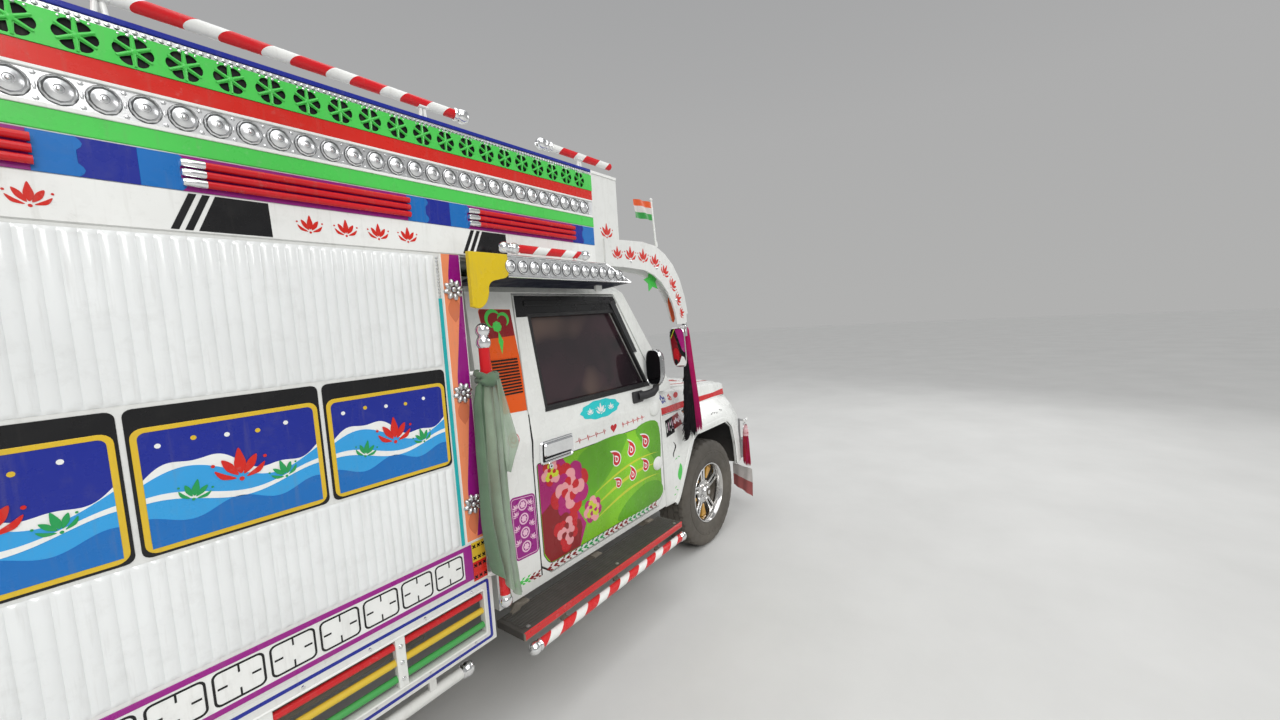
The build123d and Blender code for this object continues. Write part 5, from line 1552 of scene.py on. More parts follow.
def quarters():
    s = Mesh()
    skin(s, lambda z: 133.0, lambda z: 353.5, 478, 1200)
    s.box(742, 786, -868, -884, 1698, 1732, 0, 3)
    both_sides("quarter_skin", s, white, slot="white_paint")
    d = Mesh()       # 0 orange, 1 dark red, 2 green, 3 black, 4 magenta, 5 pale pink, 6 red, 7 grey steel
    out = [(352, 1204), (352, 1400), (333, 1628), (186, 1632), (180, 1622), (225, 1209)]
    d.prism(out, upper, 0, 1.0, 0, 0.3, back=False)
    up = [(341, 1520), (333, 1626), (188, 1630), (182, 1620), (192, 1512)]
    d.prism(up, upper, 1.0, 1.3, 1, 0, back=False)
    # green curls
    for cx, cz, r, t0, t1, w in ((245, 1590, 34, 0.3, 4.4, 8), (290, 1585, 26, -1.0, 2.9, 7)):
        inn, ext = [], []
        for k in range(22):
            t = t0 + (t1 - t0) * k / 21
            ww = w * sin(pi * (k + 1) / 23)
            ext.append((cx + (r + ww) * cos(t), cz + (r + ww) * sin(t)))
            inn.append((cx + (r - ww) * cos(t), cz + (r - ww) * sin(t)))
        d.prism(ext + inn[::-1], upper, 1.3, 1.7, 2, 0, back=False)
    flower(d, upper, 258, 1560, 22, [2, 2], 8, 1, 1.4)
    d.prism([(262, 1542), (280, 1500), (266, 1448), (256, 1500)], upper, 1.3, 1.6, 2, 0, back=False)
    # air slots: pressed ribs over a dark opening
    a0, a1 = 214, 343
    d.prism([(a0 + 4, 1276), (a1 + 3, 1276), (a1 - 5, 1428), (a0 - 8, 1428)], upper, 1.0, 1.4, 0, 0, back=False)
    for k in range(12):
        z = 1284 + 12.6 * k
        x0, x1 = a0 + 3 - k * 0.9, a1 + 1 - k * 0.6
        d.prism([(x0, z - 3.4), (x1, z - 3.4), (x1, z + 3.4), (x0, z + 3.4)], upper, 1.4, 1.8, 3, 0, back=False)
        rows = []
        for j in range(6):
            q = pi * j / 5
            rows.append([upper(x0 + 1, z + 3.4 + 2.6 * (1 - cos(q)) / 2 * 1.6, 1.6 + 4.0 * sin(q)), upper(x1 - 1, z + 3.4 + 2.6 * (1 - cos(q)) / 2 * 1.6, 1.6 + 4.0 * sin(q))])
        d.grid(rows, 0, flip=True)
    # dark joint between the door and the panel, and the running leaf line
    zs = sorted(set([478 + 706 * i / 24 for i in range(25)] + [q for q in LEVELS if q > 478]))
    d.grid([[lower(353, z, -0.7), lower(360.5, z, -0.7)] for z in zs], 3, smooth=False, flip=True)
    for k in range(5):
        leaf_link(d, lower, 216 + 29 * k, 503 - 2.5 * k, 2 if k < 3 else 1)
    # small round flower mark and the tall magenta plaque
    t = circle(262, 1098, 29, 30)
    d.prism(t, lower, 0, 0.6, 6, 0, [circle(262, 1098, 26, 30)], back=False)
    for k in range(6):
        w = pi / 3 * k + pi / 6
        d.prism(circle(262 + 13 * cos(w), 1098 + 13 * sin(w), 6.5, 12, 4.0), lower, 0, 0.6, 6, 0, back=False)
    pl = rounded([(226, 596), (352, 590), (350, 850), (218, 866)], 20, 5)
    d.prism(pl, lower, 0, 0.8, 4, 0, back=False)
    d.prism(inset(pl, 7) if area2(pl) > 0 else inset(pl[::-1], 7), lower, 0.8, 1.1, 5, 0, [inset(pl, 9.5) if area2(pl) > 0 else inset(pl[::-1], 9.5)], back=False)
    for k in range(4):
        z = 640 + 60 * k
        x = 286 - k * 1.0
        d.prism(circle(x, z, 24, 24), lower, 0.8, 1.2, 5, 0, [circle(x, z, 18, 24)], back=False)
        flower(d, lower, x, z, 14, [5, 5], 6, 1, 1.0)
        for sgn in (-1, 1):
            leaf(Shift(d, 5), lambda a, b, h: lower(a, b, h + 0.8), x + sgn * 40, z + 30 * (k < 3), 15, -sgn * 0.5)
    both_sides("quarter_prints", d, [orange, dark_red, bright_green, sign_black, magenta, pale_pink, print_red], slot="band_paint")


doors()
quarters()


# ------------------------------------------------------------------ mirrors, tassels, scarves and flags
def cloth(name, colour, weave=900.0, rough=0.85, sheen=0.4, alpha=None, vary=0.25, dust=0.1):
    g = Graph(name, Roughness=rough, Sheen_Weight=sheen, Sheen_Roughness=0.5, Specular_IOR_Level=0.2)
    a = g.noise(5.0, 4, 0.6)
    c = g.mix(g.range(a, 0.3, 0.7), tuple(q * (1 - vary) for q in colour), tuple(min(1.0, q * (1 + vary * 0.6)) for q in colour))
    wv = g.wave(weave, "X", 1.5, 1.0)
    wz = g.wave(weave, "Z", 1.5, 1.0)
    th = g.math("MULTIPLY", wv, wz)
    c = g.mix(g.range(th, 0.1, 0.7, 0.25, 0.0), c, tuple(q * 0.5 for q in colour))
    g.set("Base Color", finish_dirt(g, c, dust, 0.9, 0.08, 0.03))
    if alpha is not None:
        g.set("Alpha", g.range(g.noise(9.0, 3, 0.5), 0.3, 0.7, alpha - 0.08, min(1.0, alpha + 0.08)))
    g.bump(th, 0.25, 0.0005)
    return g.m


yarn_black = cloth("yarn_black", (0.008, 0.007, 0.009), 700, 0.9, 0.05, dust=0.03)
yarn_magenta = cloth("yarn_magenta", (0.40, 0.003, 0.10), 700, 0.8, 0.12, dust=0.03)
yarn_red = cloth("yarn_dark_red", (0.34, 0.003, 0.014), 700, 0.8, 0.10, dust=0.03)
yarn_pink = cloth("yarn_pink", (0.72, 0.42, 0.45), 700, 0.8, 0.6)
scarf_cloth = cloth("scarf_sheer", (0.285, 0.375, 0.275), 1100, 0.75, 0.25, 0.86, 0.22)
scarf_dark = cloth("scarf_knot", (0.135, 0.215, 0.135), 1100, 0.8, 0.2)
cloth_white = cloth("cloth_white", (0.70, 0.66, 0.64), 1000, 0.8, 0.3)
cloth_rose = cloth("cloth_rose", (0.44, 0.10, 0.105), 1000, 0.8, 0.15)
flag_orange = cloth("flag_orange", (0.80, 0.11, 0.02), 1200, 0.7, 0.3)
flag_green = cloth("flag_green", (0.03, 0.34, 0.06), 1200, 0.7, 0.3)
# painted reflection: dark red and plum for the fields on the arch mirror faces
mirror_reflection_dark_red = paint("mirror_reflection_dark_red", (0.20, 0.004, 0.012), 0.12, dust=0.05, coat=0.6)
mirror_reflection_plum = paint("mirror_reflection_plum", (0.42, 0.010, 0.20), 0.12, dust=0.05, coat=0.6)
shell_chrome = chrome("shell_chrome", (0.46, 0.47, 0.48), 0.10, 0.25, 0.12)
mirror_glass = chrome("mirror_glass", (0.70, 0.72, 0.74), 0.015, 0.02, 0.02)
dark_mirror = chrome("dark_mirror", (0.10, 0.105, 0.115), 0.03, 0.04, 0.04)


def superellipse(cy, cz, ry, rz, n=40, p=3.2):
    out = []
    for k in range(n):
        a = 2 * pi * k / n
        c, s = cos(a), sin(a)
        out.append((cy + ry * math.copysign(abs(c) ** (2 / p), c), cz + rz * math.copysign(abs(s) ** (2 / p), s)))
    return out


def mirrors():
    # door mirrors: pressed bright shell with small domes, dark glass that faces the rear
    m = Mesh()
    rows = []
    for x, ry, rz in ((1203, 46.5, 92), (1197, 48, 93.5), (1195.5, 49.5, 95), (1199, 52, 98), (1212, 52, 97.5), (1232, 50, 93), (1248, 44, 86), (1258, 30, 66), (1260, 4, 4)):
        rows.append([(x, y, z) for y, z in superellipse(-861, 1286, ry, rz, 44)])
    m.grid(rows, 0, wrap=True)
    m.add([(1200.0, y, z) for y, z in superellipse(-861, 1286, 47.0, 92.5, 44)], [tuple(range(44))[::-1]], 1, False)
    for k in range(26):
        a = 2 * pi * k / 26
        for x, q in ((1222, 1.0),):
            y, z = superellipse(-861, 1286, 50.5, 96.0, 26)[k]
            m.ball((x, y, z), 5.0, 8, 0, (1, 1, 1), 5)
    # arm: foot on the door, bar outwards, stem up to the shell
    m.box(1068, 1152, -797, -819, 1104, 1166, 2, 5)
    m.tube([(1110, -812, 1138), (1150, -834, 1140), (1192, -852, 1148), (1212, -860, 1166), (1218, -862, 1196)], [24, 23, 22, 19, 17], 18, 2)
    m.lathe([(0, 20), (6, 22), (12, 20), (16, 12)], (1219, -862, 1184), (0, 0, 1), 20, 2)
    both_sides("wing_mirror", m, [shell_chrome, dark_mirror, black_plastic], ("door_right", "door_left"), stands_for=(("door_mirror_right",), ("door_mirror_left",)), slot="mirror")
    # long mirrors under the arches, turned a little inwards and leaning; their faces carry painted reflections: dark
    # red, plum, black, red, white and yellow fields in place of what the glass would show
    m = Mesh()        # 0 bright, 1 dark red, 2 plum, 3 black, 4 red, 5 white, 6 yellow
    cx, cy, cz = 1494.0, -850.0, 1374.0
    tw = radians(15)

    def turn(x, y, z):
        dx, dy = x - cx, (y - cy) * (1.0 + 0.08 * (z - cz) / 118.0) + (z - cz) * math.tan(radians(4))
        return (cx + dx * cos(tw) - dy * sin(tw), cy + dx * sin(tw) + dy * cos(tw), z)
    rows = []
    for x, ry, rz in ((-7.5, 41, 112), (-10.5, 42, 114), (-11, 43.5, 115.5), (-9, 46, 118), (0, 45.5, 117), (7.5, 38, 108), (11, 18, 70), (11, 2, 2)):
        rows.append([turn(cx + x, y, z) for y, z in superellipse(cy, cz, ry, rz, 44, 4.6)])
    m.grid(rows, 0, wrap=True)
    # painted reflection: a dark red ground on the mirror face with coloured fields over it, in place of the glass's
    # own reflection
    m.add([turn(cx - 9, y, z) for y, z in superellipse(cy, cz, 41.5, 112.5, 44, 4.6)], [tuple(range(44))[::-1]], 1, False)

    def face(a, b, h):
        return turn(cx - 9 - h, cy + a, cz + b)
    for k, (pts, mt) in enumerate(([[(-40, -30), (-40, 98), (-33, 108), (14, 110), (-8, 30), (-22, -34)], 2], [[(10, 111), (27, 111), (6, 34), (-6, -34), (-39, -84), (-40, -34), (-22, -16), (-8, 40)], 3],
                                   [[(39, 60), (39, 100), (33, 108), (14, 110)], 3], [[(39, 60), (39, 53), (9, 110), (14, 110)], 6],
                                   [circle(17, -42, 18, 26, 40), 4], [[(-39, -84), (-38, -104), (-32, -109), (28, -109), (0, -86), (-16, -52), (-30, -58)], 5],
                                   [circle(24, -86, 11, 18, 17), 3])):
        m.prism(pts, face, 0, 0.5 + 0.12 * k, mt, 0, back=False)
    m.tube([(1524, -888, 1500), (1516, -878, 1495), (1506, -864, 1490), (1498, -850, 1484)], 7, 12, 0)
    m.ball((1524, -886, 1500), 10, 14, 0)
    both_sides("arch_mirror", m, [ch, mirror_reflection_dark_red, mirror_reflection_plum, sign_black, print_red, bright_white, print_yellow], stands_for=(("hanging_mirrors",), ()), slot="mirror")


def strands(m, c0, c1, half0, half1, count, mats, seed, ragged=0.10, r=2.3, seg=7, bulge=0.35, split=None, slant=0.0):
    """Loose yarn ends from a top ellipse to a wider bottom one."""
    rnd = random.Random(seed)
    for i in range(count):
        a = 2 * pi * rnd.random()
        q = math.sqrt(rnd.random()) * 0.6 + 0.4
        u, v = q * cos(a), q * sin(a)
        end = (1.0 - ragged * rnd.random()) * (1.0 - slant * v)
        path = []
        ph, am = rnd.random() * 6.3, 2.0 + 5.0 * rnd.random()
        for k in range(seg + 1):
            t = k / seg * end
            w = t ** (1 - bulge)
            hx = half0[0] + (half1[0] - half0[0]) * w
            hy = half0[1] + (half1[1] - half0[1]) * w
            path.append((c0[0] + (c1[0] - c0[0]) * t + u * hx + am * sin(ph + 4.2 * t) * t,
                         c0[1] + (c1[1] - c0[1]) * t + v * hy + am * 0.6 * cos(ph + 3.1 * t) * t,
                         c0[2] + (c1[2] - c0[2]) * t))
        k = (mats[0] if u < split + 0.25 * (rnd.random() - 0.5) else mats[1]) if split is not None else mats[i % len(mats)]
        rr = [r * (0.9 if j else 0.6) for j in range(len(path) - 1)] + [r * 0.25]
        m.tube(path, rr, 4, k, caps=False)


def hangings():
    m = Mesh()                        # 0 black, 1 magenta, 2 dark red, 3 pink, 4 silver
    # long tassels under the arch tips: black towards the rear, magenta towards the front
    m.lathe([(-16, 3), (-12, 9), (-5, 13), (2, 15), (10, 17), (20, 17), (26, 15)], (1557, -872, 1478), (0, 0, -1), 22, 1)
    m.tube([(1530, -861, 1512), (1544, -866, 1508), (1554, -871, 1500), (1557, -872, 1490)], 4.5, 8, 0)
    strands(m, (1560, -872, 1466), (1626, -874, 832), (17, 12), (50, 24), 320, [1], 11, 0.12, 2.8, 9, 0.12)
    strands(m, (1530, -873, 1318), (1544, -874, 812), (9, 9), (64, 28), 280, [0], 12, 0.22, 2.8, 8, 0.20)
    # short fringe steps along the rear edge
    rnd = random.Random(4)
    for k in range(260):
        z = 1280 - 440 * rnd.random() ** 0.7
        t = (1466 - z) / 654.0
        x0 = 1548 + 22 * t - (8 + 66 * t)
        l = 30 + 38 * rnd.random()
        tuft = 0.4 + 0.6 * abs(sin(z / 31.0))
        out = (9 + 56 * t * rnd.random()) * tuft
        y0 = -873 + 30 * (rnd.random() - 0.5)
        m.tube([(x0 + 12, y0, z), (x0 - out * 0.5, y0 - 2, z - l * 0.45), (x0 - out, y0 - 3 * rnd.random(), max(815, z - l * (0.7 + 0.3 * rnd.random())))], [3.0, 2.8, 0.8], 4, 0, caps=False)
    # short tassels on the front corners
    cx, cy = 2434, -829
    m.lathe([(0, 6), (4, 15), (14, 18), (22, 15), (26, 19), (40, 22), (54, 20), (60, 22), (72, 24), (80, 22)], (cx, cy - 2, 694), (0, 0, -1), 22, [3, 3, 3, 4, 3, 3, 2, 3, 3])
    strands(m, (cx, cy, 634), (cx + 6, cy - 1, 388), (20, 15), (37, 27), 210, [2, 2, 2, 1], 23, 0.10, 2.4, 6, 0.4, slant=0.09)
    strands(m, (cx, cy, 700), (cx, cy - 2, 616), (15, 12), (27, 19), 70, [3, 2], 29, 0.1, 2.4, 4, 0.4)
    both_sides("tassel_yarn", m, [yarn_black, yarn_magenta, yarn_red, yarn_pink, silver], stands_for=(("tassels",), ()), slot="tassel_yarn")
    # crossed finials over them
    f = Mesh()
    for s in (-1, 1):
        a, b = Vector((cx - s * 26, cy + 8, 676)), Vector((cx + s * 34, cy - 4, 752))
        f.tube([a, a.lerp(b, 0.6)], 4.0, 10, 0)
        q = a.lerp(b, 0.6)
        f.tube([q, q.lerp(b, 0.25), q.lerp(b, 0.6), b], [4, 11, 8, 0.8], 10, 1)
        f.ball(a, 7, 10, 0)
    f.tube([(cx, cy + 16, 700), (cx, cy, 716), (cx, cy - 2, 738)], [5, 5, 5], 10, 0)
    f.ball((cx, cy - 2, 741), 9, 14, 0)
    both_sides("corner_finials", f, [ch, flat_white], slot="chrome")


def sheet_area(mesh):
    t = 0.0
    for q in mesh.f:
        p = [Vector(mesh.v[i]) for i in q]
        for k in range(1, len(p) - 1):
            t += (p[k] - p[0]).cross(p[k + 1] - p[0]).length / 2
    return t * 1e-6


def lay(name, mesh, mats, length, slot, rests, extra=None, first=()):
    """One cloth a side, listed with its cut size; the width follows from the area of the laid cloth."""
    out = []
    for side, q in (("_right", mesh), ("_left", mesh.mirrored())):
        o = make(name + side, q, mats, slot=slot, stands_for=("cloths",), angle=70)
        w = sheet_area(q) / length
        also = []
        if extra:
            e = extra if side == "_right" else extra.mirrored()
            also = [make(name + "_knot" + side, e, [scarf_dark], slot=slot, angle=70)]
        [r.replace("_right", side) for r in rests]
        out.append((name + side, round(w, 3), length))
    return out


def scarves():
    keys = [(1392, 40, 92, 3), (1350, 10, 104, 7), (1290, 0, 104, 11), (1094, -4, 102, 16), (889, -2, 100, 18), (737, 2, 112, 18), (640, 10, 124, 17), (578, 16, 130, 16)]
    nu, nv = 64, 46
    m = Mesh()
    rows = []
    for j in range(nv + 1):
        z = 1392 - (1392 - 578) * j / nv
        for (z0, a0, b0, f0), (z1, a1, b1, f1) in zip(keys, keys[1:]):
            if z >= z1 - 1e-6:
                t = (z - z0) / (z1 - z0)
                t = t * t * (3 - 2 * t)
                a, b, am = a0 + (a1 - a0) * t, b0 + (b1 - b0) * t, f0 + (f1 - f0) * t
                break
        row = []
        for i in range(nu + 1):
            u = i / nu
            w = 2 * pi * (3.3 * u + 0.25 * sin(2.2 * j / nv + 5 * u))
            x = a + (b - a) * u + am * 0.28 * sin(w * 1.0 + 1.6)
            y = -(960 - 6 * sin(pi * u) - 14 * max(0.0, 0.35 - u) / 0.35) + am * 0.85 * sin(w) + 3 * sin(11 * j / nv + 4 * u)
            zz = z + (18 * sin(5.0 * u + 0.6) * (j / nv) ** 6) + 105 * (1 - u) ** 1.5 * (j / nv) ** 3
            row.append((x, y, zz))
        rows.append(row)
    m.grid([r[:25] for r in rows], 1)
    m.grid([r[24:] for r in rows], 0)
    knot = Mesh()
    for z, r, w in ((1392, 27, 15), (1368, 26, 13)):
        ringp = [(76 + (r + 5) * cos(2 * pi * k / 28), -(922 + (r + 7) * sin(2 * pi * k / 28)), z + 7 * sin(2 * pi * k / 28 + z)) for k in range(28)]
        knot.tube(ringp, [w * (0.8 + 0.14 * sin(5 * 2 * pi * k / 28)) for k in range(28)], 14, 0, caps=False, closed=True)
    lump = Mesh().ball((0, 0, 0), 1.0, 26, 0, (1, 1, 1), 16)
    knot.join(lump, lambda p: (66 + 38 * p[0] * (1 + 0.13 * sin(7 * p[2] + 4 * p[0])), -957 + 21 * p[1] * (1 + 0.12 * sin(6 * p[0] + 2)), 1376 + 25 * p[2] * (1 + 0.10 * sin(8 * p[0]))))
    sizes = lay("pole_scarf", m, [scarf_cloth, scarf_dark], 0.84, "scarf_cloth", ["pole_trim"], knot)
    # the loose end, lighter, that stands off to the front
    e = Mesh()
    rows = []
    for j in range(25):
        t = j / 24
        z = 1376 - 330 * t
        right = 96 + 60 * min(1.0, t / 0.72) if t < 0.72 else 156 - 52 * (t - 0.72) / 0.28
        left = 78 + 6 * t
        row = []
        for i in range(21):
            u = i / 20
            w = 2 * pi * (1.6 * u + 0.1 * sin(6 * t))
            row.append((left + (right - left) * u, -(974 + 1 * sin(3 * u) + 7 * (0.25 + t * 0.75) * sin(w + 0.8) + 4 * t), z - 10 * u * t))
        rows.append(row)
    e.grid(rows, 0)
    sizes += lay("pole_scarf_end", e, [scarf_cloth], 0.345, "scarf_cloth", ["pole_scarf_knot_right"])
    # striped cloths on the front corners
    c = Mesh()
    rows = []
    for j in range(17):
        t = j / 16
        row = []
        for i in range(25):
            u = i / 24
            z0, z1 = 387 - 37 * u, 208 - 76 * u
            row.append((2440 + 4.6 * (0.35 + 0.65 * t) * sin(2 * pi * 2.2 * u + 1.3 * t), -(707 + 160 * u + 2 * sin(5 * t) * u), z0 + (z1 - z0) * t + 3 * sin(9 * u) * (1 - t)))
        rows.append(row)
    m2 = Mesh().grid(rows[:9], 0)
    m2.grid(rows[8:], 1)
    sizes += lay("corner_cloth", m2, [cloth_white, cloth_rose], 0.20, "scarf_cloth", ["tassel_yarn"])
    # small three-coloured flags on the arch poles
    fl = Mesh()
    for k, (z0, z1) in enumerate(((2147, 2179), (2115, 2147), (2083, 2115))):
        rows = []
        for j in range(5):
            z = z1 + (z0 - z1) * j / 4
            rows.append([(1238 - 160 * i / 22, -(886 + 5.5 * sin(2 * pi * 1.7 * i / 22 + 0.04 * (2179 - z)) * min(1.0, i / 5)), z - 6 * (i / 22) ** 2) for i in range(23)])
        fl.grid(rows, k)
    sizes += lay("arch_flag", fl, [flag_orange, cloth_white, flag_green], 0.165, "scarf_cloth", ["arch_ornament"])
    return sizes


mirrors()
hangings()
SHEETS = scarves()
print("SHEETS", SHEETS)


# ------------------------------------------------------------------ wheels
tyre_rubber = plastic("tyre_rubber", (0.026, 0.0255, 0.025), 0.78, 0.25, dust=0.26, low=1.5, scale=420)
drum_dark = metal("drum_dark", (0.05, 0.048, 0.045), 0.6, dust=0.45, rust=0.4, metallic=0.5)
gold_film = paint("gold_reflector", (0.72, 0.36, 0.015), 0.18, dust=0.2, metallic=0.35, coat=0.8)
amber = paint("amber_lens", (0.75, 0.22, 0.01), 0.12, dust=0.15, coat=1.0)
wheel_chrome = chrome("wheel_chrome", (0.78, 0.79, 0.80), 0.10, 0.35, 0.22)


def tyre_mesh(x):
    """Lugged tyre on the right side; centre at x."""
    prof = []
    h, r = 107.5, 355.0
    half = [(-h + 16, 200.5), (-h + 6, 214), (-h + 1.5, 232), (-h, 255), (-h + 0.5, 278), (-h + 2.5, 280), (-h + 2.5, 284), (-h + 1, 287), (-h + 2, 312),
            (-h + 7, 330), (-h + 13, 342), (-h + 22, 350), (-h + 40, 354), (-h + 46, 354.4), (-h + 47, 346), (-h + 54, 346), (-h + 55, 354.6), (-h + 80, 355), (-h + 81, 347), (-h + 87, 347), (-h + 88, 355), (-h + 102, 355)]
    prof = half + [(-p, q) for p, q in half[::-1]]
    n = 144
    rows = []
    for i, (hh, rr) in enumerate(prof):
        row = []
        for k in range(n):
            a = 2 * pi * k / n
            j = i if i < len(half) else len(prof) - 1 - i
            d = 0.0
            if 9 <= j <= 13 and (k % 4) in (0,):
                d = (4.0, 6.0, 7.5, 8.0, 8.0)[j - 9]
            elif 16 <= j <= 17 and (k % 4) == (2 if i < len(half) else 1):
                d = 7.0
            elif 20 <= j <= 21 and (k % 6) == 0:
                d = 6.0
            row.append((x + (rr - d) * cos(a), -(718 - hh), 355 + (rr - d) * sin(a)))
        rows.append(row)
    m = Mesh().grid(rows, 0, wrap=True, flip=False)
    # raised ring of bars on the outer wall
    for k in range(0, 40):
        a = 2 * pi * k / 40
        c, s = cos(a), sin(a)
        w = 2 * pi / 40 * 0.28
        v = []
        for rr in (262, 274):
            for q in (-w, w):
                for hh in (-107.3, -108.6):
                    v.append((x + rr * cos(a + q), -(718 - hh), 355 + rr * sin(a + q)))
        v = [(p[0], -(718 + 107.2 + (1.4 if i % 2 else 0)), p[2]) for i, p in enumerate(v)]
        m.add(v, [(0, 1, 3, 2), (4, 6, 7, 5), (1, 5, 7, 3), (0, 4, 5, 1), (2, 3, 7, 6)], 0, False)
    return m


def rim_mesh(x):
    """Five pairs of spokes in a bright barrel with film wedges between the pairs."""
    m = Mesh()                       # 0 chrome, 1 dark, 2 gold, 3 black rubber
    c = 718.0
    m.lathe([(-96, 186), (-96, 199.5), (-84, 199.5), (-76, 186), (60, 182), (76, 188), (86, 197.5), (93, 199.8), (96, 198), (95, 192), (86, 186.5), (72, 181), (30, 176), (-70, 178), (-96, 186)],
            (x, -c, 355), (0, -1, 0), 72, 0)
    P = lambda a, b, h: (x + a, -(h), 355 + b)
    m.lathe([(0, 0), (0, 60), (4, 120), (0, 150), (-14, 178)], (x, -736, 355), (0, -1, 0), 48, 1)
    for k in range(5):
        a = radians(90 + 72 * k)
        ca, sa = cos(a), sin(a)

        def q(u, v):
            return (u * ca - v * sa, u * sa + v * ca)
        for s in (-1, 1):
            o = [(44, s * 3), (184, s * 11), (184, s * 29), (120, s * 25), (50, s * 24)]
            o = [q(u, v) for u, v in o]
            if area2(o) < 0:
                o = o[::-1]
            m.prism(o, P, 742, 770, 0, 5)
        # film wedge between two pairs
        b = a + radians(36)
        cb, sb = cos(b), sin(b)
        w = [(92, -8), (172, -30), (176, 0), (172, 30), (92, 8)]
        w = [(u * cb - v * sb, u * sb + v * cb) for u, v in w]
        if k != 3:
            m.prism(w, P, 742, 761, 2, 2.0)
        # nut
        n = [(56 * cb + 11 * cos(t * pi / 3), 56 * sb + 11 * sin(t * pi / 3)) for t in range(6)]
        m.prism(n, P, 770, 786, 0, 2.5)
    m.lathe([(0, 74), (6, 78), (16, 74), (20, 60), (22, 44), (40, 38), (48, 30), (53, 14), (54, 0)], (x, -756, 355), (0, -1, 0), 40, 0)
    m.lathe([(0, 27), (3, 27), (4, 24), (4, 0)], (x, -805, 355), (0, -1, 0), 30, 1)
    m.tube([P(100, 150, 790), P(96, 144, 806)], [4.5, 4], 8, 3)
    return m


def wheels():
    for tag, x in (("f", 1850.0), ("r", -1410.0)):
        both_sides("tyre_" + tag, tyre_mesh(x), tyre_rubber, ("wheel_" + tag + "r", "wheel_" + tag + "l"),
                   stands_for=(("tyre_" + tag + "r",), ("tyre_" + tag + "l",)), slot="tyre", angle=24)
        both_sides("rim_" + tag, rim_mesh(x), [wheel_chrome, drum_dark, gold_film, rubber], ("wheel_" + tag + "r", "wheel_" + tag + "l"),
                   stands_for=(("rim_" + tag + "r",), ("rim_" + tag + "l",)), slot="chrome")


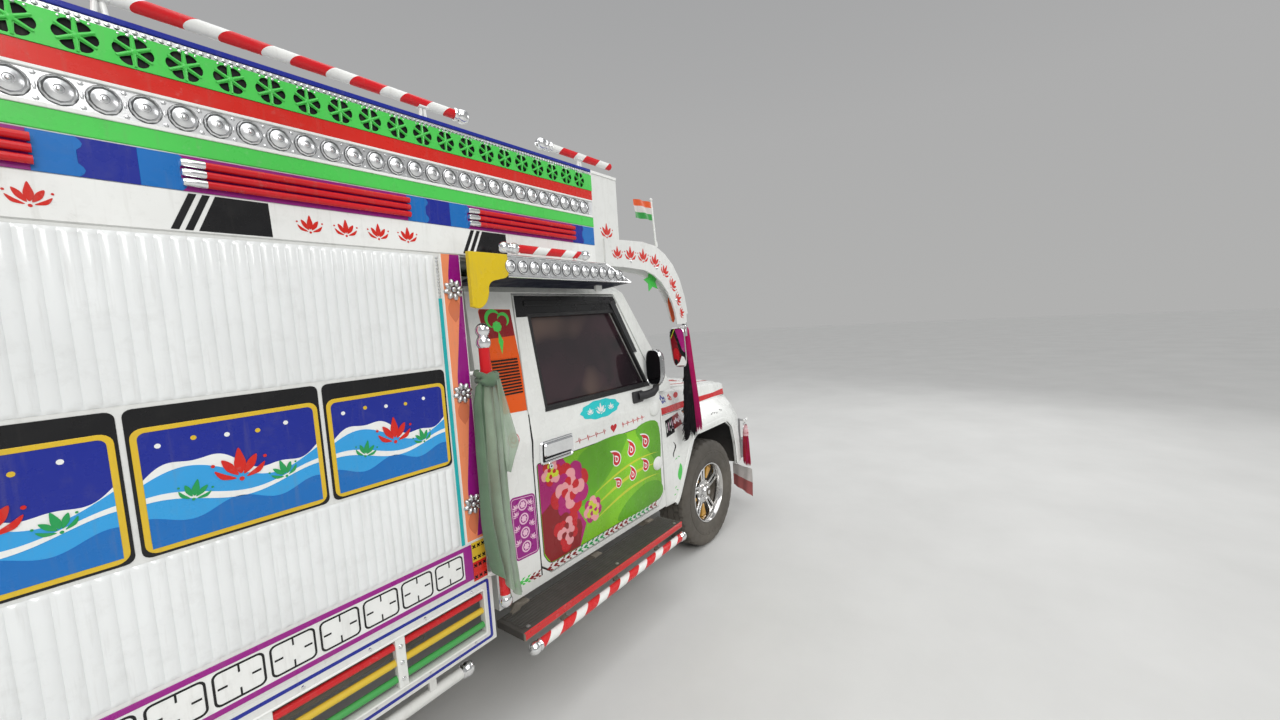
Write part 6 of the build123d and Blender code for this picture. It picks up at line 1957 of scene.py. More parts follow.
# ------------------------------------------------------------------ wings and bonnet
def wings():
    P = surface("front_fenders")
    m = Mesh()               # 0 red, 1 black, 2 magenta, 3 green, 4 white, 5 blue, 6 pink
    up = ((1350, 1026), (1500, 1014), (1600, 1006), (1700, 999), (2392, 984))
    lo = ((1350, 986), (1500, 976), (1600, 967), (1700, 958), (2392, 941))
    for (x0, a0), (x1, a1), (_, b0), (_, b1) in zip(up, up[1:], lo, lo[1:]):
        patch(m, [(x0, b0), (x1, b1), (x1, a1), (x0, a0)], P, 0.9, 0, 14)
        patch(m, [(x0, b0 - 5), (x1, b1 - 5), (x1, b1 - 2), (x0, b0 - 2)], P, 0.9, 1, 14)
    # small ornaments near the door
    for k, (x, z, r, mt, t) in enumerate(((1394, 1070, 30, 5, 0.3), (1436, 1062, 20, 5, 1.2), (1520, 1062, 23, 0, 0.0), (1546, 1050, 16, 0, 0.7))):
        for j in range(5):
            a = 2 * pi * j / 5 + t
            m.prism(circle(x + 0.6 * r * cos(a), z + 0.6 * r * sin(a), r * 0.32, 12), P, -0.5, 0.9, mt, 0, back=False)
    patch(m, [(1384, 842), (1482, 854), (1482, 950), (1384, 944)], P, 0.9, 1, 12)
    patch(m, [(1484, 872), (1588, 884), (1588, 954), (1484, 950)], P, 0.9, 7, 12)
    for k in range(4):
        x0 = 1392 + 23 * k
        mt = (4, 6, 4, 6)[k]
        m.prism([(x0, 872 + 8 * (k % 2)), (x0 + 6, 868 + 8 * (k % 2)), (x0 + 9, 915), (x0 + 5, 930 + 3 * k), (x0 + 1, 918)], P, 0.5, 1.5, mt, 0, back=False)
    for k in range(4):
        x0 = 1494 + 24 * k
        flower(m, P, x0 + 8, 912 + 10 * (k % 2), 13, [6, 4], 6, 1, 1.4)
    patch(m, circle(1640, 1056, 40, 20, 18), P, 0.9, 0, 10)
    # curl and leaf
    curl = []
    for k in range(18):
        t = k / 17
        curl.append((1450 + 16 * sin(5.4 * t), 800 - 90 * t, 2.0 + 4.5 * sin(pi * t)))
    m.prism([(x + w, z) for x, z, w in curl] + [(x - w, z) for x, z, w in curl[::-1]], P, -0.5, 0.9, 1, 0, back=False)
    m.prism(spline([(1500, 655), (1516, 628), (1512, 590), (1490, 552), (1470, 576), (1474, 610), (1486, 632)], 5, True), P, -0.5, 0.9, 3, 0, back=False)
    for x, z, t in ((1462, 694, 0.4), (1490, 700, -0.3), (1442, 520, 0.5), (1456, 500, -0.4), (1430, 478, 0.2)):
        m.prism([(x - 12 * cos(t), z - 12 * sin(t)), (x + 3 * sin(t), z - 3), (x + 12 * cos(t), z + 12 * sin(t)), (x, z + 4)], P, -0.5, 0.9, 3, 0, back=False)
    # dashes above the arch
    for x, z in ((1985, 868), (2010, 872), (2034, 868), (2060, 862), (2122, 874), (2136, 868)):
        m.prism([(x - 8, z - 5), (x + 8, z - 3), (x + 6, z + 3), (x - 8, z)], P, -0.5, 0.9, 1, 0, back=False)
    # pale ornament at the front end
    leaf(Shift(m, 6), lambda a, b, h: P(a, b, h), 2230, 1030 - 28, 1, 0)
    both_sides("wing_prints", m, [red, sign_black, magenta, bright_green, flat_white, navy, pale_pink, dark_red], slot="band_paint")
    # rolled lip round the wheel opening with a black seal line
    lip = Mesh()
    path = spline([(1442, 412), (1478, 450), (1560, 598), (1640, 742), (1668, 776), (1722, 795), (1900, 796), (2104, 796), (2164, 764), (2214, 728), (2246, 668), (2271, 600), (2284, 500), (2288, 424)], 5)
    pr = [(-4, -14), (-4, 4), (0, 7), (8, 8.5), (20, 8), (27, 5), (30, 0.5), (31, -1)]
    rows = [[] for _ in pr]
    seal = [[] for _ in range(5)]
    n = len(path)
    for i, (x, z) in enumerate(path):
        a, b = path[max(0, i - 1)], path[min(n - 1, i + 1)]
        dx, dz = b[0] - a[0], b[1] - a[1]
        l = math.hypot(dx, dz)
        nx, nz = -dz / l, dx / l
        y = min(P(x + nx * 14, z + nz * 14, 0)[1], P(x + nx * 26, z + nz * 26, 0)[1])
        y = max(y, -834.0)
        for j, (o, h) in enumerate(pr):
            rows[j].append((x + nx * o, y - h, z + nz * o))
        for j, (o, h) in enumerate([(-5, -6), (-7, -2), (-7, 3), (-5, 6), (-3, 6)]):
            seal[j].append((x + nx * o, y - h, z + nz * o))
    lip.grid(rows, 0, flip=True)
    lip.grid(seal, 1, flip=True)
    both_sides("wing_lips", lip, [white, rubber_seal], slot="white_paint")
    # side repeater lamps
    s = Mesh()
    y = P(1690, 936, 0)[1]
    s.prism(rounded([(1664, 925), (1716, 925), (1716, 949), (1664, 949)], 9, 4), lambda a, b, h: (a, y - h, b), -10, 4, 0, 2)
    s.prism(rounded([(1670, 930), (1710, 930), (1710, 944), (1670, 944)], 6, 4), lambda a, b, h: (a, y - h, b), 4, 9, 1, 2.5)
    both_sides("repeaters", s, [black_plastic, amber], slot="lamp_glass")


def bonnet_parts():
    top = BVHTree.FromPolygons([p.co * 1000 for p in NODES["bonnet"].data.vertices], [list(q.vertices) for q in NODES["bonnet"].data.polygons])

    def P(a, b, h):
        hit = top.ray_cast(Vector((a, b, 1400)), Vector((0, 0, -1)))
        return (a, b, (hit[0].z if hit[0] is not None else 1100) + h)
    m = Mesh()               # 0 white, 1 red, 2 black, 3 chrome
    # raised centre panel and two swages
    for s in (-1, 1):
        rows = []
        for j, (o, h) in enumerate([(-14, -1), (-8, 3), (0, 5), (8, 3), (14, -1)]):
            rows.append([P(x, s * (250 + (x - 1480) * -0.045) + o * s, h) for x in range(1490, 2431, 47)])
        m.grid(rows, 0, flip=s > 0)
        rows = []
        for j, (o, h) in enumerate([(-9, -1), (-5, 2.5), (0, 3.5), (5, 2.5), (9, -1)]):
            rows.append([P(x, s * (560 - (x - 1480) * 0.028) + o * s, h) for x in range(1500, 2431, 47)])
        m.grid(rows, 0, flip=s > 0)
        # red line beside the outer swage and ornaments
        rows = [[P(x, s * (590 - (x - 1480) * 0.028 + o), 1.0) for x in range(1500, 2431, 47)] for o in (0, 22)]
        m.grid(rows, 1, flip=s > 0)
        for x, r, t in ((1700, 60, 0.0), (2050, 70, 0.0), (2330, 46, 0.0)):
            leaf(Shift(m, 1), lambda a, b, h, s=s: P(a, b, h + 0.8), x, s * 400, r, -pi / 2)
        # rubber stop
        m.lathe([(0, 16), (6, 16), (9, 12), (10, 0)], P(1490, s * 470, -1), (0, 0, 1), 16, 2)
    leaf(Shift(m, 1), lambda a, b, h: P(a, b, h + 0.8), 2000, 0, 120, -pi / 2)
    # bright nose moulding
    rows = [[P(2424 + o, y, h) for y in range(-600, 601, 40)] for o, h in ((-8, 0), (-5, 4), (2, 6), (9, 4), (13, 0))]
    m.grid(rows, 3, flip=True)
    make("bonnet_trim", m, [white, band_red, rubber_seal, ch], "bonnet", slot="white_paint")
    # wipers on the cab
    w = Mesh()
    (x0, z0), (x1, z1) = (1455.0, 1165.0), (1085.0, 1728.0)
    L = math.hypot(x1 - x0, z1 - z0)
    ux, uz = (x1 - x0) / L, (z1 - z0) / L
    nx, nz = -uz * -1, ux * -1

    def S(a, b, h):
        """a across (left positive), b up the screen, h out of it."""
        return (x0 + ux * b + nx * h, a, z0 + uz * b + nz * h)
    for yy, s in ((-330, 1), (330, -1)):
        w.tube([S(yy - 60, 34, 10), S(yy - 60, 34, 24)], 13, 14, 0)
        w.tube([S(yy - 60, 34, 24), S(yy + 40, 120, 26), S(yy + 160, 230, 20)], [7, 5.5, 4], 10, 0)
        w.tube([S(yy - 90, 262, 13), S(yy + 140, 238, 14), S(yy + 380 if yy < 0 else yy + 200, 200, 13)], 4.5, 8, 0)
    make("wipers", w, [black_plastic], slot="black_plastic")


# ------------------------------------------------------------------ front end
lens = Graph("lamp_lens", Roughness=0.06, IOR=1.45, Transmission_Weight=0.9)
lens.set("Base Color", (0.92, 0.94, 0.94))
lens.bump(lens.wave(55, "Y", 0.0, 0.0), 0.35, 0.002)
lens = lens.m
bulb = paint("bulb_glass", (0.85, 0.85, 0.82), 0.1, dust=0.0, coat=1.0)


ch_bar = chrome("bumper_plate", (0.72, 0.73, 0.74), 0.16, 0.3, 0.22)


def front():
    m = Mesh()               # 0 black, 1 chrome, 2 dark, 3 white, 4 red, 5 amber
    m.box(2424, 2428, -330, 330, 690, 950, 2)
    for k in range(8):
        z = 706 + 31.5 * k
        m.box(2440, 2466, -328, 328, z, z + 11, 1 if k % 2 else 0, 3)
    for k in range(7):
        y = -300 + 100 * k
        m.box(2430, 2446, y - 4, y + 4, 692, 948, 0, 1.5)
    o = rounded([(-346, 676), (346, 676), (346, 964), (-346, 964)], 26, 6)
    i = rounded([(-326, 694), (326, 694), (326, 946), (-326, 946)], 18, 6)
    F = lambda a, b, h: (2470 + h, a, b)
    m.prism(o, F, -4, 9, 1, 4, [i])
    # round boss in the middle
    m.lathe([(0, 40), (5, 42), (10, 38), (12, 26), (14, 0)], (2468, 0, 822), (1, 0, 0), 30, 1)
    for s in (-1, 1):
        m.lathe([(-2, 97), (-2, 116), (6, 119), (12, 112), (13, 101), (8, 97)], (2470, s * 490, 820), (1, 0, 0), 48, 1)
        # turn lamps below
        q = rounded([(s * 490 - 84, 628), (s * 490 + 84, 628), (s * 490 + 84, 678), (s * 490 - 84, 678)], 12, 4)
        m.prism(q, F, -2, 5, 0, 2)
        q = rounded([(s * 490 - 76, 634), (s * 490 + 76, 634), (s * 490 + 76, 672), (s * 490 - 76, 672)], 9, 4)
        m.prism(q, F, 5, 13, 5, 4)
        for k in range(5):
            y = s * (360 + 0) + s * 52 * k
            m.box(2471, 2475, min(y, y + s * 30), max(y, y + s * 30), 572, 600, 4 if k % 2 else 3, 1)
    for k in range(6):
        m.box(2452, 2468, -322, 322, 596 + 11 * k, 601 + 11 * k, 0, 1)
    make("grille_trim", m, [black_plastic, ch, recess, flat_white, band_red, amber], slot="chrome")
    g = Mesh()
    for s in (-1, 1):
        c = (2418, s * 490, 820)
        g.lathe([(0, 20), (6, 40), (18, 66), (38, 86), (52, 94), (56, 95)], c, (1, 0, 0), 48, 0)
        g.lathe([(0, 0), (0, 22)], c, (1, 0, 0), 48, 0)
        g.lathe([(4, 9), (30, 9), (38, 6), (40, 0)], c, (1, 0, 0), 16, 2)
        g.lathe([(56, 95), (60, 93), (66, 78), (71, 52), (74, 24), (75, 0)], c, (1, 0, 0), 48, 1)
    make("lamp_units", g, [mirror_glass, lens, bulb], slot="lamp_glass", stands_for=("headlamps",))
    # bumper: stepped channel with slanting stripes
    b = Mesh()               # 0 steel, 1 white, 2 red, 3 black, 4 chrome
    prof = [(2512, 422), (2582, 422), (2588, 426), (2590, 434), (2590, 456), (2588, 460), (2582, 462), (2580, 466), (2580, 514), (2582, 518), (2588, 520), (2590, 524), (2590, 546), (2588, 554), (2582, 558), (2512, 558)]
    ys = [-799, -797, -770, -741, -738] + [-738 + 82 * k for k in range(1, 18)] + [738, 741, 770, 797, 799]
    rows = []
    for y in ys:
        back = max(0.0, abs(y) - 740)
        q = 2 if abs(y) > 798 else 0
        rows.append([(max(2514, min(x, 2590 - back)) - (q if x > 2520 else 0), y, z + (q if z < 490 else -q)) for x, z in prof])
    b.grid(rows, 0, wrap=True, smooth=True, flip=True)
    for r, d in ((rows[0], 1), (rows[-1], -1)):
        b.add(r, [tuple(range(len(r)))[::d]], 0, False)
    for k in range(18):
        y = -720 + 80 * k
        b.prism([(y, 468), (y + 40, 468), (y + 66, 512), (y + 26, 512)], lambda a, b2, h: (2580 + h, a, b2), -0.5, 1.2, 2 if k % 2 else 1, 0, back=False)
    b.prism(rounded([(-260, 566), (260, 566), (260, 676), (-260, 676)], 8, 4), lambda a, b2, h: (2612 + h, a, b2), -3, 0, 1, 1)
    b.prism(rounded([(-252, 574), (252, 574), (252, 668), (-252, 668)], 6, 4), lambda a, b2, h: (2612 + h, a, b2), 0, 1.5, 3, 0.5, [rounded([(-249, 577), (249, 577), (249, 665), (-249, 665)], 5, 4)])
    for s in (-1, 1):
        for z in (450, 540):
            b.lathe([(0, 13), (3, 13), (8, 8), (9, 0)], (2590, s * 250, z), (1, 0, 0), 14, 4)
    make("bumper_trim", b, [ch_bar, flat_white, band_red, sign_black, ch], slot="steel", stands_for=("front_bumper",))


wheels()
wings()
bonnet_parts()
front()


# ------------------------------------------------------------------ running boards and side racks
board_top = plastic("board_rubber", (0.018, 0.0175, 0.017), 0.62, 0.2, dust=0.16, scale=300)
rod_green = paint("rod_green", (0.02, 0.34, 0.06), 0.26, dust=0.25)
rod_yellow = paint("rod_yellow", (0.72, 0.50, 0.02), 0.26, dust=0.25)


def steps():
    m = Mesh()               # 0 rubber, 1 red, 2 dark steel
    m.box(108, 1237, -963, -806, 385, 414.5, 0, 2)
    m.prism([(112, 386), (1233, 386), (1233, 412), (112, 412)], on_side(963), 0, 8, 1, 3)
    m.box(112, 1233, -972, -964, 411, 417.5, 1, 2.0)
    for i in range(8):
        y = -936 + 16 * i
        m.box(126, 1222, y, y + 8, 414, 417.5, 0, 1.2)
    for x in (150, 690, 1196):
        m.lathe([(0, 9), (2.5, 9), (5, 5), (5.5, 0)], (x, -943, 414), (0, 0, 1), 14, 2)
    both_sides("board_trim", m, [board_top, red, steel], slot="rubber")


def racks():
    m, r = Mesh(), Mesh()
    F = on_side(883)
    for x0, x1 in ((-985.0, 50.0), (-2500.0, -1850.0)):
        o = rounded([(x0 + 14, 422), (x1 - 14, 422), (x1 - 14, 648), (x0 + 14, 648)], 10, 4)
        i = rounded([(x0 + 24, 432), (x1 - 24, 432), (x1 - 24, 638), (x0 + 24, 638)], 6, 4)
        m.prism(o, F, -0.5, 1.2, 0, 0.3, [i], back=False)
        # rolled edge of the opening
        o = rounded([(x0 + 36, 446), (x1 - 36, 446), (x1 - 36, 618), (x0 + 36, 618)], 8, 4)
        i = rounded([(x0 + 42, 452), (x1 - 42, 452), (x1 - 42, 612), (x0 + 42, 612)], 5, 4)
        m.prism(o, F, -1, 5, 1, 1.8, [i], back=False)
        n = int((x1 - x0) / 150)
        for k in range(n):
            x = x0 + (x1 - x0) * (k + 0.5) / n
            domes(m, F, [(x, 627.5)], 5.5, 4.5, 10, 4)
            domes(m, F, [(x, 439)], 4.5, 4, 10, 4)
        for z, mt in ((585, 1), (532, 2), (479, 3)):
            r.tube([(x0 + 41, -869, z), (x1 - 41, -869, z)], 11.2, 14, mt - 1)
        for t in (1 / 3, 2 / 3) if x1 - x0 > 800 else (0.5,):
            x = x0 + (x1 - x0) * t
            m.box(x - 15, x + 15, -885, -870, 452, 612, 1, 1.5)
            for z in (479, 532, 585):
                m.lathe([(0, 7), (2, 7), (4, 4), (4.2, 0)], (x, -885, z), (0, -1, 0), 10, 4)
    m.ball((-66, -862, 352), 26, 18, 4)
    m.lathe([(0, 19.5), (4, 24), (10, 24), (14, 20)], (-92, -862, 352), (1, 0, 0), 20, 4)
    m.ball((-974, -862, 352), 26, 18, 4)
    both_sides("rack_trim", m, [navy, white, navy, navy, ch], slot="chrome")
    both_sides("rack_rods", r, [red, rod_yellow, rod_green], slot="rod_paint")


# ------------------------------------------------------------------ rear end
tail_red = plastic("tail_red", (0.45, 0.008, 0.01), 0.16, 0.5, dust=0.18, scale=900)
tail_amber = plastic("tail_amber", (0.70, 0.20, 0.01), 0.16, 0.5, dust=0.18, scale=900)
tail_clear = plastic("tail_clear", (0.72, 0.72, 0.70), 0.14, 0.5, dust=0.18, scale=900)


def rear():
    R = lambda a, b, h: (-2560 - h, -a, b)          # a to the right as seen from behind is -y
    m = Mesh()      # 0 white 1 salmon 2 magenta 3 dark salmon 4 purple 5 black 6 red 7 green 8 gold 9 navy 10 sky 11 mid blue
    s = Mesh()
    for k in (-1, 1):
        a0, a1 = (812, 880) if k > 0 else (-880, -812)
        # upright strips with rosettes on both posts, with a painted shadow below each rosette
        w = Mesh()
        wave_strip(w, R, a0, a1, (1880, 1640, 1380, 1120), 845.0, 2120.0)
        m.join(w)
        for z in (1880, 1640, 1380, 1120):
            rosette(s, R, (a0 + a1) / 2, z, 31)
    # sill with the crossed tiles
    q = Mesh()
    purple_strip(q, R, -880, 880 + 16, 706, 826)
    q.k = [(4, 0, 5, 6, 7)[i] for i in q.k]
    q = Mesh().join(q, lambda p: (p[0], max(-881.0, min(881.0, p[1])), p[2]))
    m.join(q)
    # header: blue edge, boss row and lotus row
    strip(m, R, -881, 881, 2232, 2250, 5, 9, 1.2)
    strip(m, R, -881, 881, 2138, 2146, 4, 7, 0.8)
    strip(m, R, -881, 881, 2146, 2184, 2.5, 0, 0.5)
    strip(m, R, -881, 881, 2184, 2190, 4, 6, 0.8)
    strip(m, R, -881, 881, 2226, 2232, 4, 6, 0.8)
    for i in range(23):
        a = -836 + 76 * i
        leaf(Shift(m, (6, 7, 9)[i % 3]), lambda u, v, h: R(u, v, h + 2.2), a, 2163, 15, 0)
    for i in range(33):
        boss(s, R, -850 + 53.1 * i, 2208, 20, 16.5, 16, 0, 1.0)
    make("rear_paint", m, [flat_white, salmon, magenta, salmon_painted_shadow, purple, sign_black, band_red, deep_green, gold_yellow, navy, sky_blue, mid_blue], slot="band_paint")
    make("rear_bosses", s, cast_silver, slot="chrome")
    # tailgate
    g, t = Mesh(), Mesh()
    G = lambda a, b, h: (-2562 - h, -a, b)
    for i in range(3):
        x0 = -780 + 527 * i
        painted_panel(g, G, x0, x0 + 506, 930, 1290)
    for i in range(24):
        a = -770 + 64.2 * i
        g.prism([(a, 1306), (a + 32, 1306), (a + 52, 1338), (a + 20, 1338)], G, 0, 1.4, 6 if i % 2 else 3, 0, back=False)
    n = 22
    for i in range(n):
        a = -760 + 1520 * i / (n - 1)
        leaf(Shift(g, (6, 7)[i % 2]), lambda u, v, h: G(u, v, h + 0.9), a, 1362, 17, 0)
    strip(g, G, -792, 792, 1344, 1348, 2.2, 2, 0.4)
    strip(g, G, -792, 792, 1300, 1303, 2.2, 2, 0.4)
    strip(g, G, -792, 792, 884, 888, 2.2, 2, 0.4)
    strip(g, G, -792, 792, 918, 922, 2.2, 2, 0.4)
    for i in range(44):
        a = -774 + 36 * i
        g.prism([(a - 12, 903), (a, 893), (a + 12, 903), (a, 913)], G, 0, 1.2, (6, 2, 7, 1)[i % 4], 0, back=False)
    # folded top edge, hinge straps and latches
    t.tube([(-2540, -797, 1424), (-2540, 797, 1424)], 11, 12, 0)
    for y in (-560, 0, 560):
        t.prism(rounded([(-y - 34, 872), (-y + 34, 872), (-y + 22, 1010), (-y - 22, 1010)], 12, 4), G, 2.4, 9, 1, 2)
        for z in (900, 950, 992):
            t.lathe([(0, 8), (3, 8), (6, 4.5), (6.5, 0)], (-2571, y, z), (-1, 0, 0), 12, 1)
    for k in (-1, 1):
        t.prism(rounded([(k * 740 - 26, 1384), (k * 740 + 26, 1384), (k * 740 + 26, 1412), (k * 740 - 26, 1412)], 6, 3), G, 0, 7, 1, 2)
        t.tube([(-2572, -k * 700, 1398), (-2572, -k * 778, 1398)], 8, 10, 1)
        t.tube([(-2572, -k * 722, 1398), (-2590, -k * 722, 1398), (-2592, -k * 722, 1360)], 5, 8, 1)
        t.ball((-2592, -k * 722, 1354), 9, 12, 2)
    make("gate_paint", g, [sign_black, gold_yellow, navy, flat_white, sky_blue, mid_blue, band_red, deep_green], "tailgate", slot="band_paint")
    make("gate_fittings", t, [white, steel, rod_red], "tailgate", slot="steel")
    # inner face of the gate: pressed ribs
    i = Mesh()
    for k in range(9):
        y = -720 + 180 * k
        i.box(-2518.5, -2510, y - 14, y + 14, 890, 1404, 0, 5)
    i.box(-2518.5, -2512, -795, 795, 1396, 1414, 0, 3)
    make("gate_ribs", i, [white], "tailgate", slot="white_paint")


def rear_low():
    m = Mesh()                     # 0 black, 1 white, 2 red, 3 chrome
    m.box(-2618.4, -2565, -799, 799, 470.5, 579.5, 0, 5)
    B = lambda a, b, h: (-2618.4 - h, -a, b)
    n = 20
    w = 1560 / n
    for i in range(n):
        a = -780 + w * i
        sl = 34
        p = [(max(-790, min(790, a - sl / 2)), 480), (max(-790, min(790, a + w - sl / 2)), 480),
             (max(-790, min(790, a + w + sl / 2)), 570), (max(-790, min(790, a + sl / 2)), 570)]
        m.prism(p, B, 0, 0.8, 1 if i % 2 else 2, 0, back=False)
    m.prism(rounded([(-240, 592), (240, 592), (240, 692), (-240, 692)], 8, 4), lambda a, b, h: (-2596 - h, -a, b), 0, 4, 0, 1.5)
    m.prism(rounded([(-234, 598), (234, 598), (234, 686), (-234, 686)], 6, 4), lambda a, b, h: (-2596 - h, -a, b), 4, 5.5, 1, 0.6)
    m.box(-2600, -2560, -14, 14, 560, 600, 0, 2)
    for k in (-1, 1):
        m.box(-2598, -2590, -k * 150 - 9, -k * 150 + 9, 560, 700, 0, 2)
    make("rear_bumper_paint", m, [black_under, flat_white, band_red, ch], slot="black_frame", stands_for=("rear_bumper",))
    # lamps: three ribbed lenses in a dark housing a side
    l = Mesh()                     # 0 housing 1 red 2 amber 3 clear
    L = lambda a, b, h: (-2588 - h, -a, b)
    l.prism(rounded([(558, 710), (842, 710), (842, 802), (558, 802)], 12, 5), L, -30, 4, 0, 3)
    for a0, a1, mt in ((566, 652, 3), (656, 742, 1), (746, 834, 2)):
        l.prism(rounded([(a0, 718), (a1, 718), (a1, 794), (a0, 794)], 9, 4), L, 4, 11, mt, 4)
        for k in range(9):
            z = 724 + 7.8 * k
            l.box(-2600.3, -2598, -a0 - 6, -a1 + 6, z, z + 3, mt, 0.8)
    both = Mesh().join(l).join(l.mirrored())
    make("tail_units", both, [black_plastic, tail_red, tail_amber, tail_clear], slot="tail_lens", stands_for=("tail_lamps",))
    # mud flaps: strip with bolts, plain coloured ornament
    f = Mesh()
    M = lambda a, b, h: (-1813 - h, -a, b)
    f.prism([(614, 742), (826, 742), (826, 770), (614, 770)], M, 0, 3, 1, 1)
    for k in range(5):
        f.lathe([(0, 7), (4, 7), (6, 4), (6, 0)], (-1816, -(632 + 44 * k), 756), (-1, 0, 0), 10, 1)
    o = spline([(720, 330), (770, 380), (790, 440), (760, 500), (720, 520), (680, 500), (650, 440), (670, 380)], 5, True)
    f.prism(o, M, 0, 2, 2, 0.4)
    leaf(Shift(f, 3), lambda a, b, h: M(a, b, h + 2), 720, 425, 55, 0)
    f.prism([(620, 196), (820, 196), (820, 226), (620, 226)], M, 0, 2, 3, 0.5)
    both_sides("flap_trim", f, [rubber, steel, flat_white, band_red], slot="rubber")


# ------------------------------------------------------------------ inside of the load body and the box over the cab
def inside():
    m = Mesh()
    # inner wall ribs and the rail under the top boards
    for k in range(17):
        x = -2420 + 150 * k
        m.box(x - 20, x + 20, -853.5, -838, 884, 1808, 0, 6)
    m.box(-2496, 4, -853.5, -834, 1196, 1226, 0, 4)
    m.box(-2496, 4, -853.5, -834, 1780, 1812, 0, 4)
    for k in range(9):
        x = -2380 + 290 * k
        for z in (930, 1211, 1770):
            m.lathe([(0, 9), (3, 8), (6, 5), (6.5, 0)], (x, -834 if z == 1211 else -853, z), (0, 1, 0), 10, 1)
    # tie hooks
    for k in range(5):
        x = -2200 + 480 * k
        m.tube([(x - 28, -850, 1330), (x - 28, -826, 1330), (x + 28, -826, 1330), (x + 28, -850, 1330)], 5, 8, 1)
    both_sides("wall_ribs", m, [white, steel], slot="white_paint")
    d = Mesh()
    # chequer plate deck: seams and raised bars
    for j in range(27):
        for i in range(40):
            x = -2470 + 62 * i + (31 if j % 2 else 0)
            y = -806 + 62 * j
            a = pi / 4 if (i + j) % 2 else -pi / 4
            c, s = cos(a) * 19, sin(a) * 19
            p, q = cos(a) * 4.5, sin(a) * 4.5
            v = [(x - c, y - s, 880), (x + q, y - p, 880), (x + c, y + s, 880), (x - q, y + p, 880), (x - c * 0.75, y - s * 0.75, 882), (x + c * 0.75, y + s * 0.75, 882)]
            d.add(v, [(0, 1, 5, 4), (1, 2, 5), (2, 3, 4, 5), (3, 0, 4)], 0, False)
    for x in (-1660, -830):
        d.box(x - 3, x + 3, -850, 850, 880, 881.5, 0, 0.5)
    make("deck_pattern", d, [MATS["deck_grey"]], slot="deck_metal")
    # bulkhead: window frame, ribs
    b = Mesh()
    P = lambda a, b_, h: (8 - h, -a, b_)
    b.prism(rounded([(-512, 1168), (512, 1168), (512, 1612), (-512, 1612)], 20, 4), P, 0, 8, 0, 3, [rounded([(-480, 1200), (480, 1200), (480, 1580), (-480, 1580)], 8, 4)])
    for k in range(9):
        a = -760 + 190 * k
        b.box(-4, 8, a - 20, a + 20, 886, 1150, 0, 6)
        if abs(a) > 540:
            b.box(-4, 8, a - 20, a + 20, 1160, 1806, 0, 6)
    for k in range(6):
        b.tube([(24, -400 + 160 * k, 1196), (24, -400 + 160 * k, 1584)], 8, 10, 1)
    make("bulkhead_trim", b, [white, steel], slot="white_paint")
    # front board of the box over the cab, seen from ahead, and its painted bands
    f, s = Mesh(), Mesh()
    F = lambda a, b_, h: (940 + h, a, b_)
    strip(f, F, -880, 880, 2238, 2250, 7, 9, 1.5)
    strip(f, F, -880, 880, 2128, 2222, 3, 7, 0.8)
    strip(f, F, -880, 880, 2100, 2126, 3, 6, 0.6)
    strip(f, F, -880, 880, 2034, 2098, 1.5, 3, 0.4)
    strip(f, F, -880, 880, 2004, 2032, 3, 7, 0.6)
    for i in range(27):
        boss(s, F, -845 + 65 * i, 2066, 27, 26, 18, 0, 1.0)
    for i in range(22):
        rosette(s, F, -840 + 80 * i, 2175, 30)
    for i in range(3):
        x0 = -850 + 572 * i
        painted_panel(f, F, x0, x0 + 556, 1810, 1996)
    make("box_front_paint", f, [sign_black, gold_yellow, navy, flat_white, sky_blue, mid_blue, band_red, bright_green, deep_green, navy], slot="band_paint")
    make("box_front_bosses", s, cast_silver, slot="chrome")
    # inner faces of the top boards: battens
    t = Mesh()
    for k in range(12):
        x = -2440 + 300 * k
        t.box(x - 18, x + 18, -853.5, -842, 1822, 2240, 0, 4)
    t.box(-2496, 900, -853.5, -838, 2020, 2046, 0, 3)
    both_sides("board_battens", t, [white], slot="white_paint")


steps()
racks()
rear()
rear_low()
inside()


# ------------------------------------------------------------------ seats
def seat_cloth():
    g = Graph("seat_weave", Roughness=0.85, Sheen_Weight=0.25, Sheen_Roughness=0.4)
    n = g.noise(5, 5, 0.6)
    w = g.wave(900, "X", 0.4, 2.0)
    v = g.wave(900, "Z", 0.4, 2.0)
    base = g.mix(g.range(n, 0.3, 0.7), (0.15, 0.135, 0.115), (0.22, 0.20, 0.17))
    base = g.mix(g.range(w, 0.3, 0.8, 0.0, 0.35), base, (0.06, 0.055, 0.05))
    base = g.mix(g.range(v, 0.4, 0.9, 0.0, 0.25), base, (0.30, 0.10, 0.08))
    g.set("Base Color", base)
    g.bump(g.math("ADD", w, v), 0.3, 0.0008)
    return g.m


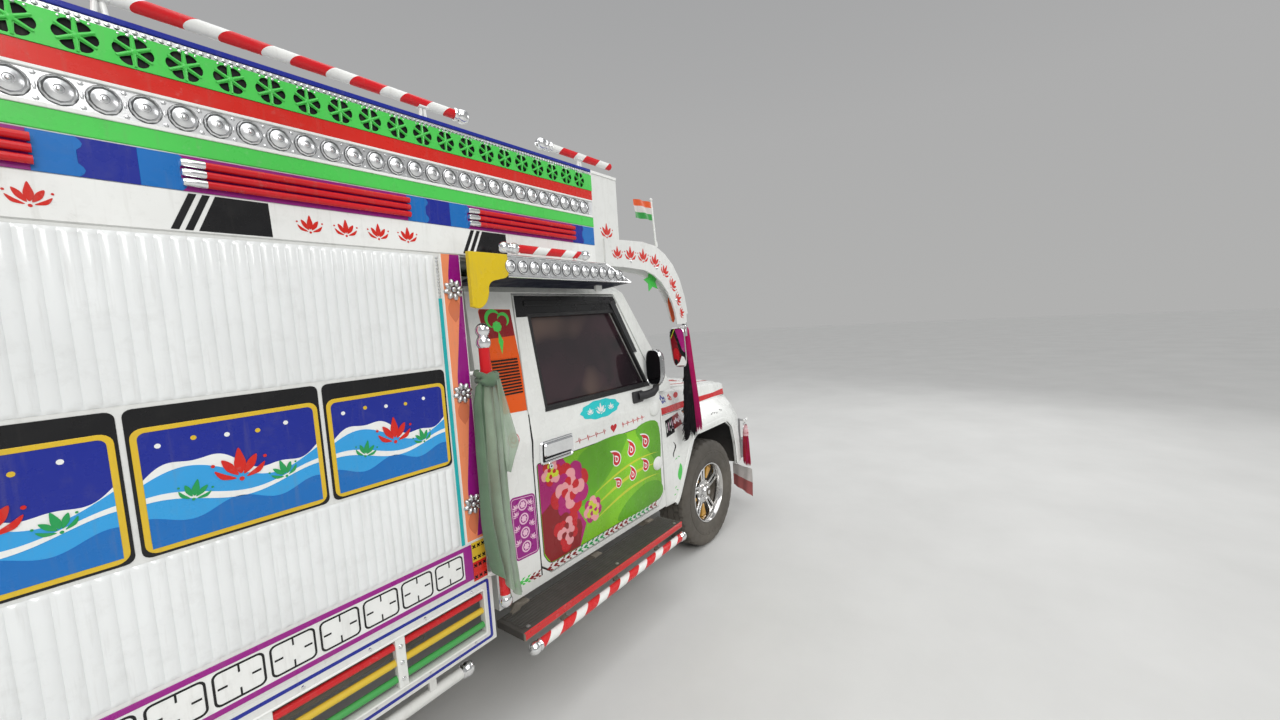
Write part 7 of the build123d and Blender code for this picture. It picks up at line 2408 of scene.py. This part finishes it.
def pad(name, x0, x1, y0, y1, z0, z1, lean, channels, r=45.0, crown=14.0, slot="seat_fabric", node=None, up=2, mats=None):
    """Crowned pad with sewn channels on one side. lean(x, y, z) moves a point of the upright box into place."""
    m = Mesh()
    nx, ny, nz = 22, 64, 10
    size = (x1 - x0, y1 - y0, z1 - z0)
    mid = ((x0 + x1) / 2, (y0 + y1) / 2, (z0 + z1) / 2)
    other = [a for a in range(3) if a != up]

    def point(p):
        """p in -1..1 on the box surface to a pillowy point."""
        q = [0, 0, 0]
        for a in range(3):
            q[a] = p[a] * size[a] / 2
        # rounded corners
        d = [max(0.0, abs(q[a]) - (size[a] / 2 - r)) for a in range(3)]
        l = math.sqrt(sum(t * t for t in d))
        if l > r:
            for a in range(3):
                if d[a] > 0:
                    q[a] = math.copysign(size[a] / 2 - r + d[a] / l * r, q[a])
        u, w = p[other[0]], p[other[1]]
        bulge = (1 - u * u) * (1 - w ** 4)
        q[up] += (crown * bulge - crown) * (1 if p[up] > 0.99 else max(0.0, p[up]))
        # sides pull in between the corners
        for a in other:
            if abs(p[a]) > 0.99:
                k = (1 - p[up] ** 2) * 3.0
                q[a] += math.copysign(k, q[a]) - math.copysign(3.0, q[a])
        # sewn channels across the face
        if p[up] > 0.9:
            for a, c, depth, width in channels:
                t = abs(q[a] + mid[a] - c) / width
                if t < 1:
                    q[up] -= depth * (1 - t) ** 1.6 * min(1.0, (1 - abs(u)) * 12) * min(1.0, (1 - abs(w)) * 12)
        return lean(*(mid[a] + q[a] for a in range(3)))

    def line(n, a):
        """Positions with extra ones beside the channels of this axis."""
        t = {-1.0, 1.0}
        for i in range(n + 1):
            t.add(round(-1 + 2 * i / n, 5))
        e = r / (size[a] / 2)
        for k in (0.15, 0.35, 0.6, 0.85, 1.0):
            t.add(round(1 - e * k, 5))
            t.add(round(-1 + e * k, 5))
        for b, c, depth, width in channels:
            if b == a:
                for k in (-1, -0.6, -0.3, 0, 0.3, 0.6, 1):
                    t.add(round(max(-1.0, min(1.0, (c + k * width - mid[a]) / (size[a] / 2))), 5))
        return sorted(t)
    ls = [line(n, a) for a, n in enumerate((nx, ny, nz))]
    for a in range(3):
        b, c = [i for i in range(3) if i != a]
        for s in (-1, 1):
            rows = []
            for u in ls[b]:
                row = []
                for w in ls[c]:
                    p = [0, 0, 0]
                    p[a], p[b], p[c] = s, u, w
                    row.append(point(p))
                rows.append(row)
            # orientation: b x c should point along +a for s = 1
            right = (a, b, c) in ((0, 1, 2), (2, 0, 1)) or (a, b, c) == (1, 2, 0)
            m.grid(rows, 0, flip=not (right == (s > 0)))
    return m


def seats():
    fabric = seat_cloth()
    up = lambda x, y, z: (x, y, z)
    ch_ = []
    for y in (-213, 213):
        ch_.append((1, y, 16.0, 16.0))
    for k in range(1, 6):
        ch_.append((0, 420 + 480 * k / 6, 6.0, 9.0))
    c = pad("cushion", 422, 898, -638, 638, 628, 880, up, ch_)
    o = make("bench_cushion", c, [fabric], slot="seat_fabric", stands_for=("seat_cushion",), angle=60)
    # the back leans: front face from (420, 890) to (345, 1420), rear from (250, 890) to (215, 1420)

    def lean(x, y, z):
        t = (z - 890) / 530.0
        fr = 420 - 75 * t
        bk = 250 - 35 * t
        s = (x - 250) / 170.0
        return (bk + (fr - bk) * s, y, z)
    cb = []
    for y in (-213, 213):
        cb.append((1, y, 14.0, 16.0))
    for k in range(1, 7):
        cb.append((2, 890 + 530 * k / 7, 6.0, 9.0))
    b = pad("back", 252, 418, -638, 638, 892, 1418, lean, cb, r=40, up=0)
    o = make("bench_back", b, [fabric], slot="seat_fabric", stands_for=("seat_backrest",), angle=60)


# ------------------------------------------------------------------ dashboard and steering wheel
def dash():
    g = Graph("dial_face", Roughness=0.35)
    g.set("Base Color", g.mix(g.range(g.noise(60, 3, 0.5), 0.4, 0.6), (0.010, 0.010, 0.011), (0.018, 0.018, 0.018)))
    dial = g.m
    m = Mesh()                # 0 dash, 1 black, 2 dial, 3 white, 4 chrome, 5 red
    # top pad over the panel
    rows = []
    for x, z in ((1392, 1122), (1200, 1122.5), (1178, 1123), (1160, 1112), (1126, 1066), (1122, 1056), (1128, 1050)):
        rows.append([(x, y, z) for y in range(-636, 637, 53)])
    m.grid(rows, 0, flip=False)
    n = Vector((-0.96, 0, 0.28))
    o0 = Vector((1133, 0, 1055))
    down = Vector((0.287, 0, -0.958))

    def D(a, b, h):
        """On the sloping front of the dash: a to the left of the truck, b down from the top edge."""
        p = o0 + down * b - Vector((0.958, 0, 0.287)) * h
        return (p.x, a, p.z)
    # instrument hood and dials in front of the driver
    hood = rounded([(-520, 2), (-220, 2), (-220, 88), (-520, 88)], 22, 6)
    hole = rounded([(-508, 10), (-232, 10), (-232, 80), (-508, 80)], 16, 6)
    m.prism(hood, D, 0, 26, 1, 4, [hole])
    m.prism(hole, D, 0, 3, 2, 0)
    for a, r in ((-440, 31), (-300, 31), (-370, 20)):
        m.prism(circle(a, 45, r, 30), D, 3, 6, 4, 0.8, [circle(a, 45, r - 3, 30)])
        for k in range(11):
            q = radians(-210 + 24 * k)
            c, s = cos(q), sin(q)
            m.prism([(a + c * (r - 6) - s * 0.8, 45 + s * (r - 6) + c * 0.8), (a + c * (r - 6) + s * 0.8, 45 + s * (r - 6) - c * 0.8),
                     (a + c * (r - 10) + s * 0.8, 45 + s * (r - 10) - c * 0.8), (a + c * (r - 10) - s * 0.8, 45 + s * (r - 10) + c * 0.8)], D, 3, 3.6, 3, 0, back=False)
        m.prism([(a - 1, 45), (a + 1, 45), (a + r * 0.45, 45 - r * 0.5)], D, 3.6, 4.4, 5, 0, back=False)
        m.prism(circle(a, 45, 3.5, 10), D, 3, 6, 1, 0.6)
    # vents, radio place, glove box, knobs
    for a in (-590, -170, 170, 590):
        m.prism(rounded([(a - 40, 10), (a + 40, 10), (a + 40, 60), (a - 40, 60)], 8, 4), D, 0, 8, 1, 2, [rounded([(a - 34, 15), (a + 34, 15), (a + 34, 55), (a - 34, 55)], 5, 3)])
        for k in range(4):
            m.prism([(a - 33, 19 + 10 * k), (a + 33, 19 + 10 * k), (a + 33, 22 + 10 * k), (a - 33, 22 + 10 * k)], D, 0, 6, 1, 0.5)
    m.prism(rounded([(-95, 20), (95, 20), (95, 72), (-95, 72)], 6, 4), D, 0, 5, 1, 1.5)
    for a in (-78, 78):
        m.prism(circle(a, 46, 10, 18), D, 5, 17, 4, 2)
    for k in range(5):
        m.prism(rounded([(-54 + 24 * k, 56), (-36 + 24 * k, 56), (-36 + 24 * k, 66), (-54 + 24 * k, 66)], 2, 2), D, 5, 8, 0, 0.8)
    m.prism(rounded([(250, 14), (540, 14), (540, 94), (250, 94)], 12, 4), D, 0, 5, 0, 2)
    m.prism(rounded([(375, 24), (415, 24), (415, 38), (375, 38)], 5, 4), D, 5, 12, 4, 2)
    make("dash_trim", m, [dash_plastic, black_plastic, dial, flat_white, ch, red], slot="dash_plastic")
    # gear lever on the floor
    l = Mesh()
    l.lathe([(0, 70), (10, 66), (30, 44), (55, 24), (70, 16), (72, 0)], (1000, 0, 626), (0, 0, 1), 24, 0)
    l.tube([(1000, 0, 690), (990, 0, 800), (960, 0, 905)], [9, 8, 7], 12, 1)
    l.ball((956, 0, 922), 24, 18, 2)
    make("gear_lever", l, [rubber, ch, red], slot="chrome")


def wheel():
    c = Vector((960, -370, 1110))
    u = Vector((-0.8192, 0, 0.5736)).normalized()
    ax = Vector((0, 1, 0))
    ay = u.cross(ax)
    m = Mesh()               # 0 leatherette 1 plastic 2 chrome 3 red cover stripes
    n, k = 96, 14
    rows = []
    for i in range(n):
        a = 2 * pi * i / n
        d = ax * cos(a) + ay * sin(a)
        row = []
        for j in range(k):
            b = 2 * pi * j / k
            r = 14.6 + 1.6 * (abs(sin(a * 24)) if j in (4, 5, 6, 7, 8, 9, 10) else 0)
            row.append(tuple(c + d * (185 + r * cos(b)) + u * (r * sin(b))))
        rows.append(row)
    rows.append(rows[0])
    m.grid(rows, 0, wrap=True, flip=True)
    for i in range(4):
        a = pi / 2 * i
        d = ax * cos(a) + ay * sin(a)
        e = u.cross(d)
        P = lambda p, q, h, d=d, e=e: tuple(c + d * p + e * q + u * h)
        m.prism([(34, -19), (60, -14), (150, -12), (176, -17), (176, 17), (150, 12), (60, 14), (34, 19)], P, -10, 7, 1, 4)
        m.prism([(62, -4), (148, -3), (148, 3), (62, 4)], P, 7, 8.5, 2, 0.6)
    m.lathe([(-24, 40), (8, 46), (18, 42), (24, 34), (27, 20), (28, 0)], tuple(c), tuple(u), 40, 1)
    m.lathe([(22, 36), (26, 34), (27, 30)], tuple(c), tuple(u), 40, 2)
    m.lathe([(24, 26), (29, 22), (31, 12), (32, 0)], tuple(c), tuple(u), 32, 1)
    make("wheel_cover", m, [plastic("wheel_grip", (0.05, 0.02, 0.018), 0.5, 0.6, dust=0.05, scale=900), black_plastic, ch, red], "steering", slot="black_plastic", stands_for=("steering_wheel",))


seats()
dash()
wheel()


def door_cards():
    """Inner trim of the doors: padded panel, arm rest, pull, winder and lock knob."""
    I = lambda a, b, h: (a, -(744 - h), b)
    m = Mesh()               # 0 vinyl, 1 black, 2 chrome
    o = rounded([(392, 520), (1292, 520), (1292, 1120), (392, 1120)], 40, 6)
    m.prism(o, I, 0, 5, 0, 3)
    q = rounded([(450, 700), (1230, 700), (1230, 1070), (450, 1070)], 36, 6)
    m.prism(q, I, 5, 9, 1, 3, [rounded([(462, 712), (1218, 712), (1218, 1058), (462, 1058)], 28, 6)])
    for k in range(9):
        x = 500 + 85 * k
        m.tube([I(x, 730, 5), I(x, 1040, 5)], 3.2, 6, 0)
    m.prism(rounded([(430, 545), (760, 545), (760, 660), (430, 660)], 16, 4), I, 5, 26, 1, 6)
    # arm rest
    rows = []
    for x, k in ((560, 0.0), (566, 0.7), (590, 1.0), (840, 1.0), (890, 0.8), (912, 0.5), (916, 0.0)):
        rows.append([(x, -(740 - 54 * k * c), 905 + 24 * s * (0.4 + 0.6 * k)) for c, s in [(max(0.0, cos(pi * j / 12 - pi / 2)), sin(pi * j / 12 - pi / 2)) for j in range(13)]])
    m.grid(rows, 1, flip=True)
    m.tube([I(1010, 930, 6), I(1012, 932, 40), I(1060, 934, 46), I(1130, 936, 40), I(1132, 936, 6)], 8, 10, 1)
    # winder
    m.lathe([(0, 24), (8, 22), (14, 14), (22, 10), (24, 0)], I(1130, 800, 5), (0, 1, 0), 20, 2)
    m.tube([I(1130, 800, 25), I(1090, 760, 30), I(1050, 724, 34)], [7, 6, 6], 10, 2)
    m.ball(I(1046, 720, 46), 15, 14, 1)
    m.prism(rounded([(450, 1078), (560, 1078), (560, 1108), (450, 1108)], 8, 4), I, 5, 9, 2, 2)
    m.tube([I(540, 1092, 10), I(500, 1092, 22), I(468, 1092, 22)], [6, 5, 5], 8, 2)
    m.tube([(440, -760, 1186), (440, -760, 1222)], 4, 8, 1)
    m.ball((440, -760, 1224), 6, 10, 1)
    vinyl = plastic("door_vinyl", (0.16, 0.145, 0.12), 0.55, 0.6, dust=0.05, scale=520)
    both_sides("door_card", m, [vinyl, black_plastic, ch], ("door_right", "door_left"), slot="dash_plastic")


door_cards()
